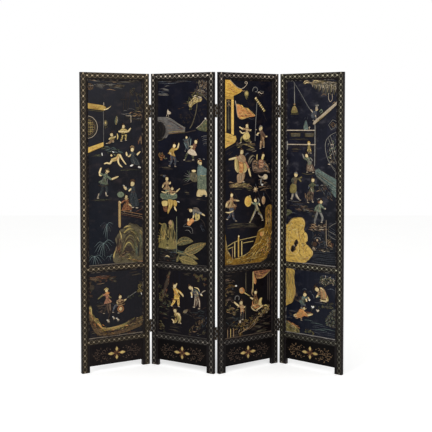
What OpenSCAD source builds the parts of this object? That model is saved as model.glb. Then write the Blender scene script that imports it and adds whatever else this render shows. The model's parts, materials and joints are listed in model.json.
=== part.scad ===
// A four-leaf folding screen, standing in zigzag. Each leaf is a lacquered frame that
// holds a tall panel, a low panel and an apron, and stands on the ends of its stiles.
// The rails are coped over the stiles' thumb moulding and tenoned into them, the panels
// float in grooves, and the leaves hang on loose-pin butt hinges with five knuckles.
//
// Millimetres and degrees. In a leaf, x runs along its width, y from its front to its
// back and z up. Folds 1 and 3 close on the fronts of their leaves, fold 2 on the backs.

/* [Leaves] */
// Height of a leaf
leaf_h = 1830; // [1500:10:2100]
// Width of a leaf
leaf_w = 457; // [380:1:560]
// Thickness of the frame
leaf_t = 22; // [20:0.5:26]

/* [Stance] */
// Turn of leaf 1 out of the straight line, its right end going back
turn_1 = 30.5; // [10:0.5:42]
// Turn of leaf 2 out of the straight line, its right end coming forward
turn_2 = 31; // [10:0.5:42]
// Turn of leaf 3 out of the straight line, its right end going back
turn_3 = 35; // [10:0.5:42]
// Turn of leaf 4 out of the straight line, its right end coming forward
turn_4 = 39; // [10:0.5:42]

/* [Frame] */
// Width of a stile
stile_w = 50; // [46:1:60]
// Height of the top rail
top_rail_h = 48; // [42:1:60]
// Bottom of the middle rail above the floor
mid_rail_z = 609; // [500:1:700]
// Height of the middle rail
mid_rail_h = 49; // [46:1:60]
// Bottom of the low rail above the floor
low_rail_z = 168; // [130:1:200]
// Height of the low rail
low_rail_h = 44; // [36:1:56]
// Wood left between a mortise and the outer edge of its stile
mortise_wall = 17; // [16:0.5:20]
// Radius of the outer arrises of the frame
arris_r = 2; // [0.5:0.25:3]
// Radius round the ends of the feet
foot_r = 4; // [1:0.5:6]

/* [Moulding] */
// Width of the thumb moulding round the panels
mould_w = 12; // [8:0.5:13]
// Fall of the moulding's curve
mould_fall = 4.5; // [3:0.25:5]
// Depth of the quirk between the flat band and the moulding
quirk_d = 1; // [0.5:0.25:1.5]
// Depth of the panels behind the moulding's edge
lip_d = 1.5; // [1:0.25:2.5]

/* [Panels] */
// Thickness of the panels, the tongues and the tenons
panel_t = 8; // [6:0.25:9]
// Length of a tongue in its groove
tongue_l = 8; // [6:0.5:9]
// Room for a panel to move at the bottom of a groove
panel_play = 1; // [0.5:0.25:1.5]

/* [Apron] */
// Bottom of the apron above the floor
apron_z = 38; // [20:1:60]
// Thickness of the apron
apron_t = 14; // [14:0.5:16]
// Depth of the apron's face behind the face of the frame
apron_in = 2.5; // [1:0.25:3]
// Radius of the apron's lower front edge
apron_r = 2; // [1:0.25:3]

/* [Hinges] */
// Length of a hinge
hinge_l = 76; // [64:1:100]
// Diameter of the knuckles, which sets the open joint between the leaves
knuckle_d = 10; // [8:0.25:12]
// Diameter of a hinge pin
pin_d = 5; // [4:0.25:6]
// Diameter of the domed heads of a pin
pin_head_d = 8; // [7:0.25:9]
// Distance of a pin's axis outside the face that its fold closes on
pin_out = 1.5; // [1:0.25:2.5]
// Thickness of a hinge plate
plate_t = 2; // [1.75:0.25:2.5]
// Reach of a hinge plate over the edge of its leaf
plate_w = 18; // [16:0.25:19]
// Middle of an upper hinge below the top of the leaves
upper_hinge_drop = 232; // [150:1:400]
// Middle of a lower hinge above the floor
lower_hinge_z = 246; // [160:1:450]

/* [Screws] */
// Length of a hinge screw
screw_l = 16; // [12:0.5:16]
// Diameter of a screw's shank
screw_d = 3.4; // [3:0.1:4]
// Diameter of a screw's head
screw_head_d = 7; // [6:0.25:7.5]
// Middle of a screw to the nearest long edge of its plate
screw_edge = 4.5; // [4:0.25:5]
// Middle of an outer screw to the end of its plate
screw_end = 12; // [8:0.5:16]
// Width of the slot in a screw's head
slot_w = 1; // [0.6:0.1:1.2]
// Depth of the slot in a screw's head
slot_d = 0.9; // [0.5:0.1:1.2]

/* [Fits] */
// Gap at a glued shoulder or a panel's side
joint_gap = 0.1; // [0.05:0.05:0.2]
// Gap round the end of a tenon or a screw
end_gap = 0.5; // [0.3:0.1:0.8]
// Radial clearance of a pin in its knuckles
pin_fit = 0.05; // [0.03:0.01:0.1]
// Clearance between neighbouring knuckles
knuckle_gap = 0.25; // [0.15:0.05:0.5]
// Clearance of a plate round the other plate's knuckles
knuckle_room = 0.5; // [0.3:0.1:1]

/* [Hidden] */
LEAVES = [1, 2, 3, 4];
FOLDS = [1, 2, 3];
HEIGHTS = ["upper", "lower"];
$fn = 48;

knuckles = 5;
screws_per_plate = 3;
slot_turn = 35; // each screw's slot is turned this much further than the last
over = 1; // a cutter runs this far past the face that it opens on

lacquer = [0.10, 0.08, 0.07];
panel_lacquer = [0.07, 0.08, 0.11];
apron_lacquer = [0.09, 0.08, 0.10];
hinge_metal = [0.16, 0.12, 0.10];
pin_metal = [0.22, 0.17, 0.13];
screw_metal = [0.30, 0.25, 0.20];

band_w = stile_w - mould_w;
mould_r = (mould_w * mould_w + mould_fall * mould_fall) / (2 * mould_fall);
mould_d = quirk_d + mould_fall;
panel_in = mould_d + lip_d;
groove_l = tongue_l + panel_play;
tenon_end = mortise_wall + end_gap;
top_rail_z = leaf_h - top_rail_h;

knuckle_r = knuckle_d / 2;
fold_gap = knuckle_d;
knuckle_pitch = hinge_l / knuckles;
cut_back = knuckle_r + knuckle_room;
hinge_z = [leaf_h - upper_hinge_drop - hinge_l / 2, lower_hinge_z - hinge_l / 2];

// ---- where the leaves stand ----

function turned(a, p) = [p.x * cos(a) - p.y * sin(a), p.x * sin(a) + p.y * cos(a)];

// Turn of a leaf from the x axis: the leaves lean back and forward by turns
function heading(n) = [turn_1, -turn_2, turn_3, -turn_4][n - 1];

// True where a fold closes on the backs of its leaves
function closes_back(fold) = fold == 2;

// Pin axis of a fold, in the leaf on its left and in the leaf on its right
function pin_y(fold) = closes_back(fold) ? leaf_t + pin_out : -pin_out;
function pin_in_left(fold) = [leaf_w + fold_gap / 2, pin_y(fold)];
function pin_in_right(fold) = [-fold_gap / 2, pin_y(fold)];

// Lower left front corner of a leaf when the first pin stands at the origin
function corner(n) = n == 1
  ? -turned(heading(1), pin_in_left(1))
  : corner(n - 1) + turned(heading(n - 1), pin_in_left(n - 1))
    - turned(heading(n), pin_in_right(n - 1));

// Middles of the four rounded arrises of a leaf
function arrises(n) = [
  for (x = [arris_r, leaf_w - arris_r], y = [arris_r, leaf_t - arris_r])
    corner(n) + turned(heading(n), [x, y])
];
all_arrises = [for (n = LEAVES) each arrises(n)];
middle = [
  for (axis = [0, 1])
    let (along = [for (p = all_arrises) p[axis]])
      (min(along) + max(along)) / 2
];

module stand(n) {
  translate(corner(n) - middle) rotate(heading(n)) children();
}

// ---- frame ----

// Takes the corner off a piece that fills the first quadrant, leaving a round arris
module arris_cut(r) {
  difference() {
    translate([-over, -over]) square(r + over);
    translate([r, r]) circle(r);
  }
}

// What the thumb moulding takes off the front of a piece whose edge is at x = 0
module thumb_cut() {
  difference() {
    translate([-mould_w, -over]) square([mould_w + over, mould_d + over]);
    translate([-mould_w, quirk_d + mould_r]) circle(mould_r);
  }
}

// Groove for a panel, in a piece whose edge is at x = 0
module groove_cut() {
  translate([-groove_l, panel_in - joint_gap])
    square([groove_l + over, panel_t + 2 * joint_gap]);
}

// Lowest and highest point of a rail's tenon, clear of the grooves in the rail
function tenon_z(rail_z, rail_h) =
  [rail_z + groove_l + end_gap, rail_z + rail_h - groove_l - end_gap];

module mortise(rail_z, rail_h) {
  z = tenon_z(rail_z, rail_h);
  translate([mortise_wall, panel_in - joint_gap, z[0] - joint_gap])
    cube([stile_w, panel_t + 2 * joint_gap, z[1] - z[0] + 2 * joint_gap]);
}

// Rounds the four lower edges of a foot
module foot_rounding() {
  for (side = [0, 1])
    translate([side * stile_w, leaf_t + over, 0]) mirror([side, 0, 0])
      rotate([90, 0, 0]) linear_extrude(leaf_t + 2 * over) arris_cut(foot_r);
  for (side = [0, 1])
    translate([-over, side * leaf_t, 0]) mirror([0, side, 0])
      rotate([90, 0, 90]) linear_extrude(stile_w + 2 * over) arris_cut(foot_r);
}

// A left stile, its outer edge at x = 0, before its screw holes
module stile_blank() {
  groove_top = top_rail_z + groove_l;
  groove_bottom = apron_z - joint_gap;
  difference() {
    linear_extrude(leaf_h) difference() {
      square([stile_w, leaf_t]);
      arris_cut(arris_r);
      translate([0, leaf_t]) mirror([0, 1]) arris_cut(arris_r);
    }
    translate([stile_w, 0, low_rail_z]) linear_extrude(leaf_h) thumb_cut();
    translate([stile_w, 0, groove_bottom])
      linear_extrude(groove_top - groove_bottom) groove_cut();
    mortise(low_rail_z, low_rail_h);
    mortise(mid_rail_z, mid_rail_h);
    mortise(top_rail_z, top_rail_h);
    foot_rounding();
  }
}

module left_stile(n) {
  color(lacquer) stand(n) difference() {
    stile_blank();
    if (n > 1) edge_screws(n, false, joint_gap);
  }
}

module right_stile(n) {
  color(lacquer) stand(n) difference() {
    translate([leaf_w, 0, 0]) mirror([1, 0, 0]) stile_blank();
    if (n < len(LEAVES)) edge_screws(n, true, joint_gap);
  }
}

// Turns an edge's cut from a stile to the upper or the lower edge of a rail's section
module upper_edge(rail_h) {
  translate([0, rail_h]) mirror([1, -1]) children();
}
module lower_edge() {
  mirror([0, 1]) mirror([1, -1]) children();
}

// Ends of a rail, seen from above: coped over the stiles' moulding
module cope() {
  intersection() {
    square([stile_w + joint_gap, leaf_t + over]);
    union() {
      translate([band_w, quirk_d + mould_r]) circle(mould_r + joint_gap);
      translate([0, mould_d]) square([leaf_w, leaf_t]);
    }
  }
}
module rail_plan() {
  shoulder = band_w + joint_gap;
  difference() {
    translate([shoulder, 0]) square([leaf_w - 2 * shoulder, leaf_t]);
    cope();
    translate([leaf_w, 0]) mirror([1, 0]) cope();
  }
}

// A rail with its tenons. The children are cut from its section, which has y across
// the leaf as x and the height in the rail as y.
module rail(n, rail_z, rail_h) {
  z = tenon_z(rail_z, rail_h);
  color(lacquer) stand(n) {
    translate([0, 0, rail_z]) intersection() {
      linear_extrude(rail_h) rail_plan();
      rotate([90, 0, 90]) linear_extrude(leaf_w) difference() {
        square([leaf_t, rail_h]);
        children();
      }
    }
    translate([tenon_end, panel_in, z[0]])
      cube([leaf_w - 2 * tenon_end, panel_t, z[1] - z[0]]);
  }
}

module top_rail(n) {
  rail(n, top_rail_z, top_rail_h) {
    lower_edge() groove_cut();
    lower_edge() thumb_cut();
    translate([0, top_rail_h]) mirror([0, 1]) arris_cut(arris_r);
    translate([leaf_t, top_rail_h]) rotate(180) arris_cut(arris_r);
  }
}

module middle_rail(n) {
  rail(n, mid_rail_z, mid_rail_h) {
    lower_edge() groove_cut();
    lower_edge() thumb_cut();
    upper_edge(mid_rail_h) groove_cut();
    upper_edge(mid_rail_h) thumb_cut();
  }
}

module low_rail(n) {
  rail(n, low_rail_z, low_rail_h) {
    lower_edge() groove_cut();
    upper_edge(low_rail_h) groove_cut();
    upper_edge(low_rail_h) thumb_cut();
  }
}

// ---- panels and apron ----

// A panel between two heights, with its tongues in the grooves round it
module panel(n, z0, z1) {
  left = stile_w - tongue_l;
  color(panel_lacquer) stand(n)
    translate([left, panel_in, z0 - tongue_l])
      cube([leaf_w - 2 * left, panel_t, z1 - z0 + 2 * tongue_l]);
}

module upper_panel(n) {
  panel(n, mid_rail_z + mid_rail_h, top_rail_z);
}

module lower_panel(n) {
  panel(n, low_rail_z + low_rail_h, mid_rail_z);
}

// A board thicker than the panels, with a tongue on its ends and its upper edge
module apron(n) {
  board_x = stile_w + joint_gap;
  board_h = low_rail_z - apron_z - joint_gap;
  tongue_x = stile_w - tongue_l;
  color(apron_lacquer) stand(n) translate([0, 0, apron_z]) {
    translate([board_x, apron_in, 0])
      rotate([90, 0, 90]) linear_extrude(leaf_w - 2 * board_x) difference() {
        square([apron_t, board_h]);
        arris_cut(apron_r);
      }
    translate([tongue_x, panel_in, 0])
      cube([leaf_w - 2 * tongue_x, panel_t, low_rail_z - apron_z + tongue_l]);
  }
}

// ---- hinges ----
// In a hinge, x runs from the pin's axis into the leaf, y from the axis across the
// leaf's edge, and z up from the hinge's lower end.

module at_edge(n, right) {
  fold = right ? n : n - 1;
  translate(right ? pin_in_left(fold) : pin_in_right(fold))
    mirror([right ? 1 : 0, 0, 0])
      mirror([0, closes_back(fold) ? 1 : 0, 0])
        children();
}

// Height and distance across the edge of each screw, staggered in two rows
function screw_y(i) = i % 2 == 0
  ? cut_back + screw_edge
  : pin_out + plate_w - screw_edge;
function screw_z(i) =
  screw_end + i * (hinge_l - 2 * screw_end) / (screws_per_plate - 1);

// A countersunk screw, its head flush with the open face of the plate
module screw(turn) {
  difference() {
    translate([knuckle_r - plate_t, 0, 0]) rotate([0, 90, 0]) union() {
      cylinder(d = screw_d, h = screw_l);
      cylinder(d1 = screw_head_d, d2 = screw_d, h = (screw_head_d - screw_d) / 2);
    }
    translate([knuckle_r - plate_t, 0, 0]) rotate([turn, 0, 0])
      translate([-over, -screw_head_d, -slot_w / 2])
        cube([over + slot_d, 2 * screw_head_d, slot_w]);
  }
}

// The hole for a screw, countersunk at 90 degrees
module screw_hole(fit) {
  hole_d = screw_d + 2 * fit;
  sink = (screw_head_d - screw_d) / 2 + over;
  translate([knuckle_r - plate_t, 0, 0]) rotate([0, 90, 0]) union() {
    cylinder(d = hole_d, h = screw_l + end_gap);
    translate([0, 0, -over]) cylinder(d1 = hole_d + 2 * sink, d2 = hole_d, h = sink);
  }
}

// The holes for both hinges in one edge of a leaf
module edge_screws(n, right, fit) {
  at_edge(n, right)
    for (z = hinge_z, i = [0 : screws_per_plate - 1])
      translate([0, screw_y(i), z + screw_z(i)]) screw_hole(fit);
}

module hinge_screws(n) {
  color(screw_metal) stand(n)
    for (right = [false, true])
      if (right ? n < len(LEAVES) : n > 1)
        at_edge(n, right)
          for (z = hinge_z, i = [0 : screws_per_plate - 1])
            translate([0, screw_y(i), z + screw_z(i)]) screw(turn = slot_turn * (i + n));
}

// A plate with every other knuckle of the barrel, from the first one or the second
module plate(n, right, z, first) {
  color(hinge_metal) stand(n) at_edge(n, right) translate([0, 0, z]) difference() {
    union() {
      cylinder(r = knuckle_r, h = hinge_l);
      translate([knuckle_r - plate_t, 0, 0]) cube([plate_t, pin_out + plate_w, hinge_l]);
    }
    for (k = [0 : knuckles - 1])
      if (k % 2 != first)
        translate([-cut_back, -cut_back, k * knuckle_pitch - knuckle_gap / 2])
          cube([2 * cut_back, 2 * cut_back, knuckle_pitch + knuckle_gap]);
    translate([0, 0, -over]) cylinder(r = pin_d / 2 + pin_fit, h = hinge_l + 2 * over);
    for (i = [0 : screws_per_plate - 1])
      translate([0, screw_y(i), screw_z(i)]) screw_hole(joint_gap);
  }
}

// The plate with three knuckles is on leaf 2 or 3, which its pin turns with
module left_plate(fold, z) {
  plate(fold, true, z, first = fold == 1 ? 1 : 0);
}
module right_plate(fold, z) {
  plate(fold + 1, false, z, first = fold == 1 ? 0 : 1);
}

// A pin with a dome at each end, set on the ends of the barrel
module pin(fold, z) {
  color(pin_metal) stand(fold) at_edge(fold, true) translate([0, 0, z])
    rotate_extrude() union() {
      square([pin_d / 2, hinge_l]);
      for (end = [0, 1])
        translate([0, end * hinge_l]) intersection() {
          circle(pin_head_d / 2);
          translate([0, (end - 1) * pin_head_d]) square(pin_head_d);
        }
    }
}

for (n = LEAVES) {
  left_stile(n);
  right_stile(n);
  top_rail(n);
  middle_rail(n);
  low_rail(n);
  upper_panel(n);
  lower_panel(n);
  apron(n);
  hinge_screws(n);
}
for (fold = FOLDS, h = [0, 1]) {
  hinge = str("fold_", fold, "_", HEIGHTS[h]);
  left_plate(fold, hinge_z[h]);
  right_plate(fold, hinge_z[h]);
  pin(fold, hinge_z[h]);
}
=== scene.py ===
"""Looks of a folding lacquer screen: bordered frames, raised garden scenes and gilt aprons on four leaves."""

import json
import math
import random

import bpy
import numpy as np
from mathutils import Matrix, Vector
from mathutils.geometry import delaunay_2d_cdt


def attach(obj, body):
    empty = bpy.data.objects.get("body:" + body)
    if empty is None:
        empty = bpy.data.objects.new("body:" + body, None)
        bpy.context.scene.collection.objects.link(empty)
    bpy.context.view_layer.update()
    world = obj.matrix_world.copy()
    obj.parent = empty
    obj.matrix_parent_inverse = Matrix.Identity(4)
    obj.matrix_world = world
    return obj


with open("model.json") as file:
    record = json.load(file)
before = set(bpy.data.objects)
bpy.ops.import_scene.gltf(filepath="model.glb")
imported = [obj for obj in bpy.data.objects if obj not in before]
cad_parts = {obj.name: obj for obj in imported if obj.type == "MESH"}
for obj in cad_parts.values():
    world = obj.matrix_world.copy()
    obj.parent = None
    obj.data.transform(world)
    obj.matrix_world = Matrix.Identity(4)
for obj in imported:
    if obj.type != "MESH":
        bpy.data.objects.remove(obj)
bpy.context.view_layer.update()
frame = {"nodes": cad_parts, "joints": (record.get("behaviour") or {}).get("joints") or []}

# ---------------------------------------------------------------- leaves

LEAF_W, LEAF_H, LEAF_T = 457.0, 1830.0, 22.0  # millimetres, as are all lengths up to Leaf.place
HINGE_GAP, PIN_OUT = 10.0, 1.5
TURN_DEG = {1: 30.5, 2: -31.0, 3: 35.0, 4: -39.0}
PANEL_FACE, APRON_FACE = 7.0, 2.5  # how far behind the frame's face they lie
UP = np.array((0.0, 0.0, 1.0))
FOLD_PIN = {joint["name"]: np.array(joint["pos_m"]) * 1000 for joint in frame["joints"]}
# Which fold's pin places each leaf, and where that pin is on the leaf
HELD_BY = {
    1: ("fold_1", LEAF_W + HINGE_GAP / 2, -PIN_OUT),
    2: ("fold_1", -HINGE_GAP / 2, -PIN_OUT),
    3: ("fold_2", -HINGE_GAP / 2, LEAF_T + PIN_OUT),
    4: ("fold_3", -HINGE_GAP / 2, -PIN_OUT),
}


class Leaf:
    """One leaf. u runs to its right, v back from its front face and z up, in millimetres."""

    def __init__(self, number):
        pin, pin_u, pin_v = HELD_BY[number]
        self.number = number
        self.body = f"leaf_{number}"
        self.turn = math.radians(TURN_DEG[number])
        self.right = np.array((math.cos(self.turn), math.sin(self.turn), 0.0))
        self.back = np.array((-math.sin(self.turn), math.cos(self.turn), 0.0))
        self.corner = FOLD_PIN[pin] * (1, 1, 0) - pin_u * self.right - pin_v * self.back

    def place(self, points):
        """Points (u, v, z) of the leaf as metres in the frame."""
        p = np.asarray(points, float)
        return (self.corner + p[:, :1] * self.right + p[:, 1:2] * self.back + p[:, 2:] * UP) / 1000


LEAVES = {number: Leaf(number) for number in HELD_BY}

# ---------------------------------------------------------------- materials

MIX_COLOURS, MIXED_COLOUR = (6, 7), 2  # a Mix node's colour sockets, in and out


class Number:
    """A number on its way through a tree of nodes. Its operators add Math nodes."""

    def __init__(self, maker, socket):
        self.maker, self.socket = maker, socket

    def __add__(self, other):
        return self.maker.maths("ADD", self, other)

    def __sub__(self, other):
        return self.maker.maths("SUBTRACT", self, other)

    def __mul__(self, other):
        return self.maker.maths("MULTIPLY", self, other)

    def __truediv__(self, other):
        return self.maker.maths("DIVIDE", self, other)

    def __rsub__(self, other):
        return self.maker.maths("SUBTRACT", other, self)

    __radd__, __rmul__ = __add__, __mul__


class NodeMaker:
    """A tree of nodes being built."""

    def __init__(self, tree):
        self.tree = tree

    def node(self, kind, settings=(), sockets=()):
        """Adds a node. Settings come first, and a socket takes a value, a link or a Number."""
        node = self.tree.nodes.new(kind)
        for name, value in dict(settings).items():
            setattr(node, name, value)
        for name, value in dict(sockets).items():
            self.feed(node.inputs[name], value)
        return node

    def feed(self, socket, value):
        """Gives a socket a value or a link."""
        value = value.socket if isinstance(value, Number) else value
        if isinstance(value, bpy.types.NodeSocket):
            self.tree.links.new(value, socket)
        else:
            socket.default_value = value

    def maths(self, operation, a, b=0.0):
        """A Math node's result."""
        return Number(
            self, self.node("ShaderNodeMath", {"operation": operation}, {0: a, 1: b}).outputs[0]
        )


class Finish(NodeMaker):
    """A material being built from nodes."""

    def __init__(self, name):
        self.material = bpy.data.materials.new(name)
        self.material.use_nodes = True
        super().__init__(self.material.node_tree)
        self.tree.nodes.clear()
        self.shader = self.node("ShaderNodeBsdfPrincipled")
        self.output = self.node(
            "ShaderNodeOutputMaterial", sockets={"Surface": self.shader.outputs["BSDF"]}
        )
        self.place = self.node("ShaderNodeTexCoord").outputs["Object"]

    def ramp(self, value, low, high):
        """0 at low, 1 at high, and smooth between them. High may be the lower number."""
        if low > high:
            return 1 - self.ramp(value, high, low)
        settings = {"interpolation_type": "SMOOTHSTEP"}
        sockets = {"Value": value, "From Min": low, "From Max": high}
        return Number(self, self.node("ShaderNodeMapRange", settings, sockets).outputs["Result"])

    def noise(self, size, detail=3.0, rough=0.55, place=None, stretch=None):
        """Noise from 0 to 1, with spots about size millimetres across."""
        place = self.place if place is None else place
        if stretch is not None:
            place = self.node(
                "ShaderNodeVectorMath", {"operation": "MULTIPLY"}, {0: place, 1: stretch}
            ).outputs[0]
        sockets = {"Vector": place, "Scale": 1000 / size, "Detail": detail, "Roughness": rough}
        return Number(self, self.node("ShaderNodeTexNoise", sockets=sockets).outputs["Fac"])

    def mix(self, amount, first, second):
        """A colour between two, each a colour socket or a colour."""
        sockets = {0: amount, MIX_COLOURS[0]: first, MIX_COLOURS[1]: second}
        return self.node("ShaderNodeMix", {"data_type": "RGBA"}, sockets).outputs[MIXED_COLOUR]

    def attribute(self, name):
        """A number stored on the mesh."""
        return Number(self, self.node("ShaderNodeAttribute", {"attribute_name": name}).outputs["Fac"])

    def bump(self, height, depth):
        """A surface raised by height, 0 to 1, times depth in millimetres."""
        sockets = {"Height": height, "Distance": depth / 1000, "Strength": 1.0}
        return self.node("ShaderNodeBump", sockets=sockets).outputs["Normal"]

    def finish(self, **sockets):
        """Feeds the shader's sockets and gives the material."""
        for name, value in sockets.items():
            self.feed(self.shader.inputs[name.replace("_", " ")], value)
        return self.material


def colour(red, green, blue, light=1.0):
    """A colour written in 0 to 255, as the linear colour that a socket takes."""
    parts = [value / 255 for value in (red, green, blue)]
    linear = [p / 12.92 if p <= 0.04045 else ((p + 0.055) / 1.055) ** 2.4 for p in parts]
    return (*[value * light for value in linear], 1.0)


def leaf_place(finish, leaf):
    """Object coordinates turned to run along the leaf: x is u, y is v and z is z, in metres."""
    sockets = {
        "Vector": finish.place, "Location": tuple(leaf.corner / 1000), "Rotation": (0, 0, leaf.turn)
    }
    mapped = finish.node("ShaderNodeMapping", {"vector_type": "TEXTURE"}, sockets).outputs[0]
    parts = finish.node("ShaderNodeSeparateXYZ", sockets={0: mapped}).outputs
    return mapped, [Number(finish, part) * 1000 for part in parts]


# Each leaf's lacquer colour, drawn lighter or darker by leaf as painted light for how the light falls on it,
# and how much of the room it mirrors
PANEL_TONE = {
    1: ((20, 20, 27), 0.09), 2: ((15, 16, 27), 0.05), 3: ((14, 14, 24), 0.06), 4: ((22, 23, 34), 0.09)
}
# The colour of its lower panel
LOW_TONE = {1: (20, 19, 24), 2: (14, 11, 15), 3: (10, 7, 9), 4: (13, 16, 28)}
# Its smoky stain, and how strong that is
SMOKE = {1: ((58, 48, 48), 0.5), 2: ((48, 42, 44), 0.45), 3: ((48, 38, 34), 0.5), 4: ((72, 70, 76), 0.7)}
# Painted shade on the upper panel, darker towards its lower part and one side: its colour, and the distances
# from the left between which it grows
PAINTED_SHADE_TONE = {
    1: ((9, 14, 24), 260, 90), 2: ((9, 8, 11), -40, 60), 3: ((11, 8, 7), 60, 340),
    4: ((11, 14, 20), 60, 380)
}
PAINTED_SHADE_HEIGHTS = (1500, 800)  # the heights between which it grows
BACK_TONE, BACK_FROM = (16, 15, 17), (14, 16)  # the panel's plain back, and how far back it starts
UPPER_FROM = (600, 620)  # the height at which the upper panel's look takes over
CRAZE_SIZE = 26
PANEL_BUMP, FRAME_BUMP, PAINT_BUMP, METAL_BUMP = 0.5, 0.3, 0.28, 0.12


def panel_lacquer(leaf):
    """Blue-black gloss lacquer, lighter or darker by leaf as painted light: cloudy, faintly brushed upright,
    crazed, flecked brown and smoke-stained, with painted shade low on the upper panel and the lower panel in
    a colour of its own.
    """
    tone, gloss = PANEL_TONE[leaf.number]
    it = Finish(f"panel_lacquer_{leaf.number}")
    mapped, (u, v, z) = leaf_place(it, leaf)
    cloud = it.noise(160, 4, 0.6, mapped)
    brush = it.noise(9, 4, 0.6, mapped, (1, 1, 0.04))
    fleck = it.noise(2.2, 2, 0.5, mapped)
    body = it.mix(it.ramp(cloud, 0.3, 0.72), colour(*tone, 0.62), colour(*tone, 1.25))
    upper = it.ramp(z, *UPPER_FROM)
    body = it.mix(upper, colour(*LOW_TONE[leaf.number]), body)
    body = it.mix(it.ramp(brush, 0.45, 0.8) * 0.35, body, colour(*tone, 1.9))
    # Painted shade: the upper panel darkened towards its lower part and one side
    painted_shade, side, far = PAINTED_SHADE_TONE[leaf.number]
    body = it.mix(it.ramp(u, side, far) * it.ramp(z, *PAINTED_SHADE_HEIGHTS) * upper * 0.85, body, colour(*painted_shade))
    body = it.mix(it.ramp(fleck, 0.66, 0.78) * 0.4, body, colour(46, 38, 33))
    stain, strength = SMOKE[leaf.number]
    smoke = it.noise(70, 5, 0.62, mapped, (1, 1, 1.7))
    body = it.mix(it.ramp(smoke, 0.5, 0.76) * strength * (0.35 + upper * 0.65), body, colour(*stain))
    body = it.mix(it.ramp(v, *BACK_FROM), body, colour(*BACK_TONE))
    sockets = {"Vector": mapped, "Scale": 1000 / CRAZE_SIZE}
    craze = it.node("ShaderNodeTexVoronoi", {"feature": "DISTANCE_TO_EDGE"}, sockets)
    crack = it.ramp(Number(it, craze.outputs[0]), 0.035, 0.0)
    crack = crack * it.ramp(it.noise(70, 2, 0.5, mapped), 0.5, 0.62)
    height = brush * 0.10 + cloud * 0.25 - crack * 0.12
    rough = 0.24 + it.ramp(cloud, 0.35, 0.7) * 0.14 + it.ramp(fleck, 0.55, 0.8) * 0.10
    it.shader.inputs["Specular IOR Level"].default_value = gloss
    return it.finish(Base_Color=body, Roughness=rough, Normal=it.bump(height, PANEL_BUMP))


# Where the front of the frame carries its border: rails as (lowest, highest), stiles up to BAND_IN
RAIL_BANDS = ((1794.0, 1827.5), (622.0, 646.5), (171.0, 199.0))
BAND_OUT, BAND_IN = 2.5, 34.5
# The border's olive ground by leaf, drawn lighter or darker as painted light for how the light falls on that
# leaf
BAND_TONE = {1: (42, 35, 25), 2: (28, 25, 22), 3: (22, 18, 16), 4: (32, 29, 23)}
# Dust on the moulding and on upward faces, with a painted highlight where they catch the light, by leaf
DUST_AND_HIGHLIGHT_TONE = {1: (150, 136, 118), 2: (74, 70, 66), 3: (106, 90, 76), 4: (174, 168, 160)}
# Painted light: how much lighter or darker each leaf's apron and frame are drawn, for how the light falls on
# that leaf
APRON_PAINTED_LIGHT = {1: 1.1, 2: 0.35, 3: 0.4, 4: 0.35}
FRAME_PAINTED_LIGHT = {1: 1.3, 2: 0.95, 3: 0.85, 4: 1.25}
APRON_GLOSS, FRAME_GLOSS = 0.04, 0.06
# Where the moulding's slope lies: in from the leaf's side, and behind its face
MOULD_ACROSS, MOULD_FRONT, MOULD_BACK = (34, 37), (1.4, 2.2), (7.2, 6.6)
FRONT_FACE, ARRIS_ACROSS, ARRIS_DEEP = (1.6, 0.8), (2.2, 0.4), (3.5, 0.5)
TOP_ARRIS, FOOT_WEAR = (LEAF_H - 2.5, LEAF_H - 0.5), (14, 2)


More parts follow.
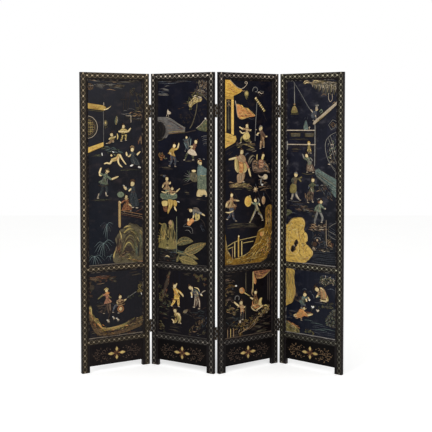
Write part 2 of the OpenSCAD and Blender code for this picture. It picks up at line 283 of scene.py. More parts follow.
def frame_lacquer(leaf, name="frame_lacquer", banded=True):
    """Brown-black lacquer of the frame, drawn lighter or darker by leaf as painted light: olive ground under
    the border, rubbed edges, grain that shows, and dust with a painted highlight where it faces upwards.
    """
    it = Finish(f"{name}_{leaf.number}")
    mapped, (u, v, z) = leaf_place(it, leaf)
    grain = it.noise(7, 5, 0.62, mapped, (1, 1, 0.05))
    cloud = it.noise(90, 3, 0.6, mapped)
    speck = it.noise(1.6, 2, 0.6, mapped)
    # Painted light: this leaf's frame or apron lacquer drawn lighter or darker for how the light falls on it
    light = (FRAME_PAINTED_LIGHT if banded else APRON_PAINTED_LIGHT)[leaf.number]
    body = it.mix(it.ramp(cloud, 0.3, 0.7), colour(16, 13, 15, light), colour(25, 21, 21, light))
    body = it.mix(it.ramp(grain, 0.5, 0.8) * 0.5, body, colour(37, 30, 28, light))
    from_side = LEAF_W / 2 - it.maths("ABSOLUTE", u - LEAF_W / 2)
    if banded:
        band = it.ramp(from_side, BAND_OUT, BAND_OUT + 1) * it.ramp(from_side, BAND_IN + 1, BAND_IN)
        for low, high in RAIL_BANDS:
            rail = it.ramp(z, low, low + 1) * it.ramp(z, high + 1, high)
            band = it.maths("MAXIMUM", band, rail * it.ramp(from_side, BAND_OUT, BAND_OUT + 1))
        band = band * it.ramp(z, LEAF_H - 1, LEAF_H - 3) * it.ramp(v, *FRONT_FACE)
        olive = BAND_TONE[leaf.number]
        ground = it.mix(it.ramp(speck, 0.4, 0.7), colour(*olive, 0.75), colour(*olive, 1.2))
        body = it.mix(band * it.ramp(cloud, 0.1, 0.5), body, ground)
        # A patchy film of dust and painted sheen on the moulding's slope
        mould = it.ramp(from_side, *MOULD_ACROSS) * it.ramp(v, *MOULD_FRONT) * it.ramp(v, *MOULD_BACK)
        dust_and_sheen_film = it.ramp(it.noise(24, 4, 0.68, mapped), 0.48, 0.66)
        body = it.mix(mould * dust_and_sheen_film * 0.55, body, colour(*DUST_AND_HIGHLIGHT_TONE[leaf.number], 0.5))
    # The arrises wear first
    edge = it.ramp(from_side, *ARRIS_ACROSS) * it.ramp(v, *ARRIS_DEEP)
    edge = it.maths("MAXIMUM", edge, it.ramp(z, *TOP_ARRIS) * it.ramp(v, *ARRIS_DEEP))
    edge = it.maths("MAXIMUM", edge, it.ramp(z, *FOOT_WEAR))
    rub = edge * it.ramp(it.noise(16, 4, 0.7, mapped), 0.5, 0.68)
    body = it.mix(rub, body, colour(78, 62, 47))
    # Dust greys what faces upwards, with a painted highlight where upward faces catch the light
    normal = it.node("ShaderNodeNewGeometry").outputs["Normal"]
    upward = Number(it, it.node("ShaderNodeSeparateXYZ", sockets={0: normal}).outputs["Z"])
    body = it.mix(it.ramp(upward, 0.25, 0.8) * 0.75, body, colour(*DUST_AND_HIGHLIGHT_TONE[leaf.number]))
    height = grain * 0.35 + speck * 0.08 - it.ramp(speck, 0.72, 0.8) * 0.2
    rough = 0.34 + it.ramp(cloud, 0.3, 0.7) * 0.12 + rub * 0.2
    it.shader.inputs["Specular IOR Level"].default_value = FRAME_GLOSS if banded else APRON_GLOSS
    return it.finish(Base_Color=body, Roughness=rough, Normal=it.bump(height, FRAME_BUMP))


# Name: colour, colour of its rim (partly the work's dark outline, partly painted shade), how metallic,
# roughness, how mottled, and its flecks if it is cloth
PAINTS = {
    "gilt": ((188, 155, 76), (108, 74, 30), 0.2, 0.42, 0.4, None),
    "straw": ((190, 168, 104), (116, 84, 42), 0.05, 0.46, 0.35, None),
    "earth": ((116, 85, 27), (46, 30, 12), 0.1, 0.48, 0.65, (152, 118, 52)),
    "gold": ((226, 188, 96), (140, 94, 36), 0.1, 0.44, 0.4, None),
    "amber": ((204, 162, 66), (122, 80, 28), 0.15, 0.42, 0.45, None),
    "loam": ((86, 68, 46), (38, 28, 22), 0.0, 0.5, 0.55, (122, 98, 64)),
    "vine": ((104, 84, 70), (52, 40, 32), 0.0, 0.5, 0.4, None),
    "brick": ((156, 104, 78), (72, 40, 28), 0.0, 0.5, 0.55, (196, 156, 116)),
    "sage": ((92, 102, 80), (36, 42, 34), 0.0, 0.5, 0.55, (138, 142, 114)),
    "dusk": ((46, 52, 54), (22, 24, 27), 0.0, 0.5, 0.6, (78, 80, 78)),
    "roof": ((96, 92, 88), (46, 42, 42), 0.0, 0.5, 0.5, None),
    "frond": ((118, 134, 132), (52, 66, 70), 0.0, 0.48, 0.25, None),
    "cream": ((218, 196, 144), (134, 92, 46), 0.0, 0.48, 0.25, None),
    "bone": ((190, 174, 150), (96, 74, 54), 0.0, 0.50, 0.35, None),
    "pearl": ((222, 218, 208), (110, 98, 86), 0.0, 0.38, 0.2, None),
    "orange": ((196, 134, 76), (104, 54, 24), 0.05, 0.46, 0.55, (220, 186, 120)),
    "rust": ((120, 78, 56), (50, 28, 20), 0.0, 0.50, 0.6, (178, 132, 88)),
    "tan": ((158, 128, 92), (78, 52, 34), 0.0, 0.52, 0.5, None),
    "olive": ((118, 106, 58), (48, 38, 20), 0.0, 0.50, 0.5, None),
    "moss": ((78, 80, 58), (28, 30, 22), 0.0, 0.52, 0.6, (132, 128, 94)),
    "jade": ((108, 120, 98), (42, 48, 38), 0.0, 0.46, 0.6, (160, 162, 134)),
    "teal": ((86, 104, 98), (32, 42, 44), 0.0, 0.46, 0.6, (142, 154, 142)),
    "slate": ((68, 72, 80), (26, 28, 36), 0.0, 0.48, 0.6, (120, 122, 122)),
    "stone": ((88, 80, 60), (36, 30, 24), 0.0, 0.55, 0.5, None),
    "ash": ((124, 120, 112), (50, 46, 44), 0.0, 0.52, 0.45, None),
    "umber": ((54, 44, 38), (24, 19, 19), 0.0, 0.52, 0.5, None),
    "hair": ((62, 44, 32), (24, 16, 14), 0.0, 0.45, 0.3, None),
    "ink": ((15, 13, 14), (9, 8, 9), 0.0, 0.35, 0.2, None),
}


FLECK_SIZE = 8
DARK_PAINT, DARK_GLOSS, PALE_GLOSS = 260, 0.12, 0.3  # under this sum of its colour, a paint mirrors less


def paint(name):
    """Raised coloured work: mottled, dark at its rims as outline and painted shade, flecked where it is
    cloth, and worn in specks.
    """
    tone, rim_tone, metallic, rough, mottle, fleck = PAINTS[name]
    it = Finish(f"relief_{name}")
    rim, tint = it.attribute("rim"), it.attribute("tint")
    cloud, dapple, speck = it.noise(24, 3, 0.6), it.noise(8, 3, 0.6), it.noise(2.4, 3, 0.6)
    body = it.mix(tint, colour(*tone, 0.7), colour(*tone, 1.2))
    between = [(a + b) / 2 for a, b in zip(tone, rim_tone)]
    body = it.mix(it.ramp(cloud, 0.42, 0.66) * mottle, body, colour(*between))
    lighter = [min(255, value * 1.18) for value in tone]
    body = it.mix(it.ramp(cloud, 0.46, 0.3) * mottle * 0.6, body, colour(*lighter))
    body = it.mix(it.ramp(dapple, 0.5, 0.7) * mottle, body, colour(*rim_tone))
    if fleck:
        cells = it.node("ShaderNodeTexVoronoi", sockets={"Vector": it.place, "Scale": 1000 / FLECK_SIZE})
        middle = it.ramp(Number(it, cells.outputs["Distance"]), 0.36, 0.22)
        body = it.mix(middle * 0.75, body, colour(*fleck))
    # Darker towards each outline, partly the work's own dark outline and partly painted shade where the
    # raised work rounds down, with a thin near-black outline at the edge
    body = it.mix(it.ramp(rim, 2.8, 0.7), body, colour(*rim_tone, 0.6))
    body = it.mix(it.ramp(rim, 1.1, 0.2), body, colour(12, 10, 11))
    worn = it.ramp(speck + cloud * 0.35, 0.86, 0.95)
    body = it.mix(worn * 0.8, body, colour(*rim_tone, 0.7))
    shade = rough + it.ramp(cloud, 0.3, 0.7) * 0.12 + worn * 0.15
    height = speck * 0.5 + dapple * 0.8 - worn * 0.5
    it.shader.inputs[
        "Specular IOR Level"
    ].default_value = DARK_GLOSS if sum(tone) < DARK_PAINT else PALE_GLOSS
    sockets = {"Base_Color": body, "Roughness": shade, "Normal": it.bump(height, PAINT_BUMP)}
    if metallic:
        sockets["Metallic"] = (1 - worn) * metallic
    return it.finish(**sockets)


def metal(name, tone, dull, rough, spots):
    """Old metal: brown patina in patches, rubbed bright where it is touched."""
    it = Finish(name)
    patch, pit = it.noise(spots, 4, 0.65), it.noise(1.2, 2, 0.5)
    old = it.ramp(patch, 0.38, 0.62)
    body = it.mix(old, colour(*tone), colour(*dull))
    shade = rough + old * 0.22 + it.ramp(pit, 0.5, 0.8) * 0.1
    normal = it.bump(patch * 0.6 + pit * 0.4, METAL_BUMP)
    return it.finish(Base_Color=body, Metallic=1 - old * 0.55, Roughness=shade, Normal=normal)


RELIEF = {name: paint(name) for name in PAINTS}

for leaf in LEAVES.values():
    looks = {
        "panel_lacquer": panel_lacquer(leaf),
        "frame_lacquer": frame_lacquer(leaf),
        "apron_lacquer": frame_lacquer(leaf, "apron_lacquer", banded=False),
    }
    for name, node in frame["nodes"].items():
        if name.startswith(leaf.body):
            kind = "panel" if "panel" in name else "apron" if "apron" in name else "frame"
            if "screws" not in name:
                node.material_slots[0].material = looks[f"{kind}_lacquer"]

HINGE = metal("hinge_plate_metal", (74, 62, 48), (30, 26, 23), 0.36, 11)
PIN = metal("hinge_pin_metal", (96, 82, 62), (36, 30, 26), 0.30, 8)
SCREW = metal("screw_metal", (110, 98, 80), (44, 38, 32), 0.32, 4)
for name, node in frame["nodes"].items():
    if "screws" in name or name.startswith("fold"):
        node.material_slots[0].material = SCREW if "screws" in name else PIN if "pin" in name else HINGE

# ---------------------------------------------------------------- raised work

SINK = 0.25  # how far a shell's foot goes into what it stands on
WALL = 0.5  # the share of a patch's rise that its outline has
FULL_RIM = 3.6  # this far from an outline a paint has its full tone
HEM, HEM_CLEAR = 1.1, 0.8  # how far within its outline a patch has a second ring, and the least of that
ROW_STEP, GRID_CLEAR = 0.866, 0.55  # rows of points in a patch and their way off its outline, in meshes
CARVE_FADE = 2.5  # this far from an outline a carving has its full depth
LEAST_RISE, TOP_CLEAR = 0.3, 1.0  # a patch stays this far over its ground, and behind the frame's face
INNER_ONLY, MERGE = 1, 1e-4  # for the triangles of a patch: within its outline, joining closer points
LANES, SHOULDER = (-1, -0.7, 0, 0.7, 1), 0.72  # across a stroke, and how high its shoulders are
STEP_SHARE, LEAST_STEP, MOST_STEP = 0.7, 2.2, 7.0  # along a stroke, as a share of its width
DOME_RINGS = ((1.0, 0.45), (0.86, 0.78), (0.5, 0.97))  # how far out each ring lies, and how high
# A dome with half sizes under this has fewer rings and sides
SMALL_DOME, SMALL_DOME_RINGS, SMALL_DOME_SIDES = 4, ((0.9, 0.6), (0.5, 0.95)), 8
SHARP_DEG = 50


def curve_through(points, step, closed=False):
    """Points about step apart on a smooth curve through the given ones."""
    p = np.asarray(points, float)
    count = len(p)
    made = []
    for i in range(count if closed else count - 1):
        a, b = p[i], p[(i + 1) % count]
        before = p[i - 1] if closed or i else a
        after = p[(i + 2) % count] if closed or i + 2 < count else b
        span = np.linalg.norm(b - a)
        leave = (b - before) * span / max(span + np.linalg.norm(a - before), 1e-9)
        arrive = (after - a) * span / max(span + np.linalg.norm(after - b), 1e-9)
        t = np.arange(max(1, round(span / step)))[:, None] / max(1, round(span / step))
        ends = a * (2 * t**3 - 3 * t**2 + 1) + b * (3 * t**2 - 2 * t**3)
        made.append(ends + leave * (t**3 - 2 * t**2 + t) + arrive * (t**3 - t**2))
    return np.vstack(made if closed else made + [p[-1:]])


def straight_through(points, step, closed=False):
    """Points about step apart along straight lines between the given ones."""
    p = np.asarray(points, float)
    made = []
    for i in range(len(p) if closed else len(p) - 1):
        a, b = p[i], p[(i + 1) % len(p)]
        pieces = max(1, round(np.linalg.norm(b - a) / step))
        made.append(a + (b - a) * np.arange(pieces)[:, None] / pieces)
    return np.vstack(made if closed else made + [p[-1:]])


def from_ring(points, ring):
    """How far each point is from a closed outline."""
    a, run = ring, np.roll(ring, -1, axis=0) - ring
    off = points[:, None] - a
    t = np.clip((off * run).sum(2) / np.maximum((run**2).sum(1), 1e-9), 0, 1)
    return np.linalg.norm(off - t[..., None] * run, axis=2).min(axis=1)


def inside(points, ring):
    """Which points lie within a closed outline."""
    x, z = points[:, :1], points[:, 1:]
    (ax, az), (bx, bz) = ring.T, np.roll(ring, -1, axis=0).T
    crosses = ((az > z) != (bz > z)) & (x < (bx - ax) * (z - az) / np.where(bz == az, 1e-9, bz - az) + ax)
    return crosses.sum(axis=1) % 2 == 1


def turned(vector, degrees):
    """A (u, z) vector turned anticlockwise as seen from the front."""
    c, s = math.cos(math.radians(degrees)), math.sin(math.radians(degrees))
    return np.array((vector[0] * c - vector[1] * s, vector[0] * s + vector[1] * c))


class Relief:
    """Raised work on one leaf: closed shells standing on a face of it, joined into one mesh."""

    def __init__(self, leaf, name, face=PANEL_FACE, slot="panel_lacquer"):
        self.leaf, self.name, self.face, self.slot = leaf, f"{leaf.body}_{name}", face, slot
        self.points, self.faces, self.wears, self.rims, self.tints = [], [], [], [], []
        self.chance = random.Random(self.name)

    def shell(self, finish, flat, height, rim, faces):
        """Adds one closed shell. Flat holds (u, z) points, height their rise over the face they stand on."""
        start = len(self.points)
        tint = self.chance.random()
        self.points += [(u, self.face - h, z) for (u, z), h in zip(flat, height)]
        self.faces += [[start + i for i in face] for face in faces]
        self.wears += [finish] * len(faces)
        self.rims += list(rim)
        self.tints += [tint] * len(flat)

    def patch(self, finish, outline, rise, crown=7.0, curved=True, carve=None, mesh=4.0):
        """A shape steep at its outline and crowned over its middle. Carve(points) cuts it, in millimetres."""
        ring = (curve_through if curved else straight_through)(outline, mesh, closed=True)
        ends = np.roll(ring, -1, axis=0)
        if (ring[:, 0] * ends[:, 1] - ring[:, 1] * ends[:, 0]).sum() < 0:
            ring = ring[::-1]
        low, high = ring.min(axis=0), ring.max(axis=0)
        grid = []
        for k, z in enumerate(np.arange(low[1] + mesh / 2, high[1], mesh * ROW_STEP)):
            grid += [(u, z) for u in np.arange(low[0] + (k % 2) * mesh / 2, high[0], mesh)]
        grid = np.array(grid).reshape(-1, 2)
        grid = grid[inside(grid, ring)]
        grid = grid[from_ring(grid, ring) > mesh * GRID_CLEAR]
        # A second ring just within the first rounds the top edge over
        along = np.roll(ring, -1, axis=0) - np.roll(ring, 1, axis=0)
        along /= np.maximum(np.linalg.norm(along, axis=1), 1e-9)[:, None]
        hem = ring + np.stack((-along[:, 1], along[:, 0]), axis=1) * HEM
        hem = hem[inside(hem, ring)]
        hem = hem[from_ring(hem, ring) > HEM_CLEAR]
        every = [Vector(p) for p in np.vstack((ring, hem, grid))]
        made = delaunay_2d_cdt(every, [], [list(range(len(ring)))], INNER_ONLY, MERGE)
        flat = np.array([tuple(p) for p in made[0]])
        faces = [list(face) for face in made[2]]
        away = from_ring(flat, ring)
        full = min(crown, max(away.max(), 1.2))
        height = rise * (WALL + (1 - WALL) * np.sqrt(1 - (1 - np.clip(away / full, 0, 1)) ** 2))
        if carve is not None:
            height = height + carve(flat) * np.clip(away / CARVE_FADE, 0, 1)
        height = np.clip(height, LEAST_RISE, self.face - TOP_CLEAR)
        # Edges that only one face has are the rim. Walls go down from it, and loops close the foot
        edges = dict.fromkeys((a, b) for face in faces for a, b in zip(face, face[1:] + face[:1]))
        rim_edges = [(a, b) for a, b in edges if (b, a) not in edges]
        foot, count = {}, len(flat)
        for a, _ in rim_edges:
            foot[a] = count + len(foot)
        for _, b in rim_edges:
            foot.setdefault(b, count + len(foot))
        walls = [[b, a, foot[a], foot[b]] for a, b in rim_edges]
        after, loops = {b: a for a, b in rim_edges}, []
        while after:
            loop = [next(iter(after))]
            while loop[-1] in after:
                loop.append(after.pop(loop[-1]))
            if len(loop) > 3:
                loops.append([foot[i] for i in loop[:-1]])
        feet = np.array([flat[i] for i in foot])
        self.shell(
            finish,
            np.vstack((flat, feet)),
            np.append(height, np.full(len(feet), -SINK)),
            np.append(away, np.zeros(len(feet))),
            faces + walls + loops,
        )

    def stroke(self, finish, path, width, rise, curved=True, tips=(0.45, 0.45)):
        """A raised line. Width is one number or several along it, and tips are its ends' share of that."""
        path = np.asarray(path, float)
        if np.isscalar(width):
            widths = np.full(len(path), float(width))
        else:
            widths = np.interp(np.linspace(0, 1, len(path)), np.linspace(0, 1, len(width)), width)
        step = min(max(widths.mean() * STEP_SHARE, LEAST_STEP), MOST_STEP)
        joined = np.column_stack((path, widths))
        made = (curve_through if curved else straight_through)(joined, step)
        spine, wide = made[:, :2], np.maximum(made[:, 2], 0.5)
        first, last = wide[0], wide[-1]
        steps = np.linalg.norm(np.diff(spine, axis=0), axis=1)
        if len(spine) < 3 or steps.sum() < 1e-6:
            spine = np.vstack((spine[0], (spine[0] + spine[-1]) / 2, spine[-1]))
            wide = np.array((first, (first + last) / 2, last))
        wide = wide.copy()
        wide[0] *= tips[0]
        wide[-1] *= tips[1]
        along = np.gradient(spine, axis=0)
        along /= np.maximum(np.linalg.norm(along, axis=1), 1e-9)[:, None]
        across = np.stack((along[:, 1], -along[:, 0]), axis=1)
        lane, lift = np.array(LANES), np.array((-SINK / rise, SHOULDER, 1, SHOULDER, -SINK / rise))
        flat = (
            spine[:, None] + across[:, None] * (lane * 0.5)[:, None] * wide[:, None, None]
        ).reshape(-1, 2)
        height = np.tile(lift * rise, len(spine))
        rim = ((1 - abs(lane)) * np.maximum(wide * 0.8, FULL_RIM)[:, None]).reshape(-1)
        around, end, faces = len(lane), len(lane) * (len(spine) - 1), []
        for a in range(0, end, around):
            b = a + around
            faces += [[a + k, a + (k + 1) % around, b + (k + 1) % around, b + k] for k in range(around)]
        faces += [list(range(around))[::-1], [end + k for k in range(around)]]
        self.shell(finish, flat, height, rim, faces)

    def strokes(self, finish, paths, width, rise, curved=True):
        """Several raised lines alike."""
        for path in paths:
            self.stroke(finish, path, width, rise, curved)

    def dome(self, finish, centre, wide, tall, rise, lean=0.0, sides=14):
        """A low dome, wide and tall being its half sizes."""
        rings = ((1.0, -SINK / rise), *DOME_RINGS)
        if max(wide, tall) < SMALL_DOME:
            rings, sides = ((1.0, -SINK / rise), *SMALL_DOME_RINGS), SMALL_DOME_SIDES
        flat, height, rim, faces = [], [], [], []
        for reach, lift in rings:
            for k in range(sides):
                angle = 2 * math.pi * k / sides
                step = turned((wide * reach * math.cos(angle), tall * reach * math.sin(angle)), lean)
                flat.append((centre[0] + step[0], centre[1] + step[1]))
                height.append(lift * rise)
                rim.append((1 - reach) * max(wide, tall, FULL_RIM) + 0.3)
        for r in range(len(rings) - 1):
            for k in range(sides):
                a, b = r * sides + k, r * sides + (k + 1) % sides
                faces.append([a, b, b + sides, a + sides])
        top = len(flat)
        flat.append(tuple(centre))
        height.append(rise)
        rim.append(max(wide, tall, FULL_RIM))
        faces += [[top - sides + k, top - sides + (k + 1) % sides, top] for k in range(sides)]
        faces.append(list(range(sides))[::-1])
        self.shell(finish, flat, height, rim, faces)

    def hang(self):
        """Makes the mesh and sets it on the leaf."""
        mesh = bpy.data.meshes.new(self.name)
        mesh.from_pydata([tuple(p) for p in self.leaf.place(self.points)], [], self.faces)
        used = sorted(set(self.wears))
        for finish in used:
            mesh.materials.append(RELIEF[finish])
        mesh.polygons.foreach_set("material_index", [used.index(finish) for finish in self.wears])
        for name, values in (("rim", self.rims), ("tint", self.tints)):
            attribute = mesh.attributes.new(name, "FLOAT", "POINT")
            attribute.data.foreach_set("value", np.array(values, np.float32))
        mesh.shade_smooth()
        mesh.set_sharp_from_angle(angle=math.radians(SHARP_DEG))
        piece = bpy.data.objects.new(self.name, mesh)
        bpy.context.scene.collection.objects.link(piece)
        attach(piece, self.leaf.body)


def waves(direction, pitch, depth, sway=0.0, sway_pitch=40.0):
    """A carving of parallel grooves. Direction is the way across them, in degrees."""
    across, along = turned((1, 0), direction), turned((0, 1), direction)

    def carve(points):
        shift = sway * np.sin(points @ along * 2 * math.pi / sway_pitch)
        return depth * (np.abs(np.sin((points @ across + shift) * math.pi / pitch)) - 0.6)

    return carve


def spiral(centre, radius, start, sweep, close=0.25):
    """A path that winds in from radius to close times it. Angles in degrees."""
    t = np.linspace(0, 1, max(5, round(abs(sweep) / 26)))
    angle, reach = np.radians(start + sweep * t), radius * (1 - (1 - close) * t)
    return np.stack((centre[0] + reach * np.cos(angle), centre[1] + reach * np.sin(angle)), axis=1)


def ring_path(centre, radius, start=0, sweep=360):
    """A path round a circle."""
    return spiral(centre, radius, start, sweep, 1.0)


# ---------------------------------------------------------------- figures, plants and buildings


def limb(start, given, bend):
    """An arm or leg as its start, its bend and its end. Given is the end, or the bend and the end."""
    given = np.atleast_2d(np.array(given, float))
    end = given[-1]
    run = end - start
    middle = given[0] if len(given) > 1 else start + run * 0.5 + turned(run, 90) * bend
    return start, middle, end


# A coat's side as (down from the neck, across), how far down it flares, and its folds as (across,
# paint, width)
COAT_SIDE, COAT_LOW = ((-0.05, 0.45), (0.12, 1), (0.5, 0.85)), 0.93
GOWN_FOLDS = ((-0.65, "ink"), (-0.3, "trim"), (0.05, "ink"), (0.4, "trim"), (0.7, "ink"))
COAT_FOLDS = (
    (-0.75, "ink", 0.2), (-0.45, "trim", 0.22), (-0.1, "ink", 0.24),
    (0.2, "trim", 0.24), (0.5, "ink", 0.2), (0.8, "trim", 0.16),
)
COAT_ROUNDELS = ((0.28, -0.5), (0.36, 0.6), (0.72, 0.02), (0.8, -0.8), (0.78, 0.75))
# Hair and hats as (across, up) from the middle of the head
HAIR_SHAPE = (
    (-0.72, -0.5), (-1.05, 0.1), (-0.92, 0.75), (-0.3, 1.16), (0.4, 1.08),
    (0.85, 0.6), (0.5, 0.5), (-0.1, 0.62), (-0.5, 0.3), (-0.55, -0.2),
)
HAT_SHAPE = ((-1.1, 0.2), (-0.8, 0.9), (0, 1.35), (0.8, 0.9), (1.1, 0.2), (0, 0.5))
# How high each part of a figure stands, in millimetres
SHOE_RISE, SOLE_RISE, LEG_RISE, LEG_FOLD_RISE, ANKLE_RISE = 2.8, 2.0, 2.6, 3.1, 3.2
GOWN_RISE, GOWN_FOLD_RISE = 2.8, 3.5
COAT_RISE, COAT_HEM_RISE, COAT_FOLD_RISE, ROUNDEL_RISE, SASH_RISE = 3.4, 3.8, 4.1, 4.2, 4.4
SLEEVE_RISE, HAND_RISE, CUFF_RISE = 4.2, 4.8, 5.0
HEAD_RISE, TOPKNOT_RISE, HAIR_RISE, RIBBON_RISE, BRIM_RISE = 4.8, 5.0, 5.3, 5.5, 5.6
MOUTH_RISE, BROW_RISE, EYE_RISE, NOSE_RISE = 5.1, 5.1, 5.2, 5.3


def figure(
    art, head, hip, hands, feet, coat, legs, trim, size, flare=1.5, look=1, hat=None, gown=None,
    arms="cream"
):
    """A small figure in a wide coat with light sleeves. Look is the way it faces."""
    head, hip, r = np.array(head, float), np.array(hip, float), size
    down = (hip - head) / np.linalg.norm(hip - head)
    side = np.array((-down[1], down[0]))
    neck = head + down * r
    long = np.linalg.norm(hip - neck) + 0.8 * r

    def at(lower, across):
        return neck + down * lower * long + side * across * r

    def worn(paint_name):
        return trim if paint_name == "trim" else paint_name

    for sign, foot in zip((-1, 1), feet):
        top, knee, end = limb(at(0.85, 0.45 * sign), foot, 0.14 * look)
        if gown is None:
            art.stroke(legs, [top, knee, end], [1.3 * r, 1.25 * r, 0.7 * r], LEG_RISE)
            dark = [top * 0.5 + knee * 0.5 + (0.15 * r, 0), knee + (0.2 * r, 0), end + (0.1 * r, 0.3 * r)]
            art.stroke("ink", dark, [1, 0.2 * r, 1], LEG_FOLD_RISE)
            light = [top * 0.6 + knee * 0.4 - (0.3 * r, 0), knee - (0.3 * r, 0)]
            art.stroke(trim, light, [1, 0.22 * r], LEG_FOLD_RISE)
            art.stroke(trim, [end + (-0.35 * r, 0.2 * r), end + (0.35 * r, 0.2 * r)], 1.8, ANKLE_RISE)
        sole = [end - (0.4 * look * r, 0.35 * r), end + (0.95 * look * r, -0.35 * r)]
        art.stroke("ink", sole, 0.3 * r, SOLE_RISE)
        shoe = [end - (0.3 * look * r, 0), end + (0.75 * look * r, -0.1 * r)]
        art.stroke("bone", shoe, 0.5 * r, SHOE_RISE)
    if gown is not None:
        ends = [np.atleast_2d(foot)[-1] for foot in feet]
        low = np.mean(ends, axis=0) + (0, 0.3 * r)
        spread = max(flare * r * 1.15, abs(ends[1][0] - ends[0][0]) / 2 + 0.6 * r)
        left, right = low - (spread, -0.4 * r), low + (spread, 0.4 * r)
        skirt = [at(0.5, -0.8), left, low - (0, 0.1 * r), right, at(0.5, 0.8)]
        art.patch(gown, skirt, GOWN_RISE, 6, carve=waves(0, 0.7 * r, 0.7, 1.5))
        hem = [left + (0, 0.2 * r), low + (0, 0.3 * r), right + (0, 0.2 * r)]
        art.stroke(trim, hem, 2.4, GOWN_FOLD_RISE)
        for across, finish in GOWN_FOLDS:
            fold = [at(0.8, across * 0.8), low + (across * spread, 0.5 * r)]
            art.stroke(worn(finish), fold, [1.2, 0.24 * r], GOWN_FOLD_RISE)
    half = [*COAT_SIDE, (COAT_LOW, flare)]
    body = [(lower, -across) for lower, across in half] + [(1, 0)] + half[::-1]
    art.patch(coat, [at(*place) for place in body], COAT_RISE, 0.8 * r, mesh=3.2)
    for across, finish, wide in COAT_FOLDS:
        fold = [at(0.56, across * 0.8), at(0.76, across), at(0.92, across * flare * 0.95)]
        art.stroke(worn(finish), fold, [0.5 * wide * r, wide * r, 0.7 * wide * r], COAT_FOLD_RISE)
    hem = [at(0.9, -0.95 * flare), at(0.97, 0), at(0.9, 0.95 * flare)]
    art.stroke(trim, hem, 2.2, COAT_HEM_RISE)
    art.stroke("rust", [at(0.5, -0.8), at(0.55, 0), at(0.5, 0.8)], 2.6, SASH_RISE)
    art.stroke("rust", [at(0.55, 0.15), at(0.75, 0.3)], 2.2, SASH_RISE)
    for across in (-0.38, 0.38):
        art.stroke(trim, [at(-0.04, across), at(0.2, 0.15), at(0.46, 0.3)], 1.8, SASH_RISE)
    for lower, across in COAT_ROUNDELS:
        art.dome(trim, at(lower, across), 0.2 * r, 0.16 * r, ROUNDEL_RISE, 60 * lower)
    for sign, hand in zip((-1, 1), hands):
        shoulder, elbow, end = limb(at(0.18, 0.7 * sign), hand, -0.2 * sign)
        sleeve = [shoulder, shoulder * 0.4 + elbow * 0.6, elbow]
        art.stroke(coat, sleeve, [0.95 * r, 1.05 * r, 1.1 * r], SLEEVE_RISE, tips=(0.6, 0.8))
        forearm = [elbow, elbow * 0.45 + end * 0.55, end]
        art.stroke(arms, forearm, [0.95 * r, 0.85 * r, 0.62 * r], HAND_RISE, tips=(0.8, 0.6))
        cuff = turned(end - elbow, 90) * 0.3
        art.stroke(trim, [elbow + cuff, elbow - cuff], 1.8, CUFF_RISE)
    face(art, head, r, math.degrees(math.atan2(down[0], -down[1])), look, hat)


def face(art, head, r, lean=0.0, look=1, hat=None):
    """A plain round face with swept hair and a topknot, or a hat."""
    head = np.array(head, float)

    def at(across, up):
        return head + turned((across * look * r, up * r), lean)

    art.dome("cream", head, 0.9 * r, 1.02 * r, HEAD_RISE, lean)
    if hat is None:
        art.patch("hair", [at(*place) for place in HAIR_SHAPE], HAIR_RISE, 4, mesh=3)
        art.dome("hair", at(-0.35, 1.3), 0.34 * r, 0.3 * r, TOPKNOT_RISE, sides=10)
        art.stroke("orange", [at(-0.6, 1.12), at(-0.1, 1.2)], 0.14 * r, RIBBON_RISE)
    else:
        art.patch(hat, [at(*place) for place in HAT_SHAPE], HAIR_RISE, 4, mesh=3)
        art.stroke("straw", [at(-1.1, 0.25), at(0, 0.5), at(1.1, 0.25)], 0.2 * r, BRIM_RISE)
        art.dome("rust", at(0, 1.35), 0.2 * r, 0.2 * r, TOPKNOT_RISE, sides=8)
    for across in (-0.18, 0.48):
        art.stroke("ink", [at(across - 0.13, 0.04), at(across + 0.13, 0.06)], 0.1 * r, EYE_RISE)
        art.stroke("ink", [at(across - 0.16, 0.26), at(across + 0.16, 0.28)], 0.06 * r, BROW_RISE)
    art.stroke("bone", [at(0.18, 0.02), at(0.24, -0.22)], 0.13 * r, NOSE_RISE)
    art.stroke("rust", [at(0.02, -0.46), at(0.3, -0.46)], 0.1 * r, MOUTH_RISE)


GUIDE_POINTS = 13  # along each lane of ridges


def ridges(art, guides, count, finishes, width, rise, keep=0.7):
    """Brushed ridges spread from one guide line to the next, each broken off at random."""
    lanes = []
    for guide in guides:
        fine = curve_through(guide, 2.0)
        lanes.append(fine[np.linspace(0, len(fine) - 1, GUIDE_POINTS).round().astype(int)])
    for k in range(count):
        place = (k + art.chance.random()) / count * (len(lanes) - 1)
        lane = min(int(place), len(lanes) - 2)
        path = lanes[lane] * (1 - place + lane) + lanes[lane + 1] * (place - lane)
        share = art.chance.uniform(keep * 0.6, min(1.0, keep * 1.3))
        first = int(art.chance.uniform(0, 1 - share) * GUIDE_POINTS)
        part = path[first : first + max(4, round(share * GUIDE_POINTS))]
        wide = width * art.chance.uniform(0.6, 1.25)
        widths = wide * np.interp(np.linspace(0, 1, len(part)), (0, 0.35, 1), (0.5, 1, 0.4))
        art.stroke(
            art.chance.choice(finishes), part, widths, rise * art.chance.uniform(0.9, 1.08),
            tips=(0.3, 0.2)
        )


def palm(art, finishes, root, tips, lift, width, rise=1.8):
    """Fine fronds that rise from one root and droop to their tips."""
    root = np.array(root, float)
    for tip in tips:
        finish = art.chance.choice(finishes)
        run = np.array(tip, float) - root
        path = [root, root + run * 0.45 + (0, abs(run[0]) * lift), root + run]
        art.stroke(finish, path, [width * 0.7, width, width * 0.4], rise, tips=(0.5, 0.2))


def fan_tips(centre, reach, start, end, count):
    """Places round an arc, for palm. Reach is (sideways, up)."""
    angles = [math.radians(a) for a in np.linspace(start, end, count)]
    return [np.add(centre, (reach[0] * math.cos(a), reach[1] * math.sin(a))) for a in angles]


RIB_SLANT = 0.12  # how much further along a leaf its ribs reach its edge


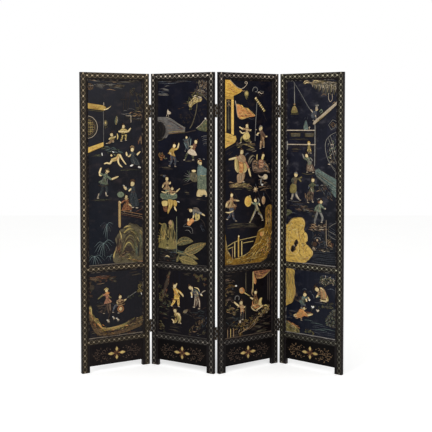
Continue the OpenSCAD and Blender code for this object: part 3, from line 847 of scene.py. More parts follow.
def long_leaf(art, finish, root, tip, wide, bend, ribs, rise=2.8):
    """A pointed leaf, folded along its midrib, with close slanting ribs."""
    root, tip = np.array(root, float), np.array(tip, float)
    run = tip - root
    across = turned(run, 90) / np.linalg.norm(run)

    def middle(t):
        return root + run * t + across * bend * 4 * t * (1 - t)

    def half(t):
        return wide / 2 * max(0.06, math.sin(math.pi * min(1, t) ** 0.85)) ** 0.75

    steps = np.linspace(0.02, 0.98, 9)
    edge = [middle(t) + across * half(t) for t in steps]
    edge += [middle(t) - across * half(t) for t in steps[::-1]]
    art.patch(finish, edge, rise, wide / 4, mesh=3.6)
    count = max(4, round(np.linalg.norm(run) / 7))
    for k in range(count):
        t = (k + 0.5) / count * 0.84 + 0.03
        for sign in (-1, 1):
            out = middle(t + RIB_SLANT) + across * half(t + RIB_SLANT) * 0.86 * sign
            rib = [middle(t), middle(t + RIB_SLANT * 0.6) * 0.5 + out * 0.5, out]
            art.stroke(ribs[(k + (sign > 0)) % len(ribs)], rib, [1.6, 2.6, 1.0], rise + 0.7)
    for side in (-1, 1):
        rim = [middle(t) + across * half(t) * 0.9 * side for t in steps[::2]]
        art.stroke(ribs[side], rim, [1.6, 3.4, 3.4, 2.6, 1.2], rise + 0.8)
    shade = [middle(t) - across * 2.4 for t in (0, 0.35, 0.7, 0.95)]
    art.stroke("hair", shade, [4.0, 4.0, 3.0, 1.5], rise + 0.9)
    art.stroke("straw", [middle(t) + across for t in (0, 0.35, 0.7, 1)], [4.6, 4.4, 3.2, 1.2], rise + 1.1)


def cloud(art, centre, wide, tall, curls, line):
    """A scrolled cloud: thin curls over a dim low bank, with streaks trailing from it."""
    u, z = centre
    bank = [(-1, 0), (-0.5, 0.7), (0, 1), (0.6, 0.6), (1, 0), (0, -0.5)]
    art.patch("umber", [(u + wide * a, z + tall * b) for a, b in bank], 1.2, 8, mesh=5)
    for k in range(curls):
        middle = (u + wide * (2 * (k + 0.5) / curls - 1) * 0.7, z + tall * 0.2)
        art.stroke(line, spiral(middle, tall * 0.75, 200 + 30 * k, -420, 0.2), 2.2, 2.2)
    for k in (-1, 1):
        streak = [(u - wide * 0.9, z + 3 * k), (u, z - tall * 0.4 + 2 * k), (u + wide * 1.1, z + 4 * k)]
        art.stroke(line, streak, [1, 2.4, 1], 1.8)


def foliage(art, finish, centres, leaf, spread, each=7, rise=2.4):
    """Clusters of small leaves round the given centres. Finish is one or several."""
    finishes = (finish,) if isinstance(finish, str) else finish
    for centre in centres:
        for k in range(each):
            way = turned((1, 0), 360 * k / each + art.chance.uniform(-15, 15))
            reach = spread * art.chance.uniform(0.45, 1.0)
            path = [np.add(centre, way * reach * 0.2), np.add(centre, way * reach)]
            art.stroke(
                art.chance.choice(finishes), path, [leaf * 0.5, leaf * 0.8], rise, tips=(0.4, 0.25)
            )


def roof(art, finish, outline, ridge, slant, rise=2.6, pitch=9.0):
    """A tiled roof with a raised ridge. Slant is the way across its tile rows, in degrees."""
    art.patch(finish, outline, rise, 5, curved=False, carve=waves(slant, pitch, 0.9), mesh=3.5)
    art.stroke("bone", ridge, 5.0, rise + 1.0)


RAILING_RISE = 2.0


def railing(art, finish, top, low, posts, width):
    """Two rails with posts between them."""
    art.stroke(finish, top, width, RAILING_RISE, curved=False)
    art.stroke(finish, low, width, RAILING_RISE, curved=False)
    ends = np.array((top[0], top[-1], low[0], low[-1]), float)
    for k in range(posts):
        t = (k + 0.5) / posts
        post = [ends[0] * (1 - t) + ends[1] * t, ends[2] * (1 - t) + ends[3] * t]
        art.stroke(finish, post, width * 0.7, RAILING_RISE * 0.8, curved=False)


def streaks(art, low, high, count, length, finishes, width=5.0):
    """Worn strokes scattered over a field. Low and high are its (u, z) corners."""
    for _ in range(count):
        run = length * art.chance.uniform(0.5, 1.2)
        u, z = art.chance.uniform(low[0], high[0] - run), art.chance.uniform(low[1], high[1])
        path = [
            (u, z), (u + run * 0.4, z + art.chance.uniform(-3, 5)),
            (u + run, z + art.chance.uniform(-5, 5))
        ]
        finish = art.chance.choice(finishes)
        art.stroke(finish, path, [width * 0.4, width * art.chance.uniform(0.6, 1.2), width * 0.3], 1.6)


FIELD = (43, 414)  # the strewn work of a panel stays between these, across it


def tangle(art, path, reach, count, length, finishes, width, rise, swing):
    """Short broken strokes strewn along a path, out to reach from it, each near the path's own way."""
    fine = curve_through(path, 2.0)
    for _ in range(count):
        k = int(art.chance.uniform(0, len(fine) - 2))
        way = turned(fine[k + 1] - fine[k], art.chance.uniform(-swing, swing))
        way /= np.linalg.norm(way)
        run = way * length * art.chance.uniform(0.5, 1.2)
        start = fine[k] + turned(way, 90) * art.chance.uniform(-reach, reach)
        bend = turned(run, 90) * art.chance.uniform(-0.2, 0.2)
        finish, wide = art.chance.choice(finishes), width * art.chance.uniform(0.6, 1.2)
        ends = sorted((start[0], start[0] + run[0]))
        if FIELD[0] < ends[0] and ends[1] < FIELD[1]:
            broken = [start, start + run / 2 + bend, start + run]
            height = rise * art.chance.uniform(0.92, 1.08)
            art.stroke(finish, broken, [wide * 0.5, wide, wide * 0.4], height)


def earth(art, rows, finishes=("umber", "umber", "stone")):
    """Smudged lines of ground. Each row is (u, z, length)."""
    for u, z, length in rows:
        for _ in range(4):
            start, drop = u + length * art.chance.uniform(0, 0.35), art.chance.uniform(-7, 7)
            run = length * art.chance.uniform(0.35, 0.65)
            path = [(start, z + drop), (start + run / 2, z + drop + 2), (start + run, z + drop - 1)]
            art.stroke(
                art.chance.choice(finishes), path, [2, art.chance.uniform(3.5, 6), 1.5], 1.2,
                tips=(0.3, 0.3)
            )


# ---------------------------------------------------------------- leaf 1


def leaf_1_upper(leaf):
    """The upper panel's buildings, figures and garden."""
    art = Relief(leaf, "upper_buildings")
    art.patch(
        "gilt", [(41, 1647), (150, 1632), (170, 1620), (155, 1598), (41, 1611)], 3.0, 6, curved=False,
        carve=waves(-8, 8, 0.5)
    )
    ridges(
        art, [[(42, 1642), (100, 1635), (148, 1628)], [(42, 1615), (100, 1608), (150, 1602)]], 7,
        ("straw", "gilt", "orange"), 4, 3.9
    )
    art.stroke("cream", [(150, 1604), (172, 1609), (184, 1615), (199, 1628)], [8, 8, 6, 3], 3.8)
    art.stroke("bone", [(152, 1628), (152, 1650)], 7, 3.6)
    art.stroke("olive", [(41, 1604), (150, 1592)], 3, 2.0)
    art.stroke("ash", [(150, 1598), (150, 1384)], 4.6, 2.4, curved=False)
    art.strokes("umber", [[(157, 1595), (158, 1548)], [(163, 1595), (164, 1548)]], 1.6, 1.4)
    art.dome("stone", (163, 1524), 14, 20, 2.6)
    art.dome("straw", (163, 1526), 6, 9, 3.2)
    art.strokes(
        "olive", [[(153, 1506), (152, 1492)], [(163, 1503), (163, 1486)], [(172, 1508), (173, 1494)]],
        2.4, 2.0
    )
    # The moon gate and its lattice
    moon = (40.5, 1499)
    for radius, width, finish in ((69, 5.5, "bone"), (58, 2.4, "olive"), (50, 3.2, "tan")):
        art.stroke(finish, [(max(41.5, u), z) for u, z in ring_path(moon, radius, -88, 176)], width, 2.8)
    for z in range(1457, 1545, 14):
        reach = math.sqrt(48**2 - (z - moon[1]) ** 2)
        art.stroke("straw", [(42, z), (moon[0] + reach, z)], 2.6, 2.0, curved=False)
    for u in range(50, 88, 13):
        reach = math.sqrt(48**2 - (u - moon[0]) ** 2)
        art.stroke("straw", [(u, moon[1] - reach), (u, moon[1] + reach)], 2.6, 1.8, curved=False)
    for u, z in ((57, 1526), (72, 1498), (57, 1474), (50, 1500), (70, 1520), (68, 1478)):
        art.stroke("straw", spiral((u, z), 7, 40 * u, 400, 0.3), 2.4, 2.8)
    art.patch("gilt", [(41, 1375), (150, 1409), (150, 1381), (41, 1339)], 3.0, 6, curved=False)
    ridges(
        art, [[(42, 1370), (100, 1386), (149, 1403)], [(42, 1344), (100, 1362), (149, 1385)]], 7,
        ("straw", "gilt", "orange"), 4, 3.9
    )
    art.stroke("umber", [(41, 1334), (150, 1376)], 3, 2.0)
    # A far pavilion, a ledge and a bracket, dimmed by age
    far = [
        [(262, 1668), (318, 1668)], [(300, 1715), (300, 1600)], [(322, 1660), (314, 1600)],
        [(285, 1655), (283, 1600)], [(330, 1735), (326, 1660)]
    ]
    art.strokes("umber", far, 5, 1.4, curved=False)
    tangle(
        art, [(330, 1566), (372, 1578), (410, 1572)], 22, 30, 26, ("tan", "rust", "stone", "umber"), 6,
        2.2, 18
    )
    foliage(art, ("umber", "stone"), [(356, 1545), (380, 1544), (402, 1546)], 6, 12, 6, 1.8)
    art.stroke("bone", [(296, 1568), (333, 1568), (334, 1526)], [3, 5, 5], 2.6, curved=False)
    railing(
        art, "tan", [(262, 984), (330, 968), (414, 950)], [(262, 970), (330, 954), (414, 936)], 3, 3.4
    )
    art.strokes("orange", [[(262, 986), (330, 970), (412, 952)]], [2, 3, 2], 3.0)
    art.strokes(
        "rust",
        [
            [(262, 960), (414, 926)], [(352, 1035), (412, 1054)], [(362, 1022), (412, 1038)],
            [(368, 972), (412, 990)]
        ],
        3.4, 2.0
    )
    art.patch(
        "tan", [(243, 1040), (250, 1048), (262, 1040), (263, 884), (255, 872), (244, 884)], 3.4, 6,
        curved=False
    )
    art.stroke("straw", [(255, 1040), (255, 884)], 9, 4.2, curved=False)
    art.strokes("gilt", [[(259, 1034), (260, 888)], [(246, 1034), (247, 888)]], 2.4, 4.2, curved=False)
    art.hang()

    art = Relief(leaf, "upper_figures")
    figure(
        art, (281, 1503), (280, 1478), ([(262, 1468), (247, 1473)], [(314, 1470), (331, 1493)]),
        ((264, 1412), (296, 1418)), "straw", "straw", "gilt", 13, 2.2
    )
    art.strokes(
        "ink", [[(256, 1460), (280, 1455), (306, 1461)], [(282, 1446), (282, 1418)]], [8, 13, 8], 5.2
    )
    art.stroke(
        "cream", [(250, 1478), (264, 1469), (282, 1473), (302, 1468), (320, 1475), (332, 1494)],
        [7, 11, 12, 11, 9, 7], 5.6
    )
    art.strokes(
        "hair", [[(266, 1448), (270, 1436)], [(292, 1446), (296, 1432)], [(262, 1426), (272, 1430)]], 3.6,
        5.4
    )
    figure(
        art, (203, 1453), (206, 1430), ((182, 1424), [(222, 1434), (230, 1444)]),
        ([(196, 1408), (174, 1400)], (216, 1408)), "straw", "tan", "umber", 13, look=-1
    )
    art.stroke("straw", [(240, 1460), (244, 1440), (240, 1422)], [8, 10, 6], 3.4)
    # A boy on hands and feet
    art.stroke("straw", [(250, 1334), (244, 1310), (222, 1300), (198, 1294)], [18, 26, 24, 22], 3.4)
    art.stroke("cream", [(206, 1296), (190, 1276), (170, 1280), (150, 1274)], [17, 13, 11, 9], 3.8)
    art.stroke("orange", [(246, 1326), (236, 1304), (214, 1298)], [6, 9, 6], 4.2)
    art.stroke("cream", [(246, 1316), (248, 1280), (262, 1260), (274, 1252)], [14, 12, 10, 8], 4.2)
    art.stroke("cream", [(256, 1332), (274, 1300), (300, 1266)], [15, 12, 8], 4.0)
    art.strokes("hair", [[(258, 1298), (264, 1280), (274, 1270)], [(262, 1300), (270, 1286)]], 3, 3.2)
    face(art, (200, 1326), 9, 20, -1)
    figure(
        art, (340, 1360), (346, 1300), ([(306, 1320), (300, 1346)], [(372, 1324), (396, 1346)]),
        ((340, 1266), (384, 1254)), "dusk", "dusk", "ash", 15, 1.4
    )
    art.patch(
        "dusk", [(328, 1316), (354, 1320), (388, 1288), (392, 1262), (352, 1264), (330, 1284)], 4.6,
        carve=waves(-40, 11, 0.9)
    )
    art.strokes(
        "ash", [[(340, 1308), (352, 1286), (356, 1268)], [(362, 1306), (378, 1284), (384, 1266)]],
        [2, 4.5, 3], 5.3
    )
    art.stroke("tan", [(326, 1370), (334, 1380), (348, 1378), (356, 1366)], [5, 9, 9, 4], 5.7)
    for centre, lean in (((336, 1260), 15), ((390, 1248), -15)):
        art.dome("pearl", centre, 12, 6, 4.2, lean)
    art.stroke("cream", [(308, 1320), (322, 1317), (331, 1331)], [11, 12, 10], 5.0)
    figure(
        art, (172, 1228), (148, 1160), ([(120, 1216), (133, 1253)], [(200, 1178), (247, 1195)]),
        ((107, 1068), (166, 1080)), "sage", "dusk", "umber", 15, 2.3, hat="stone"
    )
    art.stroke("umber", ring_path((174, 1230), 12, start=20, sweep=290), 7, 5.7)
    art.stroke("rust", spiral((174, 1228), 8, 0, 400, 0.3), 3, 5.9)
    art.strokes("bone", [[(118, 1096), (108, 1070)], [(162, 1104), (165, 1082)]], [8, 9, 7], 3.7)
    art.strokes(
        "ash", [[(150, 1206), (140, 1176), (126, 1150)], [(182, 1200), (172, 1170), (176, 1150)]],
        [2, 5, 3], 4.6
    )
    art.stroke("cream", [(120, 1216), (124, 1206), (136, 1203)], [12, 12, 10], 5.0)
    art.strokes("umber", [[(112, 1146), (146, 1138), (184, 1148)]], [6, 9, 6], 4.6)
    figure(
        art, (340, 1148), (346, 1080), ([(300, 1112), (282, 1134)], (316, 1100)),
        ((340, 1000), (368, 996)), "dusk", "dusk", "slate", 18, 1.6, gown="dusk"
    )
    art.strokes(
        "slate", [[(336, 1118), (332, 1060), (336, 1004)], [(360, 1116), (366, 1060), (370, 1004)]],
        [2, 4, 2], 4.4
    )
    art.dome("hair", (348, 1166), 14, 10, 5.7, -30)
    art.strokes("pearl", [[(276, 1140), (288, 1136)], [(296, 1130), (300, 1118)]], 7, 4.8)
    art.patch(
        "sage", [(236, 1085), (250, 1101), (275, 1098), (287, 1080), (268, 1063), (246, 1068)], 3.0,
        carve=waves(30, 10, 0.9)
    )
    foliage(art, ("jade", "stone"), [(256, 1088), (268, 1078)], 6, 13, 6, 3.6)
    figure(
        art, (298, 1068), (304, 1022), ([(264, 1030), (250, 1042)], (336, 1006)),
        ((282, 980), (326, 978)), "rust", "rust", "orange", 12, 2.6, gown="rust"
    )
    ridges(
        art, [[(284, 1040), (276, 1010), (278, 986)], [(318, 1040), (330, 1010), (334, 986)]], 8,
        ("brick", "hair", "orange", "hair"), 4.5, 4.6, 0.7
    )
    art.strokes(
        "cream", [[(286, 1058), (300, 1052), (312, 1058)], [(252, 1044), (262, 1034)]], [5, 8, 5], 5.2
    )
    art.strokes("pearl", [[(138, 1344), (141, 1324)], [(206, 1350), (220, 1343)]], 9, 2.6)
    earth(
        art, [(110, 1372, 90), (60, 1324, 90), (250, 1232, 165), (60, 1052, 190), (90, 1396, 60)],
        ("moss", "umber", "umber")
    )
    art.hang()

    art = Relief(leaf, "upper_garden")
    for place in (
        ((62, 1738), 22, 30, 2, "tan"), ((128, 1748), 32, 16, 4, "ash"), ((196, 1756), 24, 10, 2, "ash"),
        ((256, 1750), 38, 13, 2, "stone")
    ):
        cloud(art, *place)
    foliage(art, ("stone", "roof"), [(240, 1746), (262, 1750), (284, 1754), (196, 1752)], 5, 13, 8, 1.6)
    streaks(art, (44, 1722), (300, 1784), 22, 56, ("stone", "roof", "ash", "umber", "tan"))
    streaks(art, (150, 1764), (410, 1786), 10, 80, ("umber", "stone", "roof"))
    foliage(
        art, ("umber", "stone"),
        [
            (335, 1715), (352, 1735), (372, 1702), (398, 1700), (385, 1660), (400, 1630), (362, 1660),
            (345, 1698), (392, 1610)
        ],
        7, 16, 7, 1.6
    )
    art.strokes(
        "stone",
        [
            spiral((338, 1718), 11, 0, 330, 0.8), [(352, 1722), (358, 1712)],
            [(362, 1650), (372, 1600), (366, 1596)], [(372, 1600), (392, 1626), (412, 1612)]
        ],
        3, 1.6
    )
    art.strokes("umber", [[(412, 1600), (385, 1650), (372, 1700), (350, 1740)]], [9, 7, 5, 3], 1.8)
    streaks(art, (260, 1545), (412, 1620), 12, 50, ("stone", "umber", "roof"), 6)
    long_leaf(art, "moss", (233, 1512), (238, 1570), 20, 0, ("olive", "jade"), 2.2)
    art.stroke("bone", [(240, 1562), (242, 1545), (238, 1526)], 4, 3.4)
    ridges(
        art, [[(382, 1384), (384, 1424), (396, 1452)], [(411, 1384), (412, 1420), (408, 1452)]], 16,
        ("stone", "vine", "tan", "rust"), 6, 2.0, 0.5
    )
    tangle(
        art, [(148, 1368), (200, 1356), (256, 1344)], 20, 26, 36, ("teal", "dusk", "slate", "moss"), 5,
        1.8, 20
    )
    # Palms
    crowns = [
        (
            (170, 903),
            [
                (122, 894), (132, 866), (144, 842), (157, 822), (170, 804), (186, 830), (195, 854),
                (203, 880), (211, 900)
            ]
        ),
        (
            (147, 788),
            [
                (84, 768), (88, 736), (105, 728), (120, 712), (137, 706), (154, 704), (174, 712),
                (188, 742), (202, 768), (216, 784)
            ]
        ),
        (
            (86, 711),
            [
                (43, 698), (47, 678), (58, 662), (76, 658), (94, 658), (114, 659), (136, 664), (154, 680),
                (168, 700)
            ]
        ),
        ((188, 703), [(216, 712), (213, 690), (176, 674), (160, 690), (196, 676)]),
    ]
    for crown, tips in crowns:
        palm(art, ("frond", "frond", "teal", "slate"), crown, tips, 0.3, 3.2)
        art.dome("frond", crown, 4, 4, 2.6)
    # The great rock
    rock = [
        (206, 684), (209, 708), (220, 741), (230, 776), (221, 806), (234, 832), (246, 846), (254, 866),
        (276, 872), (286, 886), (306, 890), (323, 905), (348, 897), (376, 890), (392, 876), (415, 866),
        (415, 653), (240, 653), (214, 666)
    ]
    art.patch("stone", rock, 3.2, 14, carve=waves(70, 22, 1.2, 9, 70), mesh=4.5)
    ridges(
        art, [[(350, 872), (354, 780), (358, 676)], [(411, 850), (412, 760), (410, 676)]], 20,
        ("sage", "moss", "umber", "sage", "dusk"), 8, 4.5, 0.45
    )
    ridges(
        art, [[(218, 690), (234, 780), (252, 850)], [(262, 690), (264, 780), (282, 862)]], 16,
        ("umber", "rust", "hair", "tan", "umber"), 8, 4.5, 0.4
    )
    art.patch(
        "umber", [(268, 700), (284, 744), (300, 764), (322, 766), (344, 744), (352, 706), (310, 716)],
        3.8, 8, carve=waves(80, 12, 0.8)
    )
    peaks = [
        [(264, 866), (300, 884), (334, 902), (380, 884), (412, 850)],
        [(268, 820), (298, 850), (326, 862), (366, 838), (400, 790)],
        [(274, 764), (300, 806), (322, 820), (348, 800), (374, 740)],
    ]
    ridges(art, peaks, 34, ("olive", "stone", "moss", "olive", "umber", "straw", "hair"), 7, 4.6, 0.3)
    tangle(
        art, [(240, 690), (300, 708), (344, 700)], 30, 44, 22, ("olive", "straw", "umber", "tan", "hair"),
        6, 4.8, 40
    )
    tangle(art, [(300, 672), (400, 672)], 14, 18, 26, ("olive", "straw", "umber"), 6, 4.8, 20)
    # Two arched ledges, the hollow between them and the light on their tops
    art.stroke(
        "umber", [(266, 744), (280, 792), (302, 826), (324, 840), (346, 826), (366, 786)],
        [5, 10, 10, 9, 4], 4.5
    )
    art.stroke(
        "stone", [(273, 738), (286, 780), (304, 812), (324, 826), (342, 814), (360, 782)],
        [8, 17, 19, 17, 11, 5], 4.7
    )
    art.stroke(
        "hair", [(281, 752), (296, 788), (317, 804), (338, 794), (354, 764)], [5, 10, 10, 9, 4], 4.9
    )
    art.stroke(
        "olive", [(273, 722), (286, 758), (303, 779), (318, 783), (334, 770), (348, 738)],
        [8, 15, 17, 16, 12, 6], 4.8
    )
    art.strokes(
        "straw",
        [
            [(283, 752), (301, 777), (318, 782), (334, 768)], [(213, 690), (215, 712), (223, 738)],
            [(253, 860), (262, 832), (268, 802)], [(280, 874), (304, 884), (330, 884)]
        ],
        [4, 10, 4], 5.3
    )
    art.strokes(
        "olive", [[(279, 764), (303, 812), (323, 826), (342, 814)], [(292, 850), (322, 866), (350, 860)]],
        [4, 12, 4], 5.1
    )
    art.strokes(
        "straw", [[(290, 792), (306, 815), (323, 826), (334, 822)], [(300, 856), (322, 867), (340, 864)]],
        [2, 6, 2], 5.4
    )
    art.strokes(
        "umber",
        [
            [(262, 850), (290, 838), (310, 848)], [(248, 800), (262, 784), (270, 740)],
            [(232, 826), (240, 790), (234, 750)]
        ],
        [4, 11, 5], 4.8
    )
    art.strokes("orange", [[(370, 662), (412, 658)], [(330, 672), (372, 668)]], 4, 4.8)
    art.hang()


def leaf_1_lower(leaf):
    """The lower panel's scene."""
    art = Relief(leaf, "lower_scene")
    for place in (
        ((84, 574), 36, 13, 3, "tan"), ((146, 580), 42, 13, 3, "rust"), ((200, 570), 30, 10, 2, "stone"),
        ((66, 520), 18, 22, 2, "stone"), ((60, 468), 14, 14, 1, "umber")
    ):
        cloud(art, *place)
    foliage(
        art, ("umber", "stone", "rust"),
        [(120, 556), (160, 558), (92, 560), (196, 560), (60, 548), (58, 500), (66, 470)], 6, 14, 7, 1.6
    )
    art.strokes("tan", [[(98, 541), (124, 540), (152, 543)], [(56, 560), (58, 530)]], [2, 4, 2], 1.8)
    earth(art, [(300, 588, 110), (330, 572, 80), (190, 548, 60), (90, 402, 60)], ("umber", "stone"))
    tangle(
        art, [(96, 398), (150, 392), (216, 384)], 32, 34, 34, ("umber", "vine", "dusk", "umber"), 6, 1.8,
        22
    )
    figure(
        art, (162, 496), (172, 424), ([(140, 470), (105, 447)], (196, 448)), ((142, 356), (172, 312)),
        "brick", "umber", "tan", 13, 2.1, arms="olive"
    )
    art.strokes(
        "orange", [[(150, 478), (166, 474), (184, 480)], [(156, 488), (168, 482), (178, 486)]],
        [7, 11, 7], 5.5
    )
    art.stroke("straw", [(146, 500), (162, 510), (178, 501)], [6, 9, 6], 5.6)
    art.strokes(
        "vine", [[(172, 414), (172, 384), (178, 352)], [(186, 414), (188, 388), (190, 368)]], [11, 11, 7],
        3.8
    )
    figure(
        art, (254, 448), (252, 404), ([(232, 420), (240, 402)], [(280, 420), (297, 430)]),
        ([(222, 392), (204, 356)], (240, 348)), "tan", "slate", "rust", 13
    )
    for k in range(4):
        art.stroke(
            ("hair", "tan")[k % 2], [(230, 420 - 7 * k), (254, 412 - 6 * k), (286, 424 - 8 * k)],
            [4, 6, 4], 5.0
        )
    art.dome("rust", (258, 372), 24, 24, 3.0, sides=20)
    art.stroke("orange", ring_path((258, 372), 19), 5, 4.0)
    art.dome("cream", (258, 372), 12, 12, 4.4, sides=16)
    art.dome("rust", (258, 372), 4, 4, 5.2)
    for u, z in ((176, 304), (214, 320), (240, 308)):
        art.dome("bone", (u, z), 10, 6, 3.2, -20)
        art.dome("pearl", (u - 9, z + 8), 5, 5, 3.6)
        art.strokes("bone", [[(u + k, z - 4), (u + k + 1, z - 12)] for k in (-5, 0, 5)], 2.4, 2.6)
        art.dome("hair", (u + 4, z + 3), 4, 3, 4.0)
    bank = [
        (44, 414), (64, 414), (66, 380), (72, 352), (98, 330), (116, 306), (134, 274), (158, 262),
        (200, 266), (246, 272), (290, 282), (320, 302), (350, 302), (372, 308), (412, 312)
    ]
    low_edge = [
        (412, 262), (350, 252), (300, 238), (230, 226), (160, 230), (116, 262), (80, 310), (54, 366),
        (44, 380)
    ]
    art.patch("umber", bank + low_edge, 2.2, 14, carve=waves(60, 24, 1.0, 8, 80), mesh=5)
    crest = [
        (45, 408), (62, 410), (68, 376), (76, 350), (100, 328), (120, 304), (138, 273), (162, 263),
        (200, 267), (246, 273), (290, 283), (330, 300), (322, 280), (280, 256), (220, 243), (170, 243),
        (130, 251), (104, 284), (82, 314), (64, 350), (48, 384)
    ]
    under = [
        (44, 402), (62, 384), (84, 330), (112, 286), (134, 250), (172, 236), (230, 238), (300, 256),
        (356, 290), (413, 316), (413, 262), (340, 232), (260, 217), (160, 215), (104, 226), (66, 276),
        (46, 340)
    ]
    art.patch("loam", under, 2.5, 12, carve=waves(60, 22, 1.0, 8, 80), mesh=5)
    art.patch("olive", crest, 2.9, 9, carve=waves(50, 17, 1.1, 6, 60), mesh=4.5)
    streaks(art, (44, 216), (412, 250), 24, 60, ("umber", "stone", "hair"), 6)
    streaks(art, (46, 560), (240, 600), 18, 46, ("stone", "rust", "umber", "roof"))
    lower = [
        [(50, 400), (60, 340), (110, 290), (150, 254), (210, 246), (300, 262)],
        [(52, 330), (84, 290), (120, 240), (160, 228), (230, 226), (320, 232)]
    ]
    ridges(
        art, [[(56, 412), (68, 360), (108, 318), (140, 270), (200, 262), (296, 280)], lower[0]], 16,
        ("gilt", "straw", "olive", "orange", "tan"), 6, 3.7, 0.22
    )
    tangle(
        art, lower[0], 18, 80, 20, ("gilt", "hair", "straw", "orange", "umber", "earth", "olive"), 5.5,
        4.2, 35
    )
    tangle(art, lower[1], 24, 90, 22, ("umber", "loam", "rust", "hair", "vine", "hair"), 6, 3.8, 30)
    tangle(
        art, [(300, 268), (350, 282), (408, 286)], 22, 56, 24, ("olive", "stone", "tan", "umber", "hair"),
        6, 3.8, 22
    )
    art.stroke("straw", [(46, 400), (60, 396), (62, 370), (70, 350)], [8, 12, 11, 5], 4.0)
    art.strokes(
        "orange", [[(284, 262), (300, 264), (310, 260)], [(100, 300), (120, 282), (132, 262)]],
        [6, 12, 6], 4.0
    )
    foliage(
        art, ("olive", "straw", "olive"), [(378, 474), (388, 492), (396, 470), (392, 508)], 7, 15, 8, 3.2
    )
    foliage(art, ("umber", "stone"), [(392, 530), (402, 520)], 6, 15, 7, 2)
    art.stroke("ash", [(302, 436), (332, 452), (366, 470)], [3, 4.5, 5], 2.4)
    foliage(art, "moss", [(322, 434), (344, 446), (312, 446), (388, 440)], 6, 12)
    art.stroke("pearl", [(398, 462), (403, 446)], 7, 4)
    art.hang()


# ---------------------------------------------------------------- leaf 2


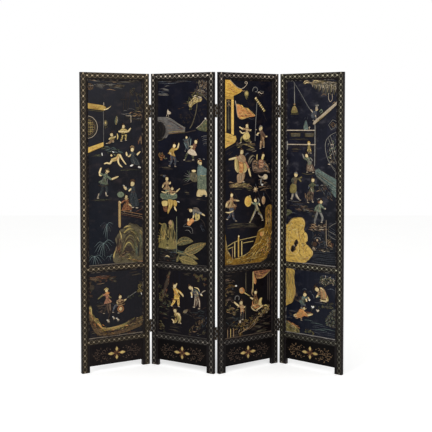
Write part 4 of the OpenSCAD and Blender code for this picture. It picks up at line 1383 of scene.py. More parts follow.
def leaf_2_upper(leaf):
    """The upper panel's buildings, figures and garden."""
    art = Relief(leaf, "upper_buildings")
    eaves = [
        (41, 1562), (118, 1562), (150, 1548), (252, 1494), (252, 1468), (130, 1452), (114, 1430),
        (41, 1420)
    ]
    roof(art, "roof", eaves, [(114, 1560), (150, 1548), (200, 1520), (252, 1494)], 62)
    ridges(
        art, [[(120, 1548), (180, 1520), (246, 1486)], [(110, 1480), (160, 1480), (246, 1480)]], 20,
        ("slate", "umber", "ash", "tan", "roof", "rust"), 4.5, 3.7, 0.3
    )
    art.strokes("umber", [[(124, 1540), (160, 1528), (206, 1504), (240, 1486)]], [3, 6, 6, 3], 3.9)
    art.strokes("straw", [[(124, 1466), (180, 1471), (250, 1476)]], [2, 4, 3], 4.4)
    art.strokes("rust", [[(118, 1458), (170, 1462), (236, 1468)]], [2, 5, 3], 4.0)
    art.strokes("ash", [[(118, 1562), (150, 1549), (200, 1521), (250, 1496)]], [5, 5, 4, 3], 4.4)
    art.strokes(
        "olive", [[(132, 1468), (190, 1474), (252, 1476)], [(130, 1457), (190, 1462), (252, 1465)]], 3.4,
        3.8
    )
    art.patch(
        "ink", [(max(42, u), z) for u, z in ring_path((55, 1478), 60, -100, 200)] + [(42, 1440)], 3.6, 60,
        mesh=6
    )
    art.stroke("stone", [(max(42, u), z) for u, z in ring_path((55, 1478), 64, -95, 190)], 5, 4.2)
    art.stroke("ash", ring_path((55, 1478), 65, -20, 90), [2, 3, 2], 4.6)
    art.stroke("umber", ring_path((55, 1478), 52, -70, 140), 3, 4.4)
    art.strokes(
        "umber", [[(60, 1500), (72, 1480), (66, 1470)], [(88, 1520), (92, 1486), (84, 1450)]], 6, 4.2
    )
    art.patch(
        "bone",
        [(118, 1592), (124, 1612), (131, 1600), (148, 1590), (148, 1580), (128, 1575), (119, 1579)], 3.2
    )
    art.strokes("ash", [[(126, 1588), (138, 1588), (148, 1584)], [(124, 1600), (128, 1594)]], 3.5, 4.0)
    art.strokes("bone", [[(120, 1578), (112, 1564)], [(128, 1576), (130, 1562)]], 5, 2.8)
    green = [
        (330, 1490), (345, 1500), (372, 1522), (398, 1548), (415, 1536), (415, 1486), (400, 1470),
        (352, 1478)
    ]
    roof(art, "moss", green, [(332, 1492), (366, 1516), (398, 1546), (415, 1534)], 40)
    foliage(
        art, ("olive", "jade", "straw"),
        [(356, 1494), (376, 1508), (396, 1524), (372, 1488), (398, 1496), (408, 1480)], 6, 13, 7, 3.6
    )
    art.dome("pearl", (398, 1552), 7, 5, 4.2)
    for k in range(6):
        art.stroke(
            ("ash", "slate")[k % 2],
            [(366 + 4 * k, 1440 - 12 * k), (390, 1446 - 11 * k), (414, 1446 - 11 * k)], [2, 4, 3], 2.0
        )
    art.stroke("umber", [(250, 1465), (330, 1480)], 8, 1.8)
    art.strokes("jade", [[(188, 948), (189, 800), (187, 716)]], [5, 6, 6], 3.2, curved=False)
    art.stroke("straw", [(187, 940), (188, 800), (186, 730)], 2.2, 3.6, curved=False)
    art.hang()

    art = Relief(leaf, "upper_figures")
    # One in grey and teal by the gate
    figure(
        art, (262, 1436), (256, 1400), ((238, 1420), (288, 1440)), ((250, 1352), (276, 1350)), "slate",
        "slate", "teal", 9, arms="slate"
    )
    art.strokes(
        "frond", [[(243, 1406), (256, 1385), (272, 1362)], [(295, 1430), (291, 1404), (286, 1374)]],
        [5, 8, 4], 5.2
    )
    art.stroke("ash", [(270, 1420), (274, 1396), (278, 1372)], [4, 7, 4], 5.0)
    ridges(
        art, [[(226, 1424), (246, 1402), (264, 1378)], [(290, 1444), (284, 1410), (274, 1376)]], 11,
        ("slate", "ash", "teal"), 5, 3.4, 0.85
    )
    figure(
        art, (172, 1384), (154, 1334), ([(136, 1344), (150, 1328)], [(196, 1368), (207, 1402)]),
        ((133, 1258), (176, 1257)), "gilt", "slate", "orange", 14, 2.2, look=1
    )
    art.strokes(
        "ash", [[(186, 1289), (204, 1288)], [(130, 1288), (146, 1284)], [(166, 1274), (184, 1270)]], 4,
        3.2
    )
    foliage(
        art, ("tan", "olive", "rust", "orange"),
        [(66, 1312), (82, 1330), (74, 1300), (94, 1312), (60, 1330)], 7, 14, 8, 2.6
    )
    art.stroke("rust", [(62, 1334), (80, 1318), (98, 1322)], 4, 3.2)
    art.stroke("moss", [(96, 1300), (118, 1306)], 9, 2.0)
    figure(
        art, (331, 1410), (308, 1360), ([(310, 1380), (282, 1382)], (290, 1360)),
        ((248, 1298), (312, 1300)), "rust", "moss", "bone", 14, 1.5, look=-1
    )
    art.patch(
        "bone", [(268, 1344), (284, 1366), (318, 1360), (338, 1328), (314, 1324), (290, 1330)], 4.6, 7
    )
    art.strokes(
        "rust",
        [
            [(290, 1360), (296, 1344), (292, 1334)], [(310, 1358), (318, 1342), (318, 1330)],
            [(276, 1350), (300, 1348), (328, 1338)]
        ],
        [1.4, 2.2, 1.4], 5.2
    )
    figure(
        art, (352, 1288), (370, 1206), ([(344, 1250), (350, 1222)], [(404, 1240), (398, 1216)]),
        ((352, 1084), (398, 1082)), "teal", "teal", "jade", 14, 1.9, gown="teal", arms="teal"
    )
    art.patch(
        "teal", [(344, 1256), (386, 1260), (400, 1240), (404, 1206), (340, 1204), (338, 1236)], 4.6, 8,
        carve=waves(4, 16, 0.7, 3, 60)
    )
    art.patch(
        "sage", [(344, 1206), (400, 1208), (406, 1160), (403, 1120), (343, 1120), (340, 1160)], 4.6, 8,
        carve=waves(4, 13, 0.9, 3, 60)
    )
    ridges(
        art, [[(347, 1200), (345, 1160), (348, 1124)], [(396, 1202), (400, 1160), (398, 1124)]], 13,
        ("jade", "dusk", "teal", "sage", "dusk"), 5, 5.2, 0.6
    )
    ridges(
        art, [[(346, 1250), (344, 1230), (346, 1210)], [(394, 1252), (398, 1230), (398, 1210)]], 9,
        ("ash", "slate", "teal", "bone"), 5, 5.2, 0.6
    )
    face(art, (362, 1280), 13)
    art.stroke("orange", [(352, 1290), (362, 1297), (374, 1292)], [4, 7, 4], 5.8)
    art.strokes(
        "ash",
        [
            [(362, 1262), (374, 1248), (390, 1256)], [(358, 1236), (366, 1226)],
            [(390, 1240), (398, 1228)], [(372, 1180), (376, 1150)], [(386, 1190), (392, 1160)]
        ],
        [2, 4, 2], 5.0
    )
    art.strokes(
        "straw", [[(362, 1209), (382, 1204), (402, 1208)], [(346, 1120), (396, 1122)]], [5, 7, 5], 5.5
    )
    art.patch(
        "cream", [(346, 1120), (396, 1120), (412, 1082), (386, 1090), (366, 1076), (334, 1080)], 4.0, 6
    )
    art.strokes(
        "gilt",
        [
            [(344, 1110), (340, 1086)], [(362, 1116), (362, 1092), (376, 1084)],
            [(380, 1116), (388, 1094)], [(352, 1100), (374, 1096), (400, 1100)]
        ],
        3, 4.8
    )
    art.strokes("hair", [[(358, 1084), (376, 1086)]], 5, 4.8)
    art.strokes("pearl", [[(352, 1308), (362, 1304)], [(380, 1307), (392, 1304)]], 4, 3.4)
    # A cockerel
    art.dome("cream", (314, 1232), 17, 8, 4.4)
    art.patch(
        "stone",
        [(292, 1220), (318, 1226), (340, 1212), (344, 1180), (330, 1164), (300, 1168), (284, 1190)], 3.2,
        carve=waves(10, 10, 0.9)
    )
    ridges(
        art, [[(292, 1218), (298, 1190), (306, 1168)], [(340, 1214), (342, 1190), (334, 1168)]], 15,
        ("ash", "olive", "sage", "dusk", "tan"), 5, 4.2, 0.5
    )
    palm(
        art, ("sage", "ash", "jade"), (300, 1188),
        [(266, 1232), (252, 1216), (240, 1200), (238, 1178), (246, 1166), (264, 1162), (280, 1234)], 0.06,
        5, 3.0
    )
    # Boys about a toy cart
    figure(
        art, (116, 1178), (118, 1120), ([(90, 1140), (82, 1120)], [(136, 1146), (144, 1160)]),
        ((84, 1052), (120, 1050)), "tan", "jade", "cream", 14, 2.2
    )
    art.strokes(
        "rust", [[(120, 1148), (124, 1120), (126, 1092)], [(108, 1140), (104, 1112)]], [3, 6, 4], 5.0
    )
    figure(
        art, (156, 1118), (146, 1090), ([(132, 1100), (112, 1098)], [(184, 1098), (213, 1122)]),
        ((118, 1056), (160, 1060)), "tan", "jade", "rust", 12, 1.4
    )
    art.strokes(
        "cream", [[(76, 1097), (100, 1091), (116, 1093)], [(140, 1086), (160, 1082), (180, 1092)]],
        [8, 11, 7], 4.8
    )
    art.patch(
        "sage", [(70, 1086), (130, 1080), (186, 1090), (190, 1060), (120, 1046), (68, 1056)], 3.0,
        carve=waves(0, 14, 1.0)
    )
    ridges(
        art, [[(72, 1080), (120, 1078), (184, 1084)], [(70, 1060), (120, 1052), (186, 1064)]], 14,
        ("teal", "jade", "dusk", "moss"), 5, 3.8, 0.4
    )
    art.patch("straw", [(78, 1036), (122, 1040), (120, 1010), (84, 1006)], 3.8, carve=waves(20, 9, 0.8))
    art.patch("rust", [(86, 1004), (118, 1008), (118, 974), (96, 972)], 3.2, carve=waves(70, 9, 0.8))
    art.patch(
        "gilt",
        [
            (122, 1048), (142, 1052), (164, 1044), (158, 1010), (140, 982), (124, 958), (118, 974),
            (126, 1010)
        ],
        4.4, carve=waves(10, 12, 1.0)
    )
    art.patch(
        "gilt", [(160, 1042), (178, 1048), (192, 1036), (186, 1008), (168, 1010)], 4.0,
        carve=waves(10, 9, 0.9)
    )
    art.strokes(
        "cream",
        [
            [(130, 1044), (136, 1012), (128, 976)], [(152, 1040), (150, 1012)],
            [(172, 1042), (176, 1018)], [(84, 1030), (104, 1034), (118, 1030)]
        ],
        [2, 4.5, 2], 5.2
    )
    art.strokes(
        "hair",
        [
            [(142, 1048), (144, 1016), (134, 990)], [(164, 1042), (164, 1012)],
            [(122, 1040), (124, 1006)], [(90, 1000), (106, 990)]
        ],
        [2, 4, 2], 5.0
    )
    art.stroke("cream", [(172, 1008), (176, 994), (188, 980)], [13, 13, 9], 3.8)
    art.strokes("pearl", [[(190, 1040), (210, 1036)], [(132, 1062), (148, 1058)]], 7, 3.2)
    art.dome("slate", (98, 1194), 16, 8, 2.6)
    figure(
        art, (291, 990), (340, 984), ([(314, 962), (306, 940)], [(372, 972), (394, 962)]),
        ([(346, 944), (320, 928)], (330, 930)), "ash", "straw", "jade", 14, 1.2, look=-1
    )
    ridges(
        art, [[(308, 1010), (340, 1008), (366, 984)], [(312, 974), (334, 978), (354, 966)]], 10,
        ("bone", "ash", "slate", "tan"), 5, 4.9, 0.85
    )
    art.patch(
        "orange", [(264, 902), (272, 930), (286, 934), (300, 944), (318, 930), (302, 908), (284, 894)],
        3.6
    )
    art.strokes(
        "rust", [[(280, 902), (290, 920), (296, 938)], [(292, 900), (304, 914), (310, 932)]], 3, 4.4
    )
    art.patch("cream", [(266, 926), (274, 942), (284, 932), (276, 920)], 4.4)
    art.strokes(
        "ash",
        [
            [(236, 886), (282, 888), (302, 874), (306, 846)], [(248, 864), (276, 866), (296, 846)],
            [(258, 906), (238, 892)]
        ],
        [3, 5, 4, 3], 2.6
    )
    art.hang()

    art = Relief(leaf, "upper_garden")
    streaks(art, (43, 1764), (300, 1786), 16, 90, ("roof", "umber", "slate"), 6)
    streaks(art, (43, 1690), (140, 1760), 18, 56, ("roof", "slate", "ash", "umber"), 6)
    streaks(art, (190, 1560), (412, 1720), 16, 30, ("umber", "hair"), 6)
    earth(art, [(54, 1240, 140), (230, 1288, 110), (50, 1198, 80), (330, 1060, 80), (240, 1092, 60)])
    foliage(
        art, ("tan", "bone", "ash", "roof"),
        [
            (352, 1772), (378, 1778), (402, 1766), (362, 1748), (388, 1744), (408, 1728), (352, 1722),
            (378, 1714)
        ],
        7, 16, 9, 2.0
    )
    tangle(
        art, [(348, 1786), (380, 1768), (406, 1730)], 24, 60, 15,
        ("vine", "stone", "roof", "tan", "umber"), 5, 2.8, 60
    )
    tangle(
        art, [(330, 1712), (368, 1706), (400, 1700)], 16, 26, 15, ("roof", "umber", "vine", "hair"), 5,
        2.2, 60
    )
    art.strokes(
        "vine",
        [
            [(286, 1640), (306, 1660), (326, 1674)], [(338, 1668), (362, 1668)],
            [(296, 1628), (312, 1644), (330, 1652)]
        ],
        [3, 5, 3], 5.2
    )
    art.strokes(
        "hair",
        [
            [(302, 1672), (309, 1656), (306, 1642)], [(330, 1686), (334, 1670), (328, 1658)],
            [(352, 1678), (350, 1662), (354, 1652)]
        ],
        [2, 4, 2], 5.4
    )
    art.strokes(
        "bone", [[(344, 1684), (360, 1680), (374, 1672)], [(312, 1682), (324, 1690), (336, 1688)]],
        [5, 8, 4], 4.6
    )
    foliage(
        art, ("roof", "vine", "umber"),
        [(366, 1730), (392, 1700), (340, 1740), (404, 1690), (330, 1720), (350, 1700), (374, 1690)], 7,
        17, 8, 1.6
    )
    art.strokes("stone", [[(412, 1660), (372, 1700), (352, 1752), (350, 1790)]], [9, 8, 6, 4], 2.2)
    art.patch(
        "straw",
        [
            (278, 1626), (290, 1656), (322, 1684), (350, 1674), (374, 1670), (366, 1654), (340, 1648),
            (314, 1636), (292, 1618)
        ],
        2.6, 8
    )
    foliage(
        art, ("cream", "bone", "cream", "tan"),
        [(288, 1640), (300, 1656), (318, 1666), (336, 1664), (356, 1664)], 9, 17, 8, 3.6
    )
    foliage(
        art, ("olive", "moss", "olive"),
        [
            (284, 1672), (306, 1690), (360, 1690), (340, 1700), (316, 1704), (290, 1612), (332, 1690),
            (270, 1650)
        ],
        7, 15
    )
    art.strokes(
        "stone", [[(338, 1648), (334, 1612), (322, 1566), (302, 1516), (284, 1490)]], [7, 8, 7, 8, 7], 2.6
    )
    art.strokes(
        "umber", [[(330, 1590), (350, 1560), (356, 1520)], [(318, 1560), (296, 1580), (280, 1600)]],
        [4, 4, 2], 1.8
    )
    foliage(
        art, "umber",
        [(220, 1560), (262, 1556), (276, 1530), (240, 1530), (286, 1560), (356, 1600), (372, 1580)], 6,
        15, 6, 1.4
    )
    art.strokes(
        "umber", [[(232, 1142), (260, 1150), (310, 1166)], [(360, 944), (384, 920), (396, 890)]],
        [4, 6, 3], 1.4
    )
    art.strokes(
        "slate", [spiral((364 + 6 * k, 896 - 7 * k), 10, 60 * k, 300) for k in range(4)], 2.6, 1.6
    )
    # A hollow stump
    stump = [
        (52, 744), (55, 770), (50, 796), (62, 826), (66, 860), (78, 890), (94, 902), (110, 896),
        (117, 876), (124, 862), (130, 896), (142, 920), (156, 922), (168, 900), (170, 868), (181, 838),
        (178, 812), (186, 790), (184, 744)
    ]
    art.patch("olive", stump, 3.2, 12, carve=waves(8, 17, 1.2, 5, 60), mesh=4.5)
    ridges(
        art,
        [
            [(80, 890), (66, 820), (58, 750)], [(96, 894), (96, 820), (88, 750)],
            [(110, 880), (122, 800), (130, 750)]
        ],
        26, ("olive", "straw", "umber", "stone", "moss", "umber", "hair"), 5.5, 4.2, 0.32
    )
    ridges(
        art,
        [
            [(136, 900), (116, 830), (112, 750)], [(150, 916), (148, 840), (152, 750)],
            [(162, 890), (174, 820), (182, 750)]
        ],
        30, ("olive", "straw", "umber", "tan", "moss", "hair"), 5.5, 4.2, 0.32
    )
    streaks(art, (60, 752), (184, 880), 22, 20, ("umber", "olive", "hair", "straw"), 5)
    art.patch("tan", [(126, 904), (142, 924), (156, 908), (150, 890), (132, 892)], 4.4)
    art.strokes(
        "straw",
        [
            [(132, 890), (144, 872), (152, 888)], [(108, 842), (118, 822), (132, 812)],
            [(56, 900), (74, 892), (92, 896)]
        ],
        [3, 6, 3], 4.9
    )
    art.strokes(
        "ink",
        [
            [(110, 880), (112, 840), (104, 800)], [(70, 880), (66, 820), (72, 770)],
            [(158, 880), (160, 830), (152, 780)], [(134, 870), (136, 830), (130, 790)]
        ],
        [2, 6, 2], 4.7
    )
    palm(
        art, ("olive", "gilt", "straw"), (96, 800), fan_tips((90, 800), (46, 74), 60, 200, 9), 0.1, 5, 4.6
    )
    for u, z, wide, tall in ((120, 766, 9, 5), (126, 804, 5, 8), (88, 834, 4, 7)):
        art.dome("ink", (u, z), wide, tall, 4.8, -30)
    art.patch(
        "ink",
        [
            (46, 744), (110, 746), (182, 744), (188, 716), (180, 690), (186, 670), (150, 660), (120, 668),
            (80, 660), (48, 668), (54, 700)
        ],
        1.8, 10, carve=waves(70, 20, 0.8, 6, 50)
    )
    tangle(
        art, [(60, 732), (110, 728), (176, 730)], 10, 30, 26, ("dusk", "umber", "slate", "moss", "ink"),
        6, 3.0, 16
    )
    tangle(
        art, [(64, 692), (110, 684), (172, 690)], 22, 44, 26, ("umber", "ink", "dusk", "hair", "umber"),
        7, 3.0, 25
    )
    art.strokes(
        "ink",
        [
            [(119, 886), (117, 840), (122, 776)], [(168, 862), (167, 826), (172, 790)],
            [(84, 868), (88, 836), (86, 806)]
        ],
        [4, 9, 4], 5.2
    )
    art.strokes(
        "cream", [[(102, 690), (118, 697), (136, 690)], [(110, 752), (122, 746), (136, 750)]], [4, 8, 4],
        4.2
    )
    art.dome("ink", (120, 680), 10, 4, 4.2)
    # Broad garden leaves
    greens = ("olive", "straw", "tan", "olive")
    long_leaf(art, "moss", (186, 772), (312, 800), 52, 14, greens)
    long_leaf(art, "stone", (190, 722), (262, 704), 20, 4, ("moss", "jade"))
    long_leaf(art, "moss", (232, 716), (404, 796), 60, 0, ("olive", "straw", "orange", "straw"))
    long_leaf(art, "moss", (262, 718), (346, 692), 26, 0, greens)
    long_leaf(art, "olive", (204, 690), (342, 664), 60, -4, greens)
    long_leaf(art, "moss", (190, 664), (206, 712), 22, 0, ("jade", "olive"))
    art.strokes(
        "jade",
        [
            [(186, 742), (220, 732), (250, 734)], [(190, 734), (226, 722), (254, 718)],
            [(252, 740), (262, 728), (280, 724)]
        ],
        [3, 5, 3], 4.0
    )
    art.hang()


def leaf_2_lower(leaf):
    """The lower panel's scene."""
    art = Relief(leaf, "lower_scene")
    art.strokes(
        "umber", [[(138, 604), (124, 566), (108, 520), (92, 470), (80, 428)]], [18, 20, 22, 20, 14], 2.0
    )
    tangle(
        art, [(137, 600), (114, 530), (84, 436)], 13, 34, 26, ("stone", "rust", "vine", "hair", "olive"),
        5, 2.8, 14
    )
    foliage(
        art, ("moss", "olive", "sage", "umber"),
        [(78, 460), (112, 452), (70, 420), (96, 398), (126, 386), (60, 500), (140, 398)], 7, 18, 7, 2.0
    )
    tangle(art, [(60, 470), (90, 440), (130, 400)], 26, 20, 24, ("stone", "umber", "olive"), 5, 1.8, 40)
    foliage(art, ("olive", "stone"), [(330, 582), (360, 590), (378, 574), (348, 566)], 7, 15, 8, 2)
    earth(art, [(230, 594, 90), (130, 258, 120), (110, 232, 120), (60, 330, 80)])
    figure(
        art, (172, 512), (188, 452), ([(166, 494), (190, 532)], [(222, 470), (238, 452)]),
        ([(164, 412), (146, 386)], [(198, 412), (200, 388)]), "amber", "gold", "straw", 15, 1.6
    )
    art.strokes(
        "amber", [[(186, 482), (190, 462), (184, 444)], [(172, 478), (170, 458)]], [6, 11, 6], 4.7
    )
    art.strokes(
        "orange",
        [[(168, 486), (180, 470), (186, 450)], [(158, 424), (162, 404)], [(198, 424), (200, 404)]],
        [5, 9, 5], 4.8
    )
    art.strokes(
        "cream",
        [
            [(176, 492), (190, 486), (198, 470)], [(172, 468), (178, 452)], [(164, 420), (156, 402)],
            [(198, 414), (202, 396)], [(206, 484), (222, 468), (236, 454)]
        ],
        [5, 9, 5], 5.0
    )
    art.strokes(
        "hair", [[(166, 470), (180, 460)], [(190, 466), (204, 456)], [(176, 436), (180, 420)]], [3, 5],
        5.1
    )
    art.strokes("rust", [[(150, 432), (176, 426), (204, 430)], [(170, 500), (180, 494)]], [4, 7, 4], 4.9)
    figure(
        art, (288, 514), (330, 470), ([(294, 486), (300, 460)], [(362, 480), (376, 470)]),
        ([(330, 436), (318, 396)], [(350, 432), (354, 390)]), "slate", "vine", "cream", 15, 1.4, look=-1
    )
    art.strokes(
        "bone", [[(322, 458), (320, 430), (316, 402)], [(346, 456), (354, 430), (356, 400)]], [4, 7, 6],
        3.8
    )
    art.strokes(
        "cream",
        [
            [(296, 526), (304, 506), (300, 488)], [(316, 518), (344, 512), (356, 494)],
            [(326, 498), (340, 486), (344, 474)]
        ],
        [4, 8, 4], 5.0
    )
    art.strokes(
        "jade",
        [[(320, 506), (336, 500), (344, 486)], [(310, 494), (324, 484)], [(334, 474), (348, 466)]],
        [4, 7, 4], 4.9
    )
    art.strokes(
        "bone",
        [
            [(330, 452), (338, 430), (334, 404)], [(360, 478), (384, 500), (400, 506)],
            [(350, 440), (354, 416)]
        ],
        [4, 7, 3], 4.2
    )
    art.strokes(
        "ink", [[(312, 506), (322, 494)], [(330, 512), (338, 502)], [(344, 450), (344, 420)]], [4, 3], 5.2
    )
    art.dome("pearl", (368, 478), 6, 6, 5)
    art.dome("pearl", (299, 458), 6, 7, 5)
    figure(
        art, (174, 358), (190, 314), ([(212, 326), (196, 340)], (182, 334)), ((160, 282), (212, 284)),
        "straw", "straw", "orange", 15, 1.5
    )
    art.patch(
        "olive", [(194, 334), (214, 332), (222, 304), (208, 286), (194, 300)], 4.6,
        carve=waves(10, 9, 0.8)
    )
    art.strokes("straw", [[(200, 330), (212, 318), (214, 300)]], [4, 8, 4], 5.1)
    art.strokes(
        "cream",
        [
            [(150, 304), (162, 294), (168, 278)], [(212, 336), (216, 312), (198, 282)],
            [(184, 345), (200, 343), (214, 338)]
        ],
        [6, 10, 7], 5.4
    )
    art.strokes(
        "ink", [[(180, 340), (186, 318), (184, 300)], [(166, 322), (176, 318), (190, 322)]], [4, 8, 5],
        5.2
    )
    art.strokes(
        "hair",
        [
            [(206, 326), (204, 306), (210, 292)], [(160, 336), (170, 344), (168, 352)],
            [(180, 322), (184, 304)]
        ],
        3, 5.0
    )
    long_leaf(art, "stone", (236, 352), (270, 374), 18, 0, ("ash", "bone"))
    tangle(
        art, [(270, 232), (320, 266), (376, 322)], 22, 46, 20,
        ("tan", "stone", "vine", "umber", "olive", "hair"), 5, 2.8, 40
    )
    tangle(
        art, [(330, 240), (376, 270), (404, 330)], 26, 40, 26, ("umber", "dusk", "slate", "stone"), 6,
        2.0, 40
    )
    tangle(art, [(230, 380), (300, 356), (390, 370)], 26, 26, 40, ("umber", "dusk", "hair"), 6, 1.6, 25)
    ridges(
        art, [[(48, 286), (76, 280), (104, 244)], [(48, 230), (70, 224), (108, 218)]], 22,
        ("olive", "stone", "moss", "umber", "hair"), 5, 3.2, 0.35
    )
    streaks(art, (44, 300), (200, 420), 20, 44, ("umber", "hair", "moss"), 6)
    foliage(
        art, ("olive", "stone", "rust"), [(320, 596), (344, 580), (372, 590), (396, 576), (390, 540)], 6,
        15, 8, 2.2
    )
    art.hang()


# ---------------------------------------------------------------- leaf 3


def leaf_3_upper(leaf):
    """The upper panel's buildings, figures and garden."""
    art = Relief(leaf, "upper_buildings")
    eaves = [
        (41, 1788), (78, 1788), (100, 1770), (118, 1752), (150, 1734), (178, 1730), (170, 1714),
        (148, 1704), (122, 1694), (110, 1686), (41, 1686)
    ]
    roof(
        art, "amber", eaves,
        [(78, 1790), (108, 1764), (140, 1741), (166, 1733), (192, 1742), (208, 1758), (213, 1774)], 78,
        3.0, 10
    )
    ridges(
        art,
        [
            [(44, 1784), (80, 1776), (112, 1750), (160, 1726)],
            [(44, 1740), (84, 1734), (120, 1712), (160, 1712)],
            [(44, 1698), (90, 1696), (120, 1698), (150, 1708)]
        ],
        24, ("amber", "orange", "gold", "amber"), 6, 3.9
    )
    art.strokes(
        "gold",
        [
            [(41, 1694), (112, 1692), (150, 1706), (176, 1722)],
            [(80, 1784), (108, 1758), (140, 1736), (168, 1728)]
        ],
        4, 4.4
    )
    art.stroke("bone", spiral((203, 1768), 13, 330, 300), 5, 3.4)
    art.stroke("tan", [(168, 1728), (188, 1718), (196, 1726)], [4, 6, 3], 2.6)
    art.patch("amber", [(41, 1690), (113, 1690), (113, 1666), (41, 1666)], 3.2, 5, curved=False)
    art.strokes("umber", [[(44, 1682), (110, 1680)]], 2, 4.0)
    art.patch("gold", [(41, 1668), (57, 1668), (57, 1466), (41, 1470)], 3.0, 5, curved=False)
    art.stroke("gold", [(48, 1660), (48, 1474)], 5, 3.9, curved=False)
    art.patch("gold", [(92, 1668), (113, 1668), (114, 1448), (92, 1456)], 3.4, 6, curved=False)
    art.strokes("gold", [[(96, 1664), (96, 1460)], [(109, 1664), (110, 1452)]], 5, 4.1, curved=False)
    art.stroke("tan", [(103, 1660), (103, 1460)], 3, 4.2, curved=False)
    art.patch("ink", [(57, 1668), (92, 1668), (92, 1456), (57, 1466)], 1.4, 8, curved=False)
    art.strokes("stone", [[(76, 1660), (74, 1600), (76, 1484)]], [12, 6, 12], 2.6)
    art.strokes(
        "tan", [[(60, 1650), (74, 1660), (90, 1650)], [(64, 1622), (76, 1640), (88, 1622)]], 5, 3.2
    )
    art.strokes("olive", [[(62, 1600), (62, 1490)], [(88, 1600), (88, 1490)]], 2.4, 2.4)
    base = [
        (41, 1470), (92, 1457), (112, 1447), (128, 1448), (134, 1426), (124, 1406), (92, 1390),
        (60, 1376), (41, 1366)
    ]
    art.patch("gold", base, 3.4, 8, curved=False, carve=waves(70, 13, 0.6))
    ridges(
        art,
        [
            [(44, 1462), (90, 1448), (126, 1440)], [(44, 1424), (80, 1412), (124, 1414)],
            [(44, 1376), (70, 1388), (112, 1402)]
        ],
        18, ("gold", "orange", "amber", "olive"), 5, 4.2
    )
    art.strokes(
        "umber",
        [[(41, 1352), (100, 1380), (150, 1396)], [(60, 1336), (90, 1352)], [(76, 1330), (104, 1350)]],
        [6, 5, 3], 1.8
    )
    # Lantern, flag and flagpole
    art.dome("olive", (209, 1703), 18, 20, 3.2)
    art.dome("straw", (209, 1705), 12, 13, 4.2)
    art.strokes(
        "olive", [[(210, 1684), (211, 1666)], [(204, 1686), (202, 1674)], [(216, 1686), (219, 1676)]],
        [7, 4], 2.6
    )
    art.strokes("umber", [[(212, 1660), (220, 1650), (232, 1638)], [(208, 1730), (208, 1742)]], 3, 1.8)
    flag = [
        (132, 1640), (160, 1634), (184, 1618), (206, 1615), (234, 1603), (258, 1585), (278, 1569),
        (258, 1561), (228, 1560), (206, 1554), (180, 1547), (156, 1549), (143, 1562), (134, 1600)
    ]
    art.patch("orange", flag, 3.2, 9, carve=waves(35, 26, 1.4))
    folds = [
        [(138, 1634), (170, 1620), (206, 1610), (264, 1580)],
        [(140, 1598), (166, 1588), (204, 1582), (268, 1570)],
        [(146, 1566), (180, 1554), (212, 1562), (262, 1566)]
    ]
    ridges(art, folds, 20, ("orange", "gilt", "straw", "orange", "rust"), 6, 4.1, 0.6)
    art.strokes(
        "straw",
        [
            [(134, 1640), (162, 1633), (186, 1618), (210, 1613), (240, 1598), (276, 1570)],
            [(148, 1560), (158, 1550), (182, 1549), (208, 1556), (232, 1561)]
        ],
        [3, 5, 3], 4.6
    )
    art.strokes(
        "gold",
        [
            [(160, 1632), (172, 1630), (184, 1618)], [(206, 1616), (220, 1610), (232, 1600)],
            [(158, 1560), (176, 1556), (190, 1562)]
        ],
        [4, 9, 5], 4.8
    )
    art.stroke("bone", [(124, 1660), (131, 1628), (136, 1590), (144, 1558)], [8, 6, 5, 5], 3.4)
    art.stroke("slate", [(224, 1554), (248, 1547), (270, 1550)], 4, 2.2)
    art.stroke("ash", spiral((280, 1726), 24, 200, -330, 0.35), 6, 2.4)
    art.stroke("slate", spiral((282, 1726), 15, 180, -300, 0.5), 3, 2.4)
    art.stroke("bone", [(298, 1708), (306, 1716), (322, 1706), (342, 1712)], [8, 6, 6, 3], 2.8)
    art.strokes("ash", [[(314, 1722), (346, 1718)], [(304, 1700), (318, 1694)]], 3, 1.6)
    for k in range(8):
        art.dome("straw" if k % 2 else "cream", (280 + 9.4 * k, 1676 - 10.8 * k), 7.0, 9.5, 3.8, -49)
        art.stroke(
            "ink", [(291.5 + 9.4 * k, 1677.5 - 10.8 * k), (278 + 9.4 * k, 1664 - 10.8 * k)], 3, 4.4
        )
    art.strokes("umber", [[(282, 1690), (352, 1612)], [(268, 1666), (336, 1586)]], 2, 2.6)
    art.stroke("ash", [(290, 1652), (287, 1600), (281, 1530), (276, 1412)], [6, 6, 6, 5], 2.6)
    art.strokes(
        "umber", [[(346, 1596), (350, 1566), (370, 1534)], [(340, 1590), (338, 1570)]], [4, 3, 2], 1.6
    )
    art.hang()

